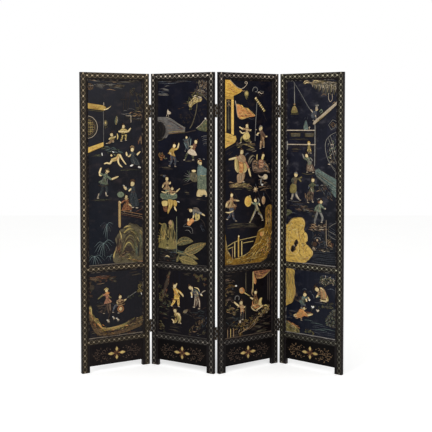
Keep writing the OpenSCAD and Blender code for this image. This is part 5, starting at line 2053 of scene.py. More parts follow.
    art = Relief(leaf, "upper_figures")
    figure(
        art, (213, 1508), (212, 1456), ([(180, 1488), (152, 1501)], [(236, 1476), (246, 1484)]),
        ([(172, 1430), (168, 1404)], [(230, 1420), (246, 1406)]), "tan", "olive", "cream", 13, 1.7,
        look=-1
    )
    art.stroke("cream", [(198, 1466), (176, 1462), (156, 1478)], [8, 10, 7], 4.6)
    for z in (1494, 1480, 1466):
        art.stroke("cream", [(200, z), (212, z + 3), (226, z - 1)], [5, 7, 5], 4.9)
    art.patch(
        "straw", [(178, 1438), (196, 1464), (224, 1464), (236, 1438), (216, 1422), (188, 1424)], 4.2,
        carve=waves(0, 9, 0.7)
    )
    art.strokes(
        "hair", [[(190, 1440), (200, 1456)], [(206, 1430), (210, 1456)], [(222, 1434), (218, 1456)]], 1.8,
        4.9
    )
    art.stroke("olive", [(184, 1428), (206, 1414), (236, 1412)], [8, 9, 6], 3.4)
    figure(
        art, (320, 1492), (334, 1424), ([(304, 1462), (288, 1450)], [(356, 1438), (370, 1440)]),
        ([(322, 1390), (320, 1366)], [(344, 1394), (346, 1374)]), "vine", "tan", "rust", 14, 1.2, look=-1,
        hat="ash"
    )
    ridges(
        art, [[(322, 1456), (320, 1430), (318, 1400)], [(344, 1456), (350, 1430), (348, 1400)]], 11,
        ("tan", "orange", "hair", "bone"), 5, 5.0, 0.6
    )
    art.dome("cream", (316, 1488), 10, 15, 5.2, -20)
    art.strokes("bone", [[(276, 1483), (290, 1482)], [(280, 1452), (300, 1446)]], 7, 3.8)
    ridges(
        art, [[(322, 1440), (328, 1412), (322, 1380)], [(346, 1440), (344, 1412), (346, 1380)]], 8,
        ("cream", "tan", "rust", "bone"), 5, 5.0
    )
    # The one riding, and the hobby horse with its rider
    figure(
        art, (172, 1348), (164, 1262), ([(132, 1312), (74, 1302)], [(226, 1246), (242, 1194)]),
        ((148, 1164), (182, 1164)), "brick", "tan", "straw", 17, 2.0
    )
    art.patch(
        "tan", [(140, 1212), (190, 1212), (188, 1172), (166, 1156), (140, 1162)], 3.6,
        carve=waves(5, 11, 1.0)
    )
    ridges(
        art, [[(146, 1208), (146, 1184), (146, 1166)], [(184, 1208), (186, 1186), (180, 1166)]], 8,
        ("olive", "ash", "hair", "bone"), 5, 4.8, 0.8
    )
    left_fold = [
        (120, 1306), (142, 1302), (148, 1270), (152, 1228), (140, 1220), (124, 1236), (117, 1262)
    ]
    right_fold = [
        (182, 1286), (200, 1278), (214, 1254), (210, 1236), (192, 1222), (180, 1224), (185, 1254)
    ]
    for fold in (left_fold, right_fold):
        art.patch("straw", fold, 4.6, 5, carve=waves(80, 9, 0.6))
    art.patch(
        "orange", [(148, 1294), (180, 1288), (187, 1256), (182, 1222), (152, 1220), (150, 1256)], 4.4, 5,
        carve=waves(10, 12, 0.7)
    )
    art.patch(
        "tan", [(138, 1316), (158, 1328), (188, 1328), (204, 1304), (198, 1280), (146, 1290)], 5.0,
        carve=waves(-30, 10, 0.6)
    )
    art.strokes(
        "cream",
        [
            [(118, 1264), (126, 1240), (141, 1222)], [(146, 1226), (160, 1217), (174, 1217)],
            [(180, 1222), (197, 1224), (212, 1240)], [(154, 1326), (166, 1306), (184, 1296)],
            [(128, 1296), (127, 1268), (134, 1242)]
        ],
        [4, 7, 4], 5.7
    )
    art.strokes(
        "hair",
        [
            [(146, 1294), (151, 1258), (150, 1226)], [(181, 1288), (188, 1254), (184, 1226)],
            [(136, 1298), (136, 1270), (142, 1240)], [(148, 1286), (170, 1278), (198, 1282)]
        ],
        [3, 5, 3], 5.5
    )
    art.strokes(
        "brick", [[(148, 1314), (164, 1302), (194, 1300)], [(174, 1326), (180, 1314), (192, 1308)]],
        [4, 6, 4], 5.8
    )
    art.strokes(
        "straw", [[(158, 1270), (168, 1262), (176, 1268)], [(158, 1246), (168, 1238), (178, 1242)]],
        [3, 6, 3], 5.4
    )
    art.strokes(
        "rust", [[(156, 1258), (168, 1250), (180, 1254)], [(156, 1232), (168, 1228), (178, 1230)]],
        [3, 6, 3], 5.4
    )
    art.stroke("slate", [(198, 1322), (212, 1336), (226, 1338)], [6, 9, 5], 4.0)
    body = [
        (256, 1286), (274, 1300), (290, 1290), (334, 1300), (356, 1282), (382, 1250), (392, 1210),
        (364, 1214), (300, 1212), (264, 1222), (252, 1254)
    ]
    art.patch("vine", body, 2.6, 9, carve=waves(30, 12, 0.8))
    tangle(
        art, [(262, 1262), (310, 1268), (380, 1236)], 30, 70, 15, ("umber", "ink", "hair", "rust", "ink"),
        6, 4.0, 60
    )
    tangle(
        art, [(262, 1258), (310, 1262), (380, 1236)], 34, 50, 14, ("tan", "ash", "bone", "tan"), 4.5, 4.7,
        70
    )
    art.strokes(
        "ink",
        [[(262, 1226), (300, 1217), (350, 1217), (388, 1210)], [(298, 1292), (306, 1256), (330, 1236)]],
        [4, 7, 5], 4.4
    )
    art.strokes(
        "tan",
        [
            [(262, 1282), (276, 1290), (290, 1278)], [(350, 1278), (366, 1262), (378, 1240)],
            [(262, 1242), (280, 1248), (298, 1238)], [(342, 1232), (360, 1228), (380, 1222)]
        ],
        [5, 9, 5], 5.0
    )
    art.strokes(
        "ink",
        [
            [(258, 1262), (276, 1266), (296, 1258)], [(346, 1256), (360, 1246), (370, 1228)],
            [(266, 1228), (290, 1226)]
        ],
        [4, 8, 4], 5.1
    )
    art.strokes("orange", [[(278, 1273), (290, 1267)], [(348, 1268), (358, 1259)]], [6, 8], 5.2)
    art.strokes(
        "stone",
        [[(222, 1272), (232, 1304), (256, 1324), (278, 1314)], [(232, 1268), (242, 1294), (262, 1308)]],
        [8, 11, 10, 6], 3.6
    )
    art.strokes(
        "bone", [[(226, 1282), (238, 1308), (258, 1322)], [(238, 1276), (248, 1296), (262, 1306)]],
        [2, 4, 3], 4.2
    )
    art.strokes(
        "umber", [[(262, 1300), (276, 1286), (296, 1280)], [(244, 1284), (256, 1296)]], [9, 12, 9], 3.6
    )
    art.stroke("straw", [(290, 1294), (292, 1330)], [9, 11], 4.2)
    face(art, (338, 1322), 14, -12)
    art.dome("straw", (334, 1308), 10, 15, 5.1, -14)
    art.patch(
        "brick", [(304, 1292), (326, 1298), (344, 1278), (338, 1246), (312, 1240), (300, 1262)], 4.2,
        carve=waves(60, 9, 0.8)
    )
    art.strokes(
        "cream",
        [
            [(302, 1280), (320, 1268), (342, 1272)], [(308, 1292), (322, 1284), (334, 1290)],
            [(306, 1256), (324, 1252), (338, 1258)]
        ],
        [3, 5, 3], 5.0
    )
    art.strokes(
        "ink",
        [
            [(304, 1286), (322, 1276), (340, 1282)], [(302, 1268), (322, 1260), (342, 1264)],
            [(316, 1248), (326, 1244)]
        ],
        [2, 4, 2], 5.1
    )
    for k in range(7):
        art.dome("hair", (352 + 5.5 * k, 1286 - 10 * k + 9 * (k % 2)), 5, 4, 4.2, 40 * k)
        art.dome("ash", (346 + 5.5 * k, 1274 - 9 * k + 9 * (k % 2)), 5, 3.4, 4.4, 70 * k)
    art.patch(
        "bone",
        [(298, 1204), (330, 1192), (352, 1206), (374, 1196), (370, 1174), (340, 1172), (310, 1186)], 4.0
    )
    ridges(
        art, [[(302, 1202), (328, 1190), (352, 1200)], [(310, 1188), (334, 1176), (348, 1182)]], 8,
        ("olive", "hair", "ash"), 4, 4.8
    )
    art.dome("cream", (358, 1186), 13, 11, 4.8)
    art.stroke("ash", [(326, 1176), (322, 1150), (334, 1136)], [14, 11, 9], 3.4)
    art.dome("pearl", (332, 1140), 9, 7, 4.4)
    figure(
        art, (96, 1086), (98, 1020), ([(126, 1052), (154, 1048)], [(60, 1040), (54, 1012)]),
        ([(84, 960), (60, 940)], [(112, 950), (128, 926)]), "tan", "slate", "orange", 14, 2.7
    )
    ridges(
        art,
        [
            [(76, 1064), (62, 1030), (64, 996)], [(96, 1060), (98, 1030), (92, 992)],
            [(116, 1058), (130, 1026), (120, 990)]
        ],
        18, ("orange", "straw", "rust", "cream", "tan"), 6, 5.0, 0.5
    )
    art.stroke("cream", [(50, 984), (80, 980), (112, 990)], [7, 10, 7], 4.8)
    art.strokes("umber", [[(118, 1104), (130, 1080), (146, 1056)]], 4, 2.4)
    art.dome("gold", (223, 1041), 28, 34, 2.8, sides=22)
    art.dome("amber", (223, 1041), 20, 26, 3.8, sides=20)
    art.stroke("straw", ring_path((223, 1041), 13), 3, 4.6)
    art.dome("orange", (223, 1043), 7, 9, 4.6)
    art.dome("straw", (234, 1072), 9, 7, 4.2)
    figure(
        art, (278, 1046), (290, 990), ([(256, 1030), (244, 1038)], [(306, 1026), (316, 1008)]),
        ([(262, 948), (240, 912)], [(330, 940), (338, 918)]), "jade", "olive", "cream", 13, 1.4, look=-1
    )
    art.strokes(
        "ash", [[(284, 984), (266, 952), (246, 920)], [(300, 966), (326, 948), (338, 924)]], [15, 12, 8],
        3.6
    )
    art.strokes(
        "bone", [[(276, 966), (262, 946), (250, 926)], [(306, 958), (324, 946), (334, 930)]], [3, 6, 4],
        4.2
    )
    art.strokes("hair", [[(286, 978), (272, 954)], [(304, 964), (318, 948)]], [2, 4, 2], 4.4)
    art.stroke("ash", [(296, 1060), (308, 1044), (300, 1026)], [9, 9, 6], 4.0)
    ridges(
        art, [[(276, 1024), (282, 990), (280, 964)], [(300, 1024), (302, 990), (308, 966)]], 9,
        ("bone", "olive", "moss", "cream"), 5, 4.9, 0.6
    )
    art.dome("tan", (280, 1112), 16, 15, 3.6)
    art.dome("cream", (278, 1114), 9, 9, 4.6)
    for k in range(7):
        tip = turned((21, 0), 51.4 * k + 20)
        art.stroke(
            ("bone", "tan")[k % 2],
            [(280 + tip[0] * 0.4, 1112 + tip[1] * 0.4), (280 + tip[0], 1112 + tip[1])], [3, 5], 3.2
        )
    art.stroke("slate", [(283, 1134), (281, 1148)], 7, 2.6)
    art.dome("tan", (343, 1042), 15, 27, 3.2)
    art.strokes("orange", [[(342, 1058), (344, 1028)], [(336, 1050), (350, 1036)]], 4, 4.2)
    art.strokes("slate", [[(345, 1090), (344, 1066)]], [4, 6], 2.6)
    art.strokes(
        "umber", [[(300, 1096), (318, 1060), (352, 1000)], [(352, 1100), (386, 1060), (404, 1030)]], 4,
        1.8
    )
    art.hang()

    art = Relief(leaf, "upper_garden")
    smudges = [
        (72, 1162, 70), (90, 1124, 130), (210, 1112, 60), (310, 1112, 95), (300, 1166, 60),
        (300, 1130, 100)
    ]
    earth(art, smudges, ("stone", "umber", "tan", "umber"))
    art.strokes(
        "loam",
        [[(76, 1146), (130, 1151), (200, 1146), (238, 1151)], [(84, 1131), (150, 1135), (222, 1129)]],
        [6, 13, 10, 5], 2.0
    )
    art.strokes(
        "tan", [[(86, 1139), (116, 1142), (146, 1137)], [(176, 1140), (206, 1136)]], [4, 7, 4], 2.8
    )
    tangle(
        art, [(122, 1386), (180, 1398), (262, 1388)], 15, 34, 34,
        ("tan", "stone", "umber", "straw", "vine"), 6, 2.4, 14
    )
    tangle(art, [(210, 1360), (260, 1360)], 12, 14, 34, ("stone", "bone", "umber"), 6, 2.2, 12)
    tangle(
        art, [(84, 1142), (150, 1146), (230, 1136)], 12, 40, 40,
        ("tan", "straw", "olive", "umber", "stone"), 6, 2.6, 10
    )
    tangle(art, [(300, 1140), (400, 1136)], 18, 24, 30, ("stone", "umber", "vine"), 6, 2.0, 12)
    earth(
        art, [(56, 906, 190), (60, 888, 200), (150, 878, 180), (200, 896, 120), (60, 1232, 40)],
        ("umber", "umber", "stone")
    )
    art.strokes(
        "stone",
        [
            [(76, 1136), (140, 1142), (226, 1128)], [(208, 1360), (240, 1362), (270, 1356)],
            [(130, 1384), (200, 1394), (280, 1384)]
        ],
        [5, 10, 5], 2.0
    )
    hill = [
        (41, 850), (52, 848), (58, 800), (68, 760), (84, 722), (108, 700), (152, 704), (200, 716),
        (232, 732), (262, 762), (280, 798), (292, 834), (306, 858), (346, 870), (356, 896), (354, 950),
        (360, 996), (386, 1014), (408, 1008), (412, 940), (408, 860), (402, 760), (394, 700), (384, 660),
        (300, 655), (120, 655), (84, 662), (41, 664)
    ]
    art.patch("earth", hill, 3.0, 14, carve=waves(60, 20, 1.5, 10, 80), mesh=4.5)
    ridges(
        art,
        [
            [(364, 990), (362, 930), (362, 876)], [(384, 1006), (384, 930), (384, 860)],
            [(404, 996), (404, 920), (400, 850)]
        ],
        16, ("gilt", "straw", "tan", "earth", "orange"), 6, 4.0, 0.45
    )
    lay = [
        [(230, 700), (290, 780), (340, 860)], [(270, 690), (330, 760), (390, 850)],
        [(320, 670), (360, 710), (404, 780)]
    ]
    ridges(art, lay, 46, ("gilt", "earth", "hair", "earth", "straw", "umber", "ink"), 6, 4.0, 0.2)
    ridges(
        art, [[(112, 700), (220, 716), (300, 740)], [(100, 670), (220, 670), (384, 680)]], 30,
        ("gilt", "earth", "straw", "hair", "umber"), 6, 4.0, 0.2
    )
    art.strokes(
        "hair",
        [
            [(372, 1000), (374, 930), (380, 860)], [(392, 990), (394, 920), (396, 830)],
            [(300, 850), (330, 800), (372, 790)], [(240, 730), (270, 700), (300, 690)]
        ],
        [2, 6, 3], 4.6
    )
    tangle(
        art, [(150, 684), (250, 694), (350, 756)], 26, 56, 22, ("gilt", "ink", "straw", "hair", "earth"),
        5, 5.0, 35
    )
    tangle(
        art, [(330, 690), (380, 760), (384, 850)], 28, 60, 22, ("gilt", "ink", "hair", "orange", "hair"),
        5.5, 5.0, 30
    )
    tangle(art, [(384, 860), (384, 1000)], 20, 24, 24, ("ink", "hair", "gilt"), 5, 4.6, 20)
    art.patch(
        "ink", [(318, 655), (352, 672), (380, 700), (397, 752), (404, 830), (414, 840), (414, 655)], 4.2,
        9, carve=waves(40, 16, 0.8)
    )
    tangle(
        art, [(340, 664), (384, 700), (402, 780)], 12, 30, 22, ("ink", "earth", "hair", "ink", "hair"), 7,
        5.2, 35
    )
    art.dome("orange", (330, 832), 18, 16, 4.2)
    ridges(
        art, [[(318, 850), (328, 830), (322, 812)], [(344, 852), (346, 834), (338, 816)]], 6,
        ("gilt", "straw"), 6, 4.9, 0.6
    )
    ridges(
        art, [[(46, 846), (50, 780), (60, 700)], [(62, 790), (74, 740), (98, 706)]], 14,
        ("tan", "straw", "olive", "earth"), 6, 4.0, 0.5
    )
    ridges(
        art, [[(48, 690), (80, 700), (100, 700)], [(60, 668), (90, 668), (130, 690)]], 10,
        ("straw", "olive", "gilt"), 6, 4.0, 0.6
    )
    art.strokes(
        "straw",
        [
            [(240, 742), (262, 758), (300, 776), (330, 780)], [(300, 850), (322, 862), (350, 868)],
            [(150, 702), (190, 708), (230, 726)]
        ],
        [3, 6, 5, 2], 4.8
    )
    railing(art, "straw", [(62, 772), (115, 795), (160, 806), (292, 820)], [(62, 756), (112, 768)], 0, 6)
    art.strokes("umber", [[(62, 764), (114, 786)], [(180, 797), (284, 808)]], 2, 3.0)
    art.stroke("straw", [(182, 786), (264, 792)], 6, 3.6, curved=False)
    for u, low, high, width, finish in (
        (121, 702, 796, 9, "straw"), (150, 700, 828, 12, "gilt"), (174, 708, 800, 9, "straw"),
        (103, 690, 762, 6, "tan")
    ):
        art.stroke(finish, [(u, low), (u, high)], width, 4.4, curved=False)
        art.stroke(
            "umber", [(u + width * 0.36, low + 4), (u + width * 0.36, high - 4)], 1.4, 4.9, curved=False
        )
    art.dome("cream", (150, 830), 7, 7, 4.8)
    art.hang()


def leaf_3_lower(leaf):
    """The lower panel's scene."""
    art = Relief(leaf, "lower_scene")
    drape = [
        (258, 604), (396, 604), (408, 600), (388, 592), (366, 572), (344, 556), (312, 550), (288, 556),
        (282, 580), (270, 590)
    ]
    art.patch("rust", drape, 3.0, 9, carve=waves(60, 20, 1.2))
    ridges(
        art, [[(272, 600), (330, 600), (394, 602)], [(284, 560), (320, 556), (376, 580)]], 20,
        ("rust", "orange", "hair", "gilt", "orange", "umber"), 6, 3.7, 0.5
    )
    art.strokes(
        "straw", [[(290, 562), (318, 557), (348, 564), (376, 582), (396, 598)], [(286, 558), (282, 580)]],
        [3, 7, 5, 2], 4.2
    )
    art.stroke("straw", [(263, 602), (262, 540), (260, 470)], [10, 11, 9], 3.4, curved=False)
    art.stroke("tan", [(258, 600), (257, 520), (256, 474)], 2.4, 4.2, curved=False)
    art.patch("orange", [(268, 598), (284, 560), (288, 536), (282, 520), (268, 528), (266, 560)], 3.2)
    art.strokes("rust", [[(270, 590), (278, 560), (276, 530)]], [4, 7, 4], 4.2)
    art.strokes(
        "tan", [[(258, 500), (252, 470), (262, 450)], [(272, 560), (280, 540), (276, 522)]], [5, 7, 5],
        3.4
    )
    art.strokes(
        "umber", [[(392, 592), (392, 500), (394, 400)], [(378, 590), (379, 500), (380, 410)]], [9, 10, 9],
        2.2, curved=False
    )
    art.strokes(
        "stone",
        [
            [(207, 602), (206, 540), (208, 480)], [(206, 400), (204, 340), (206, 300)],
            [(394, 560), (396, 440)]
        ],
        [5, 7, 5], 2.2, curved=False
    )
    art.dome("orange", (176, 492), 23, 19, 3.4, -30, 18)
    art.dome("tan", (172, 495), 13, 11, 4.4, -30)
    art.stroke("straw", ring_path((176, 492), 19, 60, 200), 3, 4.2)
    art.stroke("straw", [(194, 478), (216, 464), (240, 450)], [11, 7, 4], 3.2)
    art.dome("pearl", (131, 526), 8, 6, 3.0)
    art.dome("slate", (106, 510), 6, 5, 2.0)
    figure(
        art, (170, 418), (178, 372), ([(150, 400), (114, 430)], [(190, 384), (200, 392)]),
        ([(172, 336), (164, 306)], [(184, 336), (184, 312)]), "tan", "dusk", "cream", 15, 1.1, look=-1
    )
    art.strokes(
        "umber", [[(174, 352), (170, 330), (166, 312)], [(186, 352), (188, 332), (186, 316)]],
        [12, 13, 8], 3.6
    )
    art.strokes("ink", [[(180, 356), (178, 336), (176, 318)], [(190, 348), (192, 332)]], [4, 7, 4], 4.2)
    art.dome("bone", (162, 300), 7, 10, 3.6, -20)
    art.stroke("ash", ring_path((139, 448), 16, -40, 250), 6, 3.4)
    art.strokes(
        "orange", [[(168, 396), (166, 366), (172, 350)], [(184, 394), (190, 366), (188, 350)]], [3, 5, 4],
        5.0
    )
    figure(
        art, (282, 470), (274, 388), ([(260, 430), (238, 444)], [(306, 400), (330, 378)]),
        ((296, 354), (336, 372)), "rust", "cream", "straw", 13, 2.0, look=-1, gown="rust"
    )
    ridges(
        art, [[(262, 440), (254, 410), (258, 376)], [(290, 440), (300, 410), (312, 380)]], 14,
        ("straw", "orange", "hair", "rust", "gilt", "ink"), 5, 5.0, 0.5
    )
    art.patch(
        "hair", [(266, 448), (284, 452), (296, 424), (292, 404), (272, 402), (262, 420)], 4.6,
        carve=waves(20, 9, 0.8)
    )
    art.strokes(
        "orange",
        [
            [(256, 396), (276, 390), (300, 396)], [(262, 376), (284, 372), (308, 380)],
            [(272, 444), (280, 424), (276, 408)]
        ],
        [4, 9, 4], 5.0
    )
    art.patch(
        "straw", [(300, 392), (304, 414), (320, 432), (334, 430), (328, 404), (332, 388), (314, 384)], 4.2
    )
    art.stroke("cream", [(314, 396), (320, 416), (328, 426)], [3, 5, 3], 5.0)
    art.strokes(
        "cream",
        [
            [(246, 386), (262, 366), (286, 352)], [(286, 360), (310, 366), (342, 384)],
            [(256, 392), (280, 382)]
        ],
        [7, 10, 6], 4.8
    )
    art.strokes("straw", [[(346, 378), (366, 380), (378, 368)], [(352, 366), (372, 360)]], [6, 9, 5], 3.8)
    # A knotted bank of roots
    streaks(art, (150, 216), (412, 320), 40, 40, ("umber", "hair", "umber", "stone"), 6)
    roots = [(150, 226), (200, 252), (262, 284), (320, 322), (384, 366)]
    tangle(art, roots, 26, 90, 18, ("umber", "hair", "earth", "stone", "hair"), 5.5, 3.0, 50)
    tangle(art, roots, 20, 64, 17, ("tan", "straw", "stone", "gilt", "bone"), 3.8, 3.8, 55)
    art.strokes(
        "tan",
        [
            [(160, 226), (196, 244), (222, 250), (258, 276)],
            [(270, 286), (300, 312), (326, 318), (350, 344)], [(230, 244), (262, 262), (300, 290)]
        ],
        [3, 5, 4, 2], 4.2
    )
    tangle(
        art, [(60, 262), (130, 280), (230, 296), (290, 312)], 24, 60, 24,
        ("umber", "stone", "earth", "hair", "olive"), 5.5, 2.4, 25
    )
    tangle(art, [(150, 280), (230, 290)], 20, 18, 22, ("tan", "gilt", "stone"), 4, 3.0, 30)
    foliage(
        art, ("straw", "olive", "tan"), [(360, 364), (382, 352), (340, 344), (368, 336), (384, 372)], 6,
        14, 7, 3.6
    )
    earth(art, [(60, 216, 150), (60, 240, 120), (250, 246, 120), (280, 222, 110), (330, 262, 80)])
    for u, finish in ((68, "tan"), (90, "straw"), (112, "tan"), (134, "umber")):
        art.stroke(finish, [(u, 212), (u, 266)], 6, 3.2, curved=False)
    tangle(
        art, [(50, 386), (90, 378), (136, 366)], 20, 44, 22, ("olive", "stone", "earth", "umber", "tan"),
        6, 2.4, 30
    )
    for low, finishes in (
        (560, ("umber", "loam", "vine")), (522, ("umber", "earth")), (486, ("loam", "umber", "stone")),
        (444, ("umber", "vine"))
    ):
        tangle(art, [(48, low), (76, low + 4), (108, low - 4)], 9, 12, 30, finishes, 7, 2.0, 12)
    tangle(art, [(50, 330), (100, 310), (160, 300)], 30, 26, 36, ("dusk", "ink", "dusk"), 6, 1.2, 25)
    foliage(
        art, ("stone", "olive", "tan", "umber"),
        [(56, 420), (62, 440), (52, 470), (70, 490), (60, 510), (84, 400)], 7, 17, 7, 2.2
    )
    earth(art, [(44, 592, 80), (44, 572, 60), (44, 546, 50), (70, 520, 60), (50, 330, 100)])
    art.hang()


# ---------------------------------------------------------------- leaf 4


def leaf_4_upper(leaf):
    """The upper panel's buildings, figures and garden."""
    art = Relief(leaf, "upper_buildings")
    art.stroke("slate", [(96, 1782), (150, 1706), (215, 1612), (268, 1556)], [7, 8, 8, 5], 2.0)
    art.stroke("ash", [(94, 1784), (150, 1706), (215, 1612), (268, 1556)], [3, 4.5, 4.5, 3], 2.8)
    art.stroke("ash", [(103, 1776), (104, 1700), (105, 1636)], [4, 7, 7], 2.4, curved=False)
    art.patch(
        "olive",
        [
            (80, 1588), (86, 1612), (96, 1628), (106, 1634), (116, 1626), (126, 1608), (130, 1590),
            (104, 1584)
        ],
        3.2, 7, carve=waves(0, 8, 0.8)
    )
    ridges(
        art, [[(92, 1624), (86, 1604), (84, 1590)], [(118, 1624), (124, 1606), (126, 1590)]], 8,
        ("straw", "gilt", "tan"), 5, 4.2, 0.8
    )
    art.stroke("straw", [(90, 1618), (104, 1626), (120, 1614)], [5, 7, 5], 4.6)
    art.dome("tan", (105, 1640), 8, 6, 3.6)
    for k in range(7):
        art.stroke("olive", [(82 + 8 * k, 1590), (80 + 8.6 * k, 1574)], 3, 2.4)
    art.patch(
        "bone",
        [
            (238, 1514), (246, 1536), (290, 1566), (350, 1612), (412, 1656), (414, 1634), (380, 1606),
            (330, 1570), (290, 1546), (258, 1513)
        ],
        3.4, 6, curved=False, carve=waves(-50, 9, 0.5)
    )
    art.strokes(
        "straw",
        [[(250, 1522), (300, 1558), (360, 1602), (412, 1644)], [(262, 1522), (310, 1556), (372, 1602)]],
        [3, 5, 3], 4.2
    )
    art.strokes(
        "stone",
        [[(256, 1516), (300, 1547), (350, 1585), (410, 1632)], [(276, 1560), (304, 1580), (330, 1600)]],
        2.4, 4.4
    )
    for low, high, span in ((1478, 1470, (43, 258)), (1390, 1382, (50, 262))):
        art.stroke("bone", [(span[0], low), (span[1], low + 1)], 8, 3.2, curved=False)
        art.stroke("ash", [(span[0] + 4, low - 3), (span[1], low - 2)], 2, 3.8, curved=False)
        art.stroke("umber", [(span[0] + 8, high - 3), (span[1], high - 2)], 4, 2.2, curved=False)
    for low, high in ((74, 152), (180, 250)):
        art.patch(
            "stone", [(low, 1463), (high, 1463), (high - 4, 1438), (low + 6, 1436)], 2.2, 6, curved=False,
            carve=waves(80, 9, 0.5)
        )
        ridges(
            art, [[(low + 4, 1460), (high - 2, 1460)], [(low + 8, 1440), (high - 8, 1441)]], 6,
            ("tan", "olive", "ash"), 4, 3.0, 0.7
        )
        art.stroke("umber", [(low - 4, 1468), (low - 2, 1434)], 4, 2.4, curved=False)
    earth(art, [(66, 1418, 170), (60, 1366, 130), (70, 1352, 90)])
    art.stroke("ash", [(256, 1514), (256, 1400), (254, 1258)], [8, 8, 7], 3.0, curved=False)
    art.strokes("umber", [[(246, 1376), (247, 1262)], [(264, 1500), (265, 1270)]], 3, 2.0, curved=False)
    fret = [(352, 1512), (382, 1544), (412, 1532), (398, 1496), (372, 1484), (352, 1512)]
    art.stroke("ash", fret, 4.5, 2.4, curved=False)
    art.stroke(
        "tan", [(366, 1512), (384, 1528), (400, 1514), (384, 1498), (374, 1510), (386, 1516)], 4, 2.8,
        curved=False
    )
    # A round net on its frame
    frames = [
        [
            (412, 1470), (370, 1452), (340, 1424), (330, 1390), (336, 1340), (356, 1290), (386, 1250),
            (400, 1232)
        ],
        [(350, 1440), (376, 1370), (404, 1290)], [(364, 1452), (392, 1372), (413, 1316)],
        [(386, 1452), (404, 1420), (413, 1400)]
    ]
    tangle(
        art, [(366, 1410), (372, 1350), (392, 1290)], 24, 44, 18,
        ("stone", "slate", "umber", "sage", "vine"), 6, 2.0, 60
    )
    art.strokes("ash", frames[:3], [4, 6, 4], 2.6)
    art.strokes("slate", frames[3:], [4, 5, 4], 2.4)
    for k in range(30):
        u, z = 350 + art.chance.uniform(0, 58), 1272 + art.chance.uniform(0, 130)
        art.dome(
            art.chance.choice(("stone", "ash", "bone", "sage")), (u, z), 6, 4, 2.9,
            art.chance.uniform(0, 180)
        )
    art.strokes(
        "ash",
        [
            [(366, 1284), (412, 1280)], [(356, 1300), (384, 1260), (402, 1246)],
            [(401, 1250), (403, 1214), (404, 1190)]
        ],
        [2, 4, 3], 2.8
    )
    tangle(
        art, [(300, 1146), (340, 1110), (370, 1070)], 26, 40, 26,
        ("umber", "vine", "slate", "stone", "dusk"), 6, 1.8, 40
    )
    # Stone steps
    steps = [
        (258, 1236), (282, 1248), (330, 1220), (400, 1192), (414, 1184), (414, 1066), (396, 1080),
        (366, 1116), (350, 1148), (300, 1176), (262, 1206)
    ]
    art.patch("teal", steps, 3.0, 8, curved=False, carve=waves(60, 13, 1.1))
    treads = [
        (("jade", "ash"), 1232, 1168), (("stone", "tan"), 1222, 1148), (("dusk", "jade"), 1212, 1128),
        (("ash", "sage"), 1200, 1110)
    ]
    for (low_finish, high_finish), start, end in treads:
        art.stroke(low_finish, [(268, start), (330, (start + end) / 2 + 4), (412, end)], [5, 7, 6], 3.8)
        art.stroke(
            high_finish, [(270, start - 6), (330, (start + end) / 2 - 2), (412, end - 8)], [1.5, 3, 2],
            4.3
        )
    ridges(
        art, [[(310, 1180), (356, 1150), (412, 1118)], [(362, 1130), (386, 1100), (412, 1078)]], 16,
        ("teal", "slate", "dusk", "teal", "dusk"), 6, 3.8, 0.5
    )
    art.strokes(
        "ash",
        [
            [(262, 1242), (300, 1234), (350, 1210), (412, 1184)], [(262, 1212), (300, 1184), (350, 1154)],
            [(262, 1240), (260, 1212)]
        ],
        [4, 4, 3], 4.4
    )
    art.dome("ink", (356, 1142), 8, 4, 4.2, -40)
    art.strokes("bone", [[(340, 934), (340, 860), (343, 780)]], [4, 5, 5], 3.2, curved=False)
    art.strokes(
        "stone", [[(356, 900), (358, 840), (360, 786)], [(334, 920), (333, 800)]], 4, 2.4, curved=False
    )
    art.strokes(
        "ash",
        [
            [(352, 886), (384, 908), (414, 922)], [(352, 868), (384, 858), (414, 846)],
            [(352, 846), (384, 828), (414, 818)]
        ],
        [3, 5, 4], 2.6
    )
    art.strokes(
        "slate", [[(352, 900 - 14 * k), (380, 886 - 16 * k), (414, 868 - 12 * k)] for k in range(5)],
        [2, 3.4, 3], 2.0
    )
    art.hang()

    art = Relief(leaf, "upper_figures")
    figure(
        art, (268, 1608), (252, 1572), ([(240, 1588), (224, 1608)], [(258, 1572), (264, 1560)]),
        ((246, 1540), (268, 1550)), "slate", "slate", "ash", 11, 1.2, look=-1, hat="ash", arms="bone"
    )
    art.dome("bone", (268, 1613), 10, 12, 5.9, -10)
    art.dome("ash", (271, 1630), 15, 7, 5.2, 10)
    art.patch(
        "slate", [(226, 1560), (230, 1588), (246, 1598), (262, 1580), (256, 1560), (240, 1552)], 3.6,
        carve=waves(30, 9, 0.7)
    )
    art.strokes(
        "ash", [[(232, 1584), (244, 1574), (258, 1580)], [(230, 1570), (240, 1562)]], [3, 5, 3], 4.6
    )
    art.strokes("jade", [[(286, 1592), (300, 1606), (308, 1592), (290, 1582)]], [6, 8, 5], 2.6)
    art.patch(
        "teal", [(174, 1484), (176, 1520), (190, 1542), (202, 1520), (206, 1484)], 2.6,
        carve=waves(10, 9, 0.8)
    )
    ridges(
        art, [[(182, 1536), (178, 1510), (178, 1488)], [(198, 1534), (202, 1510), (202, 1488)]], 7,
        ("ash", "jade", "slate"), 5, 3.4, 0.8
    )
    art.stroke("bone", [(206, 1492), (218, 1500), (214, 1484)], 5, 2.6)
    art.strokes("slate", [[(180, 1548), (186, 1560)], [(200, 1548), (204, 1566)]], 4, 1.8)
    figure(
        art, (213, 1398), (214, 1356), ((202, 1352), (230, 1352)), ((208, 1340), (224, 1340)), "olive",
        "olive", "straw", 12, 1.2, hat="gilt", gown="olive", arms="straw"
    )
    ridges(
        art, [[(206, 1380), (204, 1352)], [(228, 1382), (236, 1346)]], 6,
        ("straw", "tan", "rust", "olive"), 4, 4.8, 0.8
    )
    figure(
        art, (197, 1324), (218, 1276), ([(178, 1306), (165, 1333)], [(226, 1308), (240, 1290)]),
        ((204, 1222), (248, 1222)), "sage", "tan", "bone", 14, 1.5, look=-1, gown="vine", arms="ash"
    )
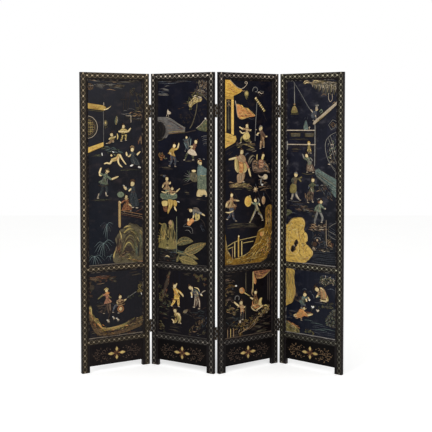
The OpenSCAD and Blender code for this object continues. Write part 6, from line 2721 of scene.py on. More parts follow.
    ridges(
        art, [[(200, 1310), (204, 1290), (202, 1262)], [(224, 1310), (236, 1290), (240, 1262)]], 12,
        ("bone", "slate", "ash", "hair", "jade"), 5, 4.8, 0.6
    )
    ridges(
        art, [[(204, 1262), (204, 1240), (198, 1220)], [(236, 1262), (244, 1240), (254, 1220)]], 10,
        ("bone", "tan", "hair", "tan"), 5, 4.6, 0.6
    )
    art.dome("ash", (212, 1284), 9, 8, 5.2)
    art.stroke("stone", [(160, 1214), (200, 1208), (252, 1214)], [4, 7, 4], 2.4)
    for low, high, wide in ((1352, 1414, 58), (1258, 1296, 60)):
        art.patch(
            "ash",
            [(42, low), (44, high - 10), (wide - 4, high), (wide, (low + high) / 2), (wide - 4, low + 4)],
            2.6
        )
    figure(
        art, (118, 1202), (104, 1136), ([(140, 1176), (158, 1160)], [(150, 1184), (164, 1190)]),
        ([(92, 1072), (82, 1050)], [(122, 1070), (146, 1046)]), "stone", "ash", "ash", 15, 1.7, hat="ash",
        arms="olive"
    )
    art.strokes(
        "bone", [[(94, 1084), (90, 1066), (82, 1052)], [(116, 1084), (128, 1066), (144, 1050)]],
        [6, 11, 7], 4.2
    )
    art.patch(
        "olive", [(78, 1136), (96, 1146), (120, 1138), (122, 1096), (96, 1084), (74, 1092)], 4.6,
        carve=waves(60, 9, 0.9)
    )
    ridges(
        art, [[(92, 1190), (84, 1160), (84, 1138)], [(128, 1186), (130, 1160), (124, 1138)]], 12,
        ("olive", "ash", "tan", "dusk", "sage"), 6, 4.9, 0.6
    )
    ridges(
        art, [[(80, 1134), (80, 1110), (78, 1092)], [(118, 1136), (120, 1112), (118, 1094)]], 10,
        ("straw", "olive", "hair", "straw"), 5, 5.3, 0.7
    )
    art.stroke("ash", [(58, 1040), (100, 1036), (150, 1036)], [2, 4, 2], 2.0)
    figure(
        art, (243, 1174), (236, 1112), ([(214, 1134), (212, 1118)], [(264, 1142), (288, 1144)]),
        ([(200, 1072), (206, 1034)], [(236, 1070), (240, 1040)]), "moss", "vine", "jade", 14, 1.4,
        arms="slate"
    )
    ridges(
        art, [[(204, 1096), (200, 1066), (204, 1042)], [(242, 1096), (246, 1066), (242, 1044)]], 12,
        ("tan", "umber", "stone", "hair", "vine"), 6, 4.0, 0.6
    )
    art.strokes(
        "bone",
        [[(204, 1054), (203, 1038)], [(242, 1056), (241, 1042)], [(226, 1126), (236, 1110), (240, 1096)]],
        [4, 6, 4], 4.6
    )
    art.strokes(
        "ash", [[(298, 1140), (308, 1146), (318, 1142)], [(210, 1140), (216, 1126)]], [4, 7, 4], 4.4
    )
    art.strokes("tan", [[(268, 1106), (290, 1112)], [(186, 1090), (190, 1060)]], 6, 2.6)
    figure(
        art, (303, 1044), (286, 990), ([(264, 1004), (258, 984)], [(318, 1006), (334, 1003)]),
        ([(262, 940), (256, 910)], [(312, 944), (304, 918)]), "jade", "ash", "teal", 13, 1.7, arms="jade"
    )
    ridges(
        art, [[(278, 1032), (268, 1000), (262, 966)], [(308, 1028), (306, 1000), (306, 966)]], 12,
        ("ash", "jade", "moss", "ash", "bone"), 5, 4.8, 0.45
    )
    art.stroke("ash", [(276, 1052), (286, 1062), (298, 1062)], [6, 8, 6], 5.4)
    art.dome("bone", (333, 1003), 7, 6, 5)
    art.strokes(
        "slate",
        [[(350, 1110), (380, 1080)], [(300, 1130), (316, 1104), (330, 1090)], [(320, 1130), (334, 1110)]],
        5, 1.6
    )
    art.dome("rust", (288, 1041), 9, 10, 4.6, 30)
    art.stroke("hair", ring_path((288, 1041), 6, 60, 200), 3, 5.2)
    tangle(
        art, [(110, 1004), (180, 990), (256, 982)], 18, 30, 34, ("umber", "dusk", "vine", "umber"), 8,
        1.6, 12
    )
    art.dome("tan", (276, 806), 8, 9, 3.4)
    art.dome("bone", (275, 805), 4, 5, 4.2)
    art.patch(
        "hair", [(240, 778), (252, 796), (268, 794), (276, 780), (262, 764), (246, 768)], 2.8,
        carve=waves(40, 8, 0.7)
    )
    art.strokes("ash", [[(276, 824), (292, 820), (302, 806)], [(262, 812), (268, 826)]], [4, 7, 4], 2.6)
    art.strokes(
        "slate", [[(240, 856), (246, 836), (240, 810)], [(284, 852), (300, 846), (306, 830)]], [3, 5, 3],
        1.8
    )
    art.hang()

    art = Relief(leaf, "upper_garden")
    canopy = [
        (168, 1766), (176, 1784), (200, 1788), (224, 1776), (262, 1784), (300, 1788), (344, 1772),
        (412, 1770), (413, 1738), (352, 1742), (318, 1736), (290, 1744), (262, 1750), (230, 1758),
        (200, 1768), (182, 1760)
    ]
    art.patch("stone", canopy, 2.0, 9, carve=waves(80, 14, 1.0, 5, 50))
    ridges(
        art,
        [
            [(176, 1780), (240, 1774), (300, 1784), (410, 1766)],
            [(200, 1768), (262, 1754), (330, 1746), (410, 1744)]
        ],
        24, ("stone", "bone", "ash", "umber", "olive"), 5, 2.8, 0.3
    )
    foliage(
        art, ("cream", "bone", "tan"),
        [(186, 1776), (206, 1778), (238, 1766), (262, 1774), (290, 1778), (308, 1768)], 5, 13, 8, 3.2
    )
    foliage(
        art, ("stone", "ash"),
        [(280, 1756), (310, 1752), (336, 1752), (362, 1760), (392, 1756), (406, 1740)], 6, 15, 8
    )
    tangle(
        art, [(300, 1752), (350, 1750), (406, 1752)], 20, 44, 22,
        ("bone", "ash", "olive", "umber", "bone"), 5, 3.2, 40
    )
    art.strokes(
        "cream",
        [
            [(172, 1770), (184, 1782), (202, 1784)], [(178, 1764), (194, 1772), (208, 1770)],
            [(240, 1778), (262, 1784), (284, 1776)]
        ],
        [5, 9, 5], 3.4
    )
    for k in range(26):
        u, drop = 232 + 6.8 * k, min(58, 16 + 3.2 * k) * (0.8 + 0.1 * (k % 4))
        art.stroke(
            ("bone", "stone", "ash", "olive")[k % 4],
            [(u, 1758), (u + 7, 1756 - drop / 2), (u + 4, 1756 - drop)], [5, 5, 2.5], 2.8
        )
    art.strokes("bone", [[(352, 1706), (352, 1672), (364, 1652), (378, 1668), (376, 1700)]], 4.5, 2.6)
    art.strokes(
        "tan", [[(300, 1690), (318, 1700), (336, 1690)], [(380, 1640), (396, 1650), (408, 1640)]],
        [3, 5, 3], 2.2
    )
    rock = [
        (41, 882), (58, 890), (74, 908), (90, 926), (118, 932), (150, 940), (174, 934), (188, 914),
        (188, 890), (180, 868), (186, 852), (200, 840), (208, 820), (206, 796), (194, 784), (200, 774),
        (226, 752), (247, 730), (244, 708), (224, 688), (204, 668), (184, 656), (41, 656)
    ]
    art.patch("gilt", rock, 3.6, 14, carve=waves(70, 24, 1.6, 10, 80), mesh=4.5)
    ridges(
        art,
        [[(60, 886), (92, 918), (140, 930), (180, 918)], [(60, 860), (92, 888), (140, 900), (176, 886)]],
        10, ("straw", "gilt", "straw", "tan"), 6, 4.4, 0.5
    )
    ridges(
        art, [[(50, 870), (54, 780), (50, 680)], [(104, 880), (84, 790), (80, 690)]], 14,
        ("straw", "gilt", "olive", "tan", "straw"), 8, 4.4, 0.3
    )
    ridges(
        art,
        [
            [(130, 900), (124, 850), (140, 790), (150, 700)],
            [(176, 876), (190, 820), (184, 780), (190, 690)]
        ],
        18, ("straw", "gilt", "olive", "gilt", "tan"), 7, 4.4, 0.28
    )
    ridges(
        art,
        [
            [(60, 690), (130, 684), (214, 716), (240, 728)],
            [(60, 662), (130, 660), (184, 666), (210, 684)]
        ],
        18, ("straw", "tan", "gilt", "olive"), 7, 4.4, 0.35
    )
    tangle(art, [(60, 850), (110, 880), (160, 890)], 22, 14, 34, ("straw", "gilt"), 12, 5.1, 30)
    tangle(art, [(70, 830), (64, 760), (60, 690)], 18, 10, 36, ("straw", "gilt"), 12, 5.1, 20)
    tangle(
        art, [(160, 840), (170, 770), (196, 720)], 24, 18, 30, ("amber", "straw", "gilt", "straw"), 10,
        5.1, 30
    )
    tangle(art, [(60, 672), (130, 668), (196, 684)], 14, 12, 34, ("amber", "tan", "straw"), 9, 5.1, 15)
    edge = [
        [(42, 882), (60, 892), (90, 926), (150, 938), (176, 930), (187, 906), (180, 868)],
        [(186, 852), (202, 836), (206, 800), (196, 786)],
        [(206, 770), (228, 750), (245, 728), (226, 692), (200, 668)]
    ]
    art.strokes("straw", edge, [2.5, 4, 2.5], 4.8)
    art.strokes(
        "hair",
        [
            [(140, 896), (138, 860), (146, 820), (150, 800)], [(186, 856), (176, 836), (160, 828)],
            [(194, 784), (176, 776), (158, 780)], [(200, 776), (170, 756), (148, 760)],
            [(42, 700), (80, 690), (120, 696)]
        ],
        [2, 5, 2.5], 5.0
    )
    art.strokes(
        "olive",
        [
            [(178, 900), (164, 868), (150, 850)], [(146, 740), (150, 710), (176, 690)],
            [(60, 830), (84, 806), (96, 800)], [(206, 760), (190, 738), (196, 716)],
            [(120, 896), (112, 860), (118, 826)], [(60, 866), (72, 850), (90, 856)]
        ],
        [2, 5, 2], 5.0
    )
    art.strokes(
        "cream",
        [
            [(66, 894), (84, 912), (104, 926)], [(150, 934), (172, 926), (182, 908)],
            [(200, 834), (205, 812), (200, 798)], [(236, 744), (243, 728), (234, 708)],
            [(128, 870), (130, 840), (138, 812)], [(56, 720), (62, 690)]
        ],
        [2, 4.5, 2], 5.2
    )
    art.stroke(
        "cream",
        [
            (104 + 31 * math.cos(a) - 16 * math.sin(a), 748 + 10 * math.cos(a) + 42 * math.sin(a))
            for a in np.linspace(0, 6.28, 15)
        ],
        4.5, 4.9
    )
    for centre, wide, tall, lean in (((122, 775), 13, 23, -20), ((101, 740), 16, 26, -30)):
        art.dome("hair", centre, wide + 4, tall + 4, 5.2, lean)
        art.dome("ink", centre, wide, tall, 5.6, lean)
    art.stroke("bone", [(98, 756), (110, 762), (106, 742)], [4, 6, 3], 5.8)
    tangle(
        art, [(214, 884), (270, 880), (330, 884)], 20, 56, 28,
        ("vine", "tan", "umber", "stone", "bone", "vine"), 7, 2.6, 14
    )
    tangle(
        art, [(240, 820), (300, 812), (330, 760)], 30, 36, 22, ("slate", "dusk", "umber", "vine"), 5, 2.0,
        60
    )
    tangle(
        art, [(236, 750), (300, 748), (376, 756)], 10, 26, 20, ("tan", "stone", "umber", "bone"), 5, 2.4,
        30
    )
    tangle(art, [(352, 780), (376, 790)], 18, 12, 20, ("rust", "vine", "tan"), 5, 2.2, 60)
    ridges(
        art, [[(150, 992), (196, 994), (240, 984)], [(170, 976), (206, 980), (236, 972)]], 12,
        ("stone", "umber", "roof"), 7, 2.2, 0.4
    )
    earth(
        art,
        [
            (56, 1030, 170), (60, 1012, 120), (44, 966, 100), (150, 1004, 70), (250, 866, 80),
            (230, 950, 50)
        ],
        ("umber", "stone", "slate")
    )
    art.patch("moss", [(42, 950), (46, 976), (66, 984), (92, 968), (70, 950), (52, 942)], 1.8)
    ridges(
        art, [[(46, 974), (66, 978), (90, 968)], [(46, 950), (66, 954), (84, 962)]], 6,
        ("ash", "olive", "moss"), 5, 2.6, 0.6
    )
    foliage(art, ("tan", "stone"), [(346, 782), (364, 790), (352, 806), (366, 812)], 6, 15)
    foliage(
        art, ("stone", "umber", "ash"),
        [(236, 786), (250, 776), (262, 752), (290, 748), (320, 746), (350, 752), (244, 760), (374, 762)],
        6, 15
    )
    water = [
        [
            (236 + 8 * (k % 3), 738 - 11 * k), (300, 742 - 12 * k + 4 * (k % 2)), (360, 738 - 11 * k),
            (412, 744 - 11 * k)
        ]
        for k in range(7)
    ]
    art.strokes("slate", water, [1.5, 3.5, 3, 1.5], 1.3)
    art.hang()


def leaf_4_lower(leaf):
    """The lower panel's scene."""
    art = Relief(leaf, "lower_scene")
    cliff = [
        (41, 606), (108, 606), (110, 560), (112, 520), (120, 486), (120, 456), (108, 426), (94, 398),
        (70, 384), (41, 372)
    ]
    art.patch("gilt", cliff, 3.4, 10, carve=waves(8, 22, 1.3, 8, 80))
    ridges(
        art,
        [
            [(46, 600), (48, 500), (46, 390)], [(76, 600), (76, 500), (66, 396)],
            [(104, 600), (108, 520), (112, 460), (86, 400)]
        ],
        44, ("olive", "straw", "tan", "olive", "gilt", "moss", "stone"), 7, 4.2, 0.3
    )
    art.strokes(
        "tan", [[(108, 500), (117, 476), (112, 446), (98, 412)], [(60, 392), (80, 398), (96, 414)]],
        [3, 6, 3], 4.8
    )
    figure(
        art, (188, 460), (168, 410), ([(194, 434), (204, 416)], [(210, 444), (222, 432)]),
        ((160, 372), (190, 374)), "teal", "slate", "jade", 15, 1.6
    )
    ridges(
        art, [[(176, 440), (164, 416), (158, 390)], [(200, 438), (196, 416), (188, 394)]], 10,
        ("jade", "moss", "olive", "ash"), 5, 4.9, 0.6
    )
    art.dome("pearl", (221, 430), 8, 8, 3.4)
    art.strokes(
        "slate",
        [
            [(214, 476), (226, 486), (236, 474)], [(236, 470), (250, 460), (256, 440)],
            [(170, 488), (184, 496), (200, 492)]
        ],
        [4, 8, 5], 2.4
    )
    figure(
        art, (276, 504), (318, 468), ([(284, 468), (272, 452)], [(340, 452), (356, 446)]),
        ([(330, 448), (312, 434)], [(350, 450), (344, 434)]), "tan", "straw", "rust", 17, 1.8, look=-1
    )
    art.patch(
        "tan", [(300, 512), (324, 514), (342, 492), (350, 464), (340, 446), (320, 450), (306, 480)], 4.2,
        carve=waves(-30, 12, 0.8)
    )
    art.strokes(
        "cream", [[(296, 514), (312, 511), (328, 500)], [(300, 442), (318, 436), (340, 438), (356, 448)]],
        [8, 12, 8], 5.0
    )
    art.strokes(
        "orange", [[(306, 506), (314, 484), (314, 456)], [(330, 498), (340, 476), (334, 452)]], [5, 9, 5],
        5.0
    )
    art.strokes(
        "straw", [[(320, 506), (328, 482), (324, 454)], [(352, 474), (352, 458), (344, 446)]], [4, 8, 5],
        5.1
    )
    art.strokes(
        "hair",
        [
            [(296, 502), (300, 480), (300, 458)], [(322, 500), (322, 476)],
            [(312, 446), (330, 444), (346, 450)]
        ],
        [3, 5, 3], 5.2
    )
    art.stroke("olive", [(340, 446), (354, 452), (362, 462)], [7, 10, 6], 4.6)
    art.stroke("jade", [(268, 452), (284, 456), (302, 462)], [6, 9, 6], 4.0)
    art.strokes("umber", [[(244, 500), (262, 530), (282, 540)], [(252, 480), (246, 500)]], [4, 6, 4], 2.0)
    figure(
        art, (184, 372), (160, 340), ([(130, 330), (106, 320)], [(210, 330), (248, 344)]),
        ([(130, 306), (108, 312)], [(160, 310), (160, 296)]), "orange", "tan", "tan", 12, 1.5
    )
    art.patch(
        "orange", [(108, 316), (134, 340), (150, 364), (176, 360), (192, 340), (176, 318), (140, 306)],
        3.8, 7, carve=waves(40, 11, 1.0)
    )
    ridges(
        art, [[(118, 326), (146, 350), (176, 356)], [(120, 314), (150, 314), (184, 332)]], 12,
        ("tan", "straw", "rust", "orange"), 5, 4.8, 0.5
    )
    art.strokes("orange", [[(182, 330), (206, 330), (226, 336), (248, 346)]], [15, 12, 9, 6], 4.4)
    art.strokes(
        "cream", [[(104, 322), (116, 314), (134, 312)], [(196, 338), (224, 342), (246, 348)]], [5, 8, 4],
        4.9
    )
    art.stroke("rust", [(196, 352), (222, 350), (238, 356)], [6, 8, 4], 3.4)
    for centre, finish in (((248, 388), "pearl"), ((284, 370), "bone")):
        art.dome(finish, centre, 11, 7, 3.0, 40)
        art.dome(finish, np.add(centre, (-9, 3)), 7, 4, 3.0, -40)
        art.dome("hair", np.add(centre, (4, -6)), 5, 3, 3.4)
    foliage(art, "moss", [(262, 396), (292, 390), (240, 376)], 6, 13)
    swirl = [
        [(290, 548), (312, 566), (340, 556)], [(316, 540), (344, 560), (372, 552)],
        [(340, 572), (368, 576), (396, 560)], [(300, 530), (350, 536), (392, 530)],
        [(364, 548), (388, 556), (402, 544)]
    ]
    art.strokes("olive", swirl[::2], [3, 5, 3], 2.4)
    foliage(
        art, ("sage", "ash", "stone", "dusk", "bone"),
        [
            (304, 552), (326, 562), (350, 552), (372, 560), (394, 552), (330, 540), (310, 574),
            (340, 578), (366, 580), (388, 572)
        ],
        8, 18, 8
    )
    art.strokes(
        "stone", [[(322, 520), (350, 540), (392, 556)], [(300, 536), (330, 546), (356, 566)]], [4, 6, 3],
        3.0
    )
    art.strokes(
        "slate",
        [
            [(304, 586), (330, 592), (360, 586)], [(330, 576), (380, 582), (408, 578)],
            [(350, 510), (380, 516), (404, 508)]
        ],
        [4, 7, 4], 1.8
    )
    shrub = [
        (352, 300), (372, 292), (396, 288), (348, 324), (370, 318), (396, 314), (362, 342), (386, 340),
        (406, 336), (378, 362), (400, 362), (392, 384), (408, 388)
    ]
    foliage(art, ("moss", "dusk", "umber"), shrub, 10, 19, 8, 2.0)
    foliage(art, ("stone", "ash", "sage", "ash"), shrub, 8, 13, 8, 3.0)
    tangle(art, [(96, 470), (120, 440), (150, 420)], 22, 22, 28, ("umber", "vine", "umber"), 6, 1.6, 50)
    tangle(art, [(300, 410), (340, 400), (390, 416)], 20, 24, 26, ("stone", "umber", "moss"), 6, 1.8, 40)
    water = [
        (230, 320, 288), (250, 356, 276), (240, 300, 264), (300, 412, 262), (220, 290, 246),
        (296, 410, 240), (180, 250, 300), (200, 300, 232), (330, 412, 228), (260, 350, 252)
    ]
    for k, (low, high, z) in enumerate(water):
        art.stroke(
            ("teal", "slate", "slate")[k % 3], [(low, z), ((low + high) / 2, z + 3), (high, z - 1)],
            [2, 4.5, 2], 1.6
        )
    art.patch(
        "olive", [(41, 282), (64, 272), (92, 262), (118, 256), (142, 240), (150, 214), (41, 214)], 3.0,
        10, carve=waves(60, 14, 1.0)
    )
    tangle(
        art, [(50, 258), (90, 244), (134, 226)], 18, 44, 20,
        ("straw", "hair", "sage", "olive", "bone", "ink"), 6, 4.4, 35
    )
    tangle(art, [(48, 280), (90, 266), (140, 248)], 5, 20, 24, ("orange", "rust", "tan"), 5, 4.4, 12)
    tangle(
        art, [(184, 228), (214, 236), (244, 228)], 14, 30, 20, ("moss", "olive", "dusk", "umber"), 6, 2.8,
        35
    )
    earth(
        art,
        [(44, 344, 110), (110, 414, 60), (230, 424, 180), (44, 300, 60), (60, 320, 50), (300, 400, 100)],
        ("umber", "slate", "umber")
    )
    art.hang()


# ---------------------------------------------------------------- aprons


# The flower's middle (u, z), and the paint of its tendrils
APRON_WORK = {1: (229, 101, "vine"), 2: (229, 101, "vine"), 3: (222, 104, "vine"), 4: (229, 101, "tan")}
# Right of it: curls as (across, up, radius, first angle, sweep), the stem as (across, up), and the
# small leaves as (across, up, lean). The left side mirrors them.
APRON_CURLS = (
    (88, 16, 14, 200, -330), (88, -16, 14, 160, 330), (118, 24, 13, 240, 300),
    (118, -22, 13, 120, -300), (62, 34, 10, 260, 280), (62, -34, 10, 100, -280),
    (142, 14, 9, 200, -300), (140, -14, 9, 160, 300), (104, 40, 7, 250, 280), (102, -40, 7, 110, -280),
)
APRON_STEM = ((66, 1), (84, 5), (104, 2), (126, -2), (152, 3), (166, 10))
APRON_LEAVES = (
    (104, 10, 30), (128, 8, -30), (152, -4, 20), (80, 26, 60), (80, -26, -60),
    (44, 28, 40), (44, -29, -40), (132, 34, 50), (132, -30, -50),
)
# A petal's outline between its ends, as (along, across)
PETAL_SHAPE = ((0.36, 0.62), (0.56, 1), (0.76, 0.7))


def apron_flower(leaf):
    """A four-petalled gilt flower with a russet heart, between thin scrolled tendrils."""
    art = Relief(leaf, "apron_flower", APRON_FACE, "apron_lacquer")
    u, z, vine = APRON_WORK[leaf.number]
    centre = np.array((u, z), float)
    for k in range(12):
        out = turned((1, 0), 30 * k + 15)
        reach = (26, 34, 26)[k % 3]
        ray = [centre + out * 8, centre + out * reach * 0.6 + turned(out, 90) * 2, centre + out * reach]
        art.stroke("rust", ray, [4, 3, 1.2], 0.8)
    for angle, reach in ((0, 64), (180, 64), (90, 43), (270, 43)):
        out, side = turned((1, 0), angle), turned((0, 1), angle)

        def petal(wide, start, end):
            shape = ((start, 0.12), *PETAL_SHAPE, (end, 0.04))
            near = [centre + out * reach * a + side * wide * b for a, b in shape]
            return near + [centre + out * reach * a - side * wide * b for a, b in shape[::-1]]

        art.patch("rust", petal(13.5, 0.06, 1.03), 0.6, 4, curved=False)
        art.patch("straw", petal(10, 0.26, 0.98), 1.1, 5, curved=False)
        art.stroke("gilt", [centre + out * reach * t for t in (0.2, 0.5, 0.8)], [3, 4, 1.5], 1.5)
        for sign in (-1, 1):
            vein = [centre + out * reach * 0.2, centre + out * reach * 0.42 + side * 4.5 * sign]
            art.stroke("rust", vein, [2.4, 1.2], 1.4)
    art.dome("hair", (u, z), 6, 6, 1.2, sides=12)
    art.dome("orange", (u, z), 2.6, 2.6, 1.6)

    for sign in (-1, 1):
        for du, dz, radius, start, sweep in APRON_CURLS:
            first = start if sign > 0 else 180 - start
            art.stroke(vine, spiral((u + sign * du, z + dz), radius, first, sweep * sign), 2.4, 0.7)
        stem = [(u + sign * a, z + b) for a, b in APRON_STEM]
        art.stroke(vine, stem, [1.6, 2.4, 2.4, 2.2, 2, 1.2], 0.8)
        for du, dz, lean in APRON_LEAVES:
            art.dome(vine, (u + sign * du, z + dz), 6, 2.2, 0.7, lean if sign > 0 else 180 - lean)
    art.hang()


# ---------------------------------------------------------------- borders


STRAND_SIDES, STRAND_STEPS = 6, 8  # round a strand, and along it from one crossing to the next
RAIL_MIDDLES, RAIL_INSET = (1811.0, 634.0, 187.0), BAND_IN + 8  # of the borders along the rails
BAND_MIDDLE = 17.0  # in from the stile's outer edge
BAND_END = 7.5  # in from the stile's ends, so that the last studs stay on the stile
BORDER_SIZES = {
    "Crossing Pitch": 34.5, "Sway": 12.0, "Strand Width": 3.6, "Strand Rise": 0.5, "Strand Lift": 0.8,
    "Stud Size": 8.0, "Stud Length": 14.0, "Stud Rise": 1.1,
    "Bud Size": 4.2, "Bud Length": 6.0, "Bud Rise": 0.35,
}
# Paints by leaf, each drawn lighter or darker as painted light for how the light falls on that leaf: each
# strand's tone and its duller one, its painted light high up, by the middle rail and low, and the studs' tone
STRAND_TONE = {
    1: ((104, 88, 60), (66, 54, 38)), 2: ((84, 78, 68), (54, 49, 43)),
    3: ((66, 58, 50), (44, 38, 34)), 4: ((98, 92, 72), (64, 58, 45)),
}
BORDER_PAINTED_LIGHT = {1: (1.0, 0.95, 0.54), 2: (2.2, 0.92, 0.58), 3: (2.6, 0.66, 0.55), 4: (1.15, 0.9, 0.3)}
STUD_TONE = {1: (192, 172, 140), 2: (180, 168, 152), 3: (142, 130, 116), 4: (192, 184, 156)}
BUD_DULL = (40, 34, 26)
STRAND_ROUGH, STUD_ROUGH, BUD_ROUGH = 0.42, 0.38, 0.5
PAINTED_LIGHT_HEIGHTS = ((1740, 1800), (760, 660), (560, 240))
WORN_THROUGH = (40, 34, 28)


def band_paint(name, tone, dull, rough, painted_light):
    """Worn olive-gold or shell-coloured work. Painted light scales its colour high up, by the middle rail and
    low.
    """
    it = Finish(name)
    z = Number(it, it.node("ShaderNodeSeparateXYZ", sockets={0: it.place}).outputs["Z"]) * 1000
    patch, speck = it.noise(60, 4, 0.6), it.noise(3, 3, 0.6)
    body = it.mix(it.ramp(patch, 0.3, 0.7), colour(*tone), colour(*dull))
    worn = it.ramp(speck + patch * 0.3, 0.78, 0.9)
    body = it.mix(worn * 0.7, body, colour(*WORN_THROUGH))
    # Painted light: the colour scaled lighter or darker by height, for how the light falls high up, by the
    # middle rail and low
    top, middle, low = (it.ramp(z, *heights) for heights in PAINTED_LIGHT_HEIGHTS)
    light = top * (painted_light[0] - 1) + middle * (painted_light[1] - 1) + low * (painted_light[2] - painted_light[1]) + 1
    body = it.node("ShaderNodeVectorMath", {"operation": "SCALE"}, {0: body, "Scale": light}).outputs[0]
    return it.finish(Base_Color=body, Roughness=rough + worn * 0.2, Normal=it.bump(speck, METAL_BUMP))


def border_tree():
    """Geometry nodes: two strands that cross along a line, a stud on each crossing and a bud in each eye."""
    it = NodeMaker(bpy.data.node_groups.new("crossed_strand_border", "GeometryNodeTree"))
    inputs = {}

    def add_input(name, kind, value=None):
        made = it.tree.interface.new_socket(name, in_out="INPUT", socket_type=f"NodeSocket{kind}")
        if value is not None:
            made.default_value = value
        inputs[name] = made.identifier

    add_input("Geometry", "Geometry")
    for name, value in BORDER_SIZES.items():
        add_input(name, "Float", value / 1000)
    add_input("Strand Sides", "Int", STRAND_SIDES)
    add_input("Facing", "Vector", (0, -1, 0))
    add_input("Face Distance", "Float", 0.0)
    for name in ("Strand Finish", "Stud Finish", "Bud Finish"):
        add_input(name, "Material")
    it.tree.interface.new_socket("Border", in_out="OUTPUT", socket_type="NodeSocketGeometry")
    given = it.node("NodeGroupInput").outputs
    facing = given["Facing"]

    def first(kind, settings=(), sockets=()):
        """A new node's first output."""
        return it.node(kind, settings, sockets).outputs[0]

    def size(name):
        return Number(it, given[name])

    def scaled(direction, amount):
        return first("ShaderNodeVectorMath", {"operation": "SCALE"}, {0: direction, "Scale": amount})

    line = first("GeometryNodeMeshToCurve", (), {"Mesh": given["Geometry"]})
    length = Number(it, first("GeometryNodeSplineLength"))
    crossings = it.maths("ROUND", length / size("Crossing Pitch"))
    phase = Number(it, first("GeometryNodeSplineParameter")) * crossings * math.pi
    sway, over = it.maths("SINE", phase), it.maths("COSINE", phase)
    tangent = first("GeometryNodeInputTangent")
    side = first("ShaderNodeVectorMath", {"operation": "CROSS_PRODUCT"}, {0: facing, 1: tangent})

    def resampled(each_crossing):
        sockets = {"Curve": line, "Count": crossings * each_crossing + 1}
        return first("GeometryNodeResampleCurve", {"mode": "COUNT"}, sockets)

    def flattened(geometry, rise, across):
        """Presses round work down to its rise over the frame's face."""
        sockets = {0: first("GeometryNodeInputPosition"), 1: facing}
        distance = it.node("ShaderNodeVectorMath", {"operation": "DOT_PRODUCT"}, sockets).outputs["Value"]
        height = Number(it, distance) - size("Face Distance")
        offset = scaled(facing, height * (rise * 2 / across - 1))
        return first("GeometryNodeSetPosition", (), {"Geometry": geometry, "Offset": offset})

    def finished(geometry, finish):
        """Real, smooth and in its finish, on its way to the join."""
        real = first("GeometryNodeRealizeInstances", (), {"Geometry": geometry})
        smooth = first("GeometryNodeSetShadeSmooth", (), {"Geometry": real})
        sockets = {"Geometry": smooth, "Material": given[finish]}
        it.tree.links.new(first("GeometryNodeSetMaterial", (), sockets), join.inputs[0])

    join = it.node("GeometryNodeJoinGeometry")
    fine = resampled(STRAND_STEPS)
    sockets = {"Resolution": given["Strand Sides"], "Radius": size("Strand Width") / 2}
    profile = first("GeometryNodeCurvePrimitiveCircle", (), sockets)
    for sign in (-1, 1):
        across = scaled(side, sway * size("Sway") * sign)
        lift = scaled(facing, over * size("Strand Lift") * sign)
        offset = first("ShaderNodeVectorMath", {"operation": "ADD"}, {0: across, 1: lift})
        strand = first("GeometryNodeSetPosition", (), {"Geometry": fine, "Offset": offset})
        sockets = {"Curve": strand, "Profile Curve": profile, "Fill Caps": True}
        tube = first("GeometryNodeCurveToMesh", (), sockets)
        finished(flattened(tube, size("Strand Rise"), size("Strand Width")), "Strand Finish")
    places = resampled(2)
    in_eye = it.maths("GREATER_THAN", it.maths("ABSOLUTE", sway), 0.5)
    along = first("FunctionNodeAlignRotationToVector", {"axis": "Z"}, {"Vector": tangent})
    for where, kind in ((1.0 - in_eye, "Stud"), (in_eye, "Bud")):
        wide = size(f"{kind} Size")
        ball = first("GeometryNodeMeshIcoSphere", (), {"Radius": wide / 2, "Subdivisions": 2})
        stretch = first("ShaderNodeCombineXYZ", (), {0: 1.0, 1: 1.0, 2: size(f"{kind} Length") / wide})
        sockets = {
            "Points": places, "Selection": where, "Instance": ball, "Rotation": along, "Scale": stretch
        }
        balls = first("GeometryNodeInstanceOnPoints", (), sockets)
        real = first("GeometryNodeRealizeInstances", (), {"Geometry": balls})
        finished(flattened(real, size(f"{kind} Rise"), wide), f"{kind} Finish")
    it.node("NodeGroupOutput", (), {0: join.outputs[0]})
    return it.tree, inputs


BORDER_TREE, BORDER_INPUTS = border_tree()


def border(leaf):
    """The border round a leaf's frame, up both stiles and along the three rails."""
    lines = [((u, BAND_END), (u, LEAF_H - BAND_END)) for u in (BAND_MIDDLE, LEAF_W - BAND_MIDDLE)]
    lines += [((RAIL_INSET, z), (LEAF_W - RAIL_INSET, z)) for z in RAIL_MIDDLES]
    ends = [(u, 0.0, z) for line in lines for u, z in line]
    name = f"{leaf.body}_border"
    mesh = bpy.data.meshes.new(name)
    mesh.from_pydata(
        [tuple(p) for p in leaf.place(ends)], [(2 * k, 2 * k + 1) for k in range(len(lines))], []
    )
    source = bpy.data.objects.new(name + "_lines", mesh)
    bpy.context.scene.collection.objects.link(source)
    modifier = source.modifiers.new("border", "NODES")
    modifier.node_group = BORDER_TREE
    modifier[BORDER_INPUTS["Facing"]] = tuple(float(part) for part in -leaf.back)
    modifier[BORDER_INPUTS["Face Distance"]] = float(-leaf.back @ leaf.place([(0, 0, 0)])[0])
    tone, dull = STRAND_TONE[leaf.number]
    paints = {
        "Strand": (tone, dull, STRAND_ROUGH),
        "Stud": (STUD_TONE[leaf.number], tone, STUD_ROUGH),
        "Bud": (dull, BUD_DULL, BUD_ROUGH),
    }
    for part, looks in paints.items():
        paint = band_paint(f"border_{part.lower()}_{leaf.number}", *looks, BORDER_PAINTED_LIGHT[leaf.number])
        modifier[BORDER_INPUTS[part + " Finish"]] = paint
    bpy.context.view_layer.update()
    made = bpy.data.meshes.new_from_object(source.evaluated_get(bpy.context.evaluated_depsgraph_get()))
    bpy.data.objects.remove(source)
    made.name = name
    piece = bpy.data.objects.new(name, made)
    bpy.context.scene.collection.objects.link(piece)
    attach(piece, leaf.body)


for leaf in LEAVES.values():
    border(leaf)
    apron_flower(leaf)

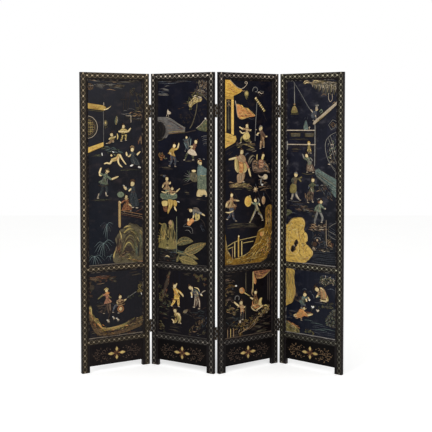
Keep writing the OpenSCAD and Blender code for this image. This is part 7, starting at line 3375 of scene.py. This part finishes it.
SCENES = {
    1: (leaf_1_upper, leaf_1_lower),
    2: (leaf_2_upper, leaf_2_lower),
    3: (leaf_3_upper, leaf_3_lower),
    4: (leaf_4_upper, leaf_4_lower),
}
for number, makers in SCENES.items():
    for maker in makers:
        maker(LEAVES[number])


# ---------------------------------------------------------------- stage

FLOOR_HALF = 9.0  # metres, as are all lengths from here
ROOM_LIGHT = 0.62
FLOOR_LIFT = 0.42
FLOOR_TONE, FLOOR_SPOT = (236, 236, 235), (241, 241, 240)
LAMPS = {"left_softbox": ((-3.2, -4.2, 3.6), 130), "right_softbox": ((3.6, -4.0, 3.2), 100)}
LAMP_AIM, LAMP_SIZE = Vector((0, 0, 0.9)), 2.6
# The photograph's view: sensor and lens in millimetres, and how far it looks down in degrees
SENSOR, LENS, SHIFT, FAR_CLIP = 36.0, 74.96, -0.13, 60
EYE, LOOK_DOWN = (0.0252, -5.5236, 1.5409), 2.522


def seen_mask(it):
    """1 for rays from the camera and in reflections, where the surroundings show as white."""
    rays = it.node("ShaderNodeLightPath").outputs
    seen = it.maths("MAXIMUM", rays["Is Camera Ray"], rays["Is Glossy Ray"])
    return it.maths("MAXIMUM", seen, rays["Is Transmission Ray"])


it = Finish("pale_floor")
floor_tone = it.mix(it.noise(400), colour(*FLOOR_TONE), colour(*FLOOR_SPOT))
pale = it.finish(Base_Color=floor_tone, Roughness=0.9, Specular_IOR_Level=0.0)
glow = it.node("ShaderNodeEmission", sockets={"Color": (1, 1, 1, 1), "Strength": FLOOR_LIFT})
black = it.node("ShaderNodeEmission", sockets={"Color": (0, 0, 0, 1), "Strength": 0.0})
sockets = {0: seen_mask(it), 1: black.outputs[0], 2: glow.outputs[0]}
shown = it.node("ShaderNodeMixShader", sockets=sockets)
both = it.node("ShaderNodeAddShader", sockets={0: it.shader.outputs[0], 1: shown.outputs[0]})
it.feed(it.output.inputs["Surface"], both.outputs[0])

plane = bpy.data.meshes.new("floor")
ring = [(u * FLOOR_HALF, v * FLOOR_HALF, 0) for u, v in ((-1, -1), (1, -1), (1, 1), (-1, 1))]
plane.from_pydata(ring, [], [(0, 1, 2, 3)])
plane.materials.append(pale)
floor = bpy.data.objects.new("floor", plane)
bpy.context.scene.collection.objects.link(floor)

world = bpy.data.worlds.new("studio")
bpy.context.scene.world = world
world.use_nodes = True
world.node_tree.nodes.clear()
it = NodeMaker(world.node_tree)
sockets = {"Value": seen_mask(it), "To Min": ROOM_LIGHT, "To Max": 1.0}
light = it.node("ShaderNodeMapRange", sockets=sockets).outputs[0]
background = it.node("ShaderNodeBackground", sockets={"Color": (1, 1, 1, 1), "Strength": light})
it.node("ShaderNodeOutputWorld", sockets={0: background.outputs[0]})

for name, (place, power) in LAMPS.items():
    light = bpy.data.lights.new(name, "AREA")
    light.shape, light.size, light.energy = "SQUARE", LAMP_SIZE, power
    lamp = bpy.data.objects.new(name, light)
    lamp.location = place
    lamp.rotation_euler = (LAMP_AIM - Vector(place)).to_track_quat("-Z", "Y").to_euler()
    bpy.context.scene.collection.objects.link(lamp)

camera = bpy.data.cameras.new("camera")
camera.sensor_width, camera.lens, camera.shift_y, camera.clip_end = SENSOR, LENS, SHIFT, FAR_CLIP
eye = bpy.data.objects.new("camera", camera)
eye.location = EYE
eye.rotation_euler = (math.radians(90 - LOOK_DOWN), 0, 0)
bpy.context.scene.collection.objects.link(eye)
bpy.context.scene.camera = eye
bpy.context.scene.view_settings.view_transform = "Standard"
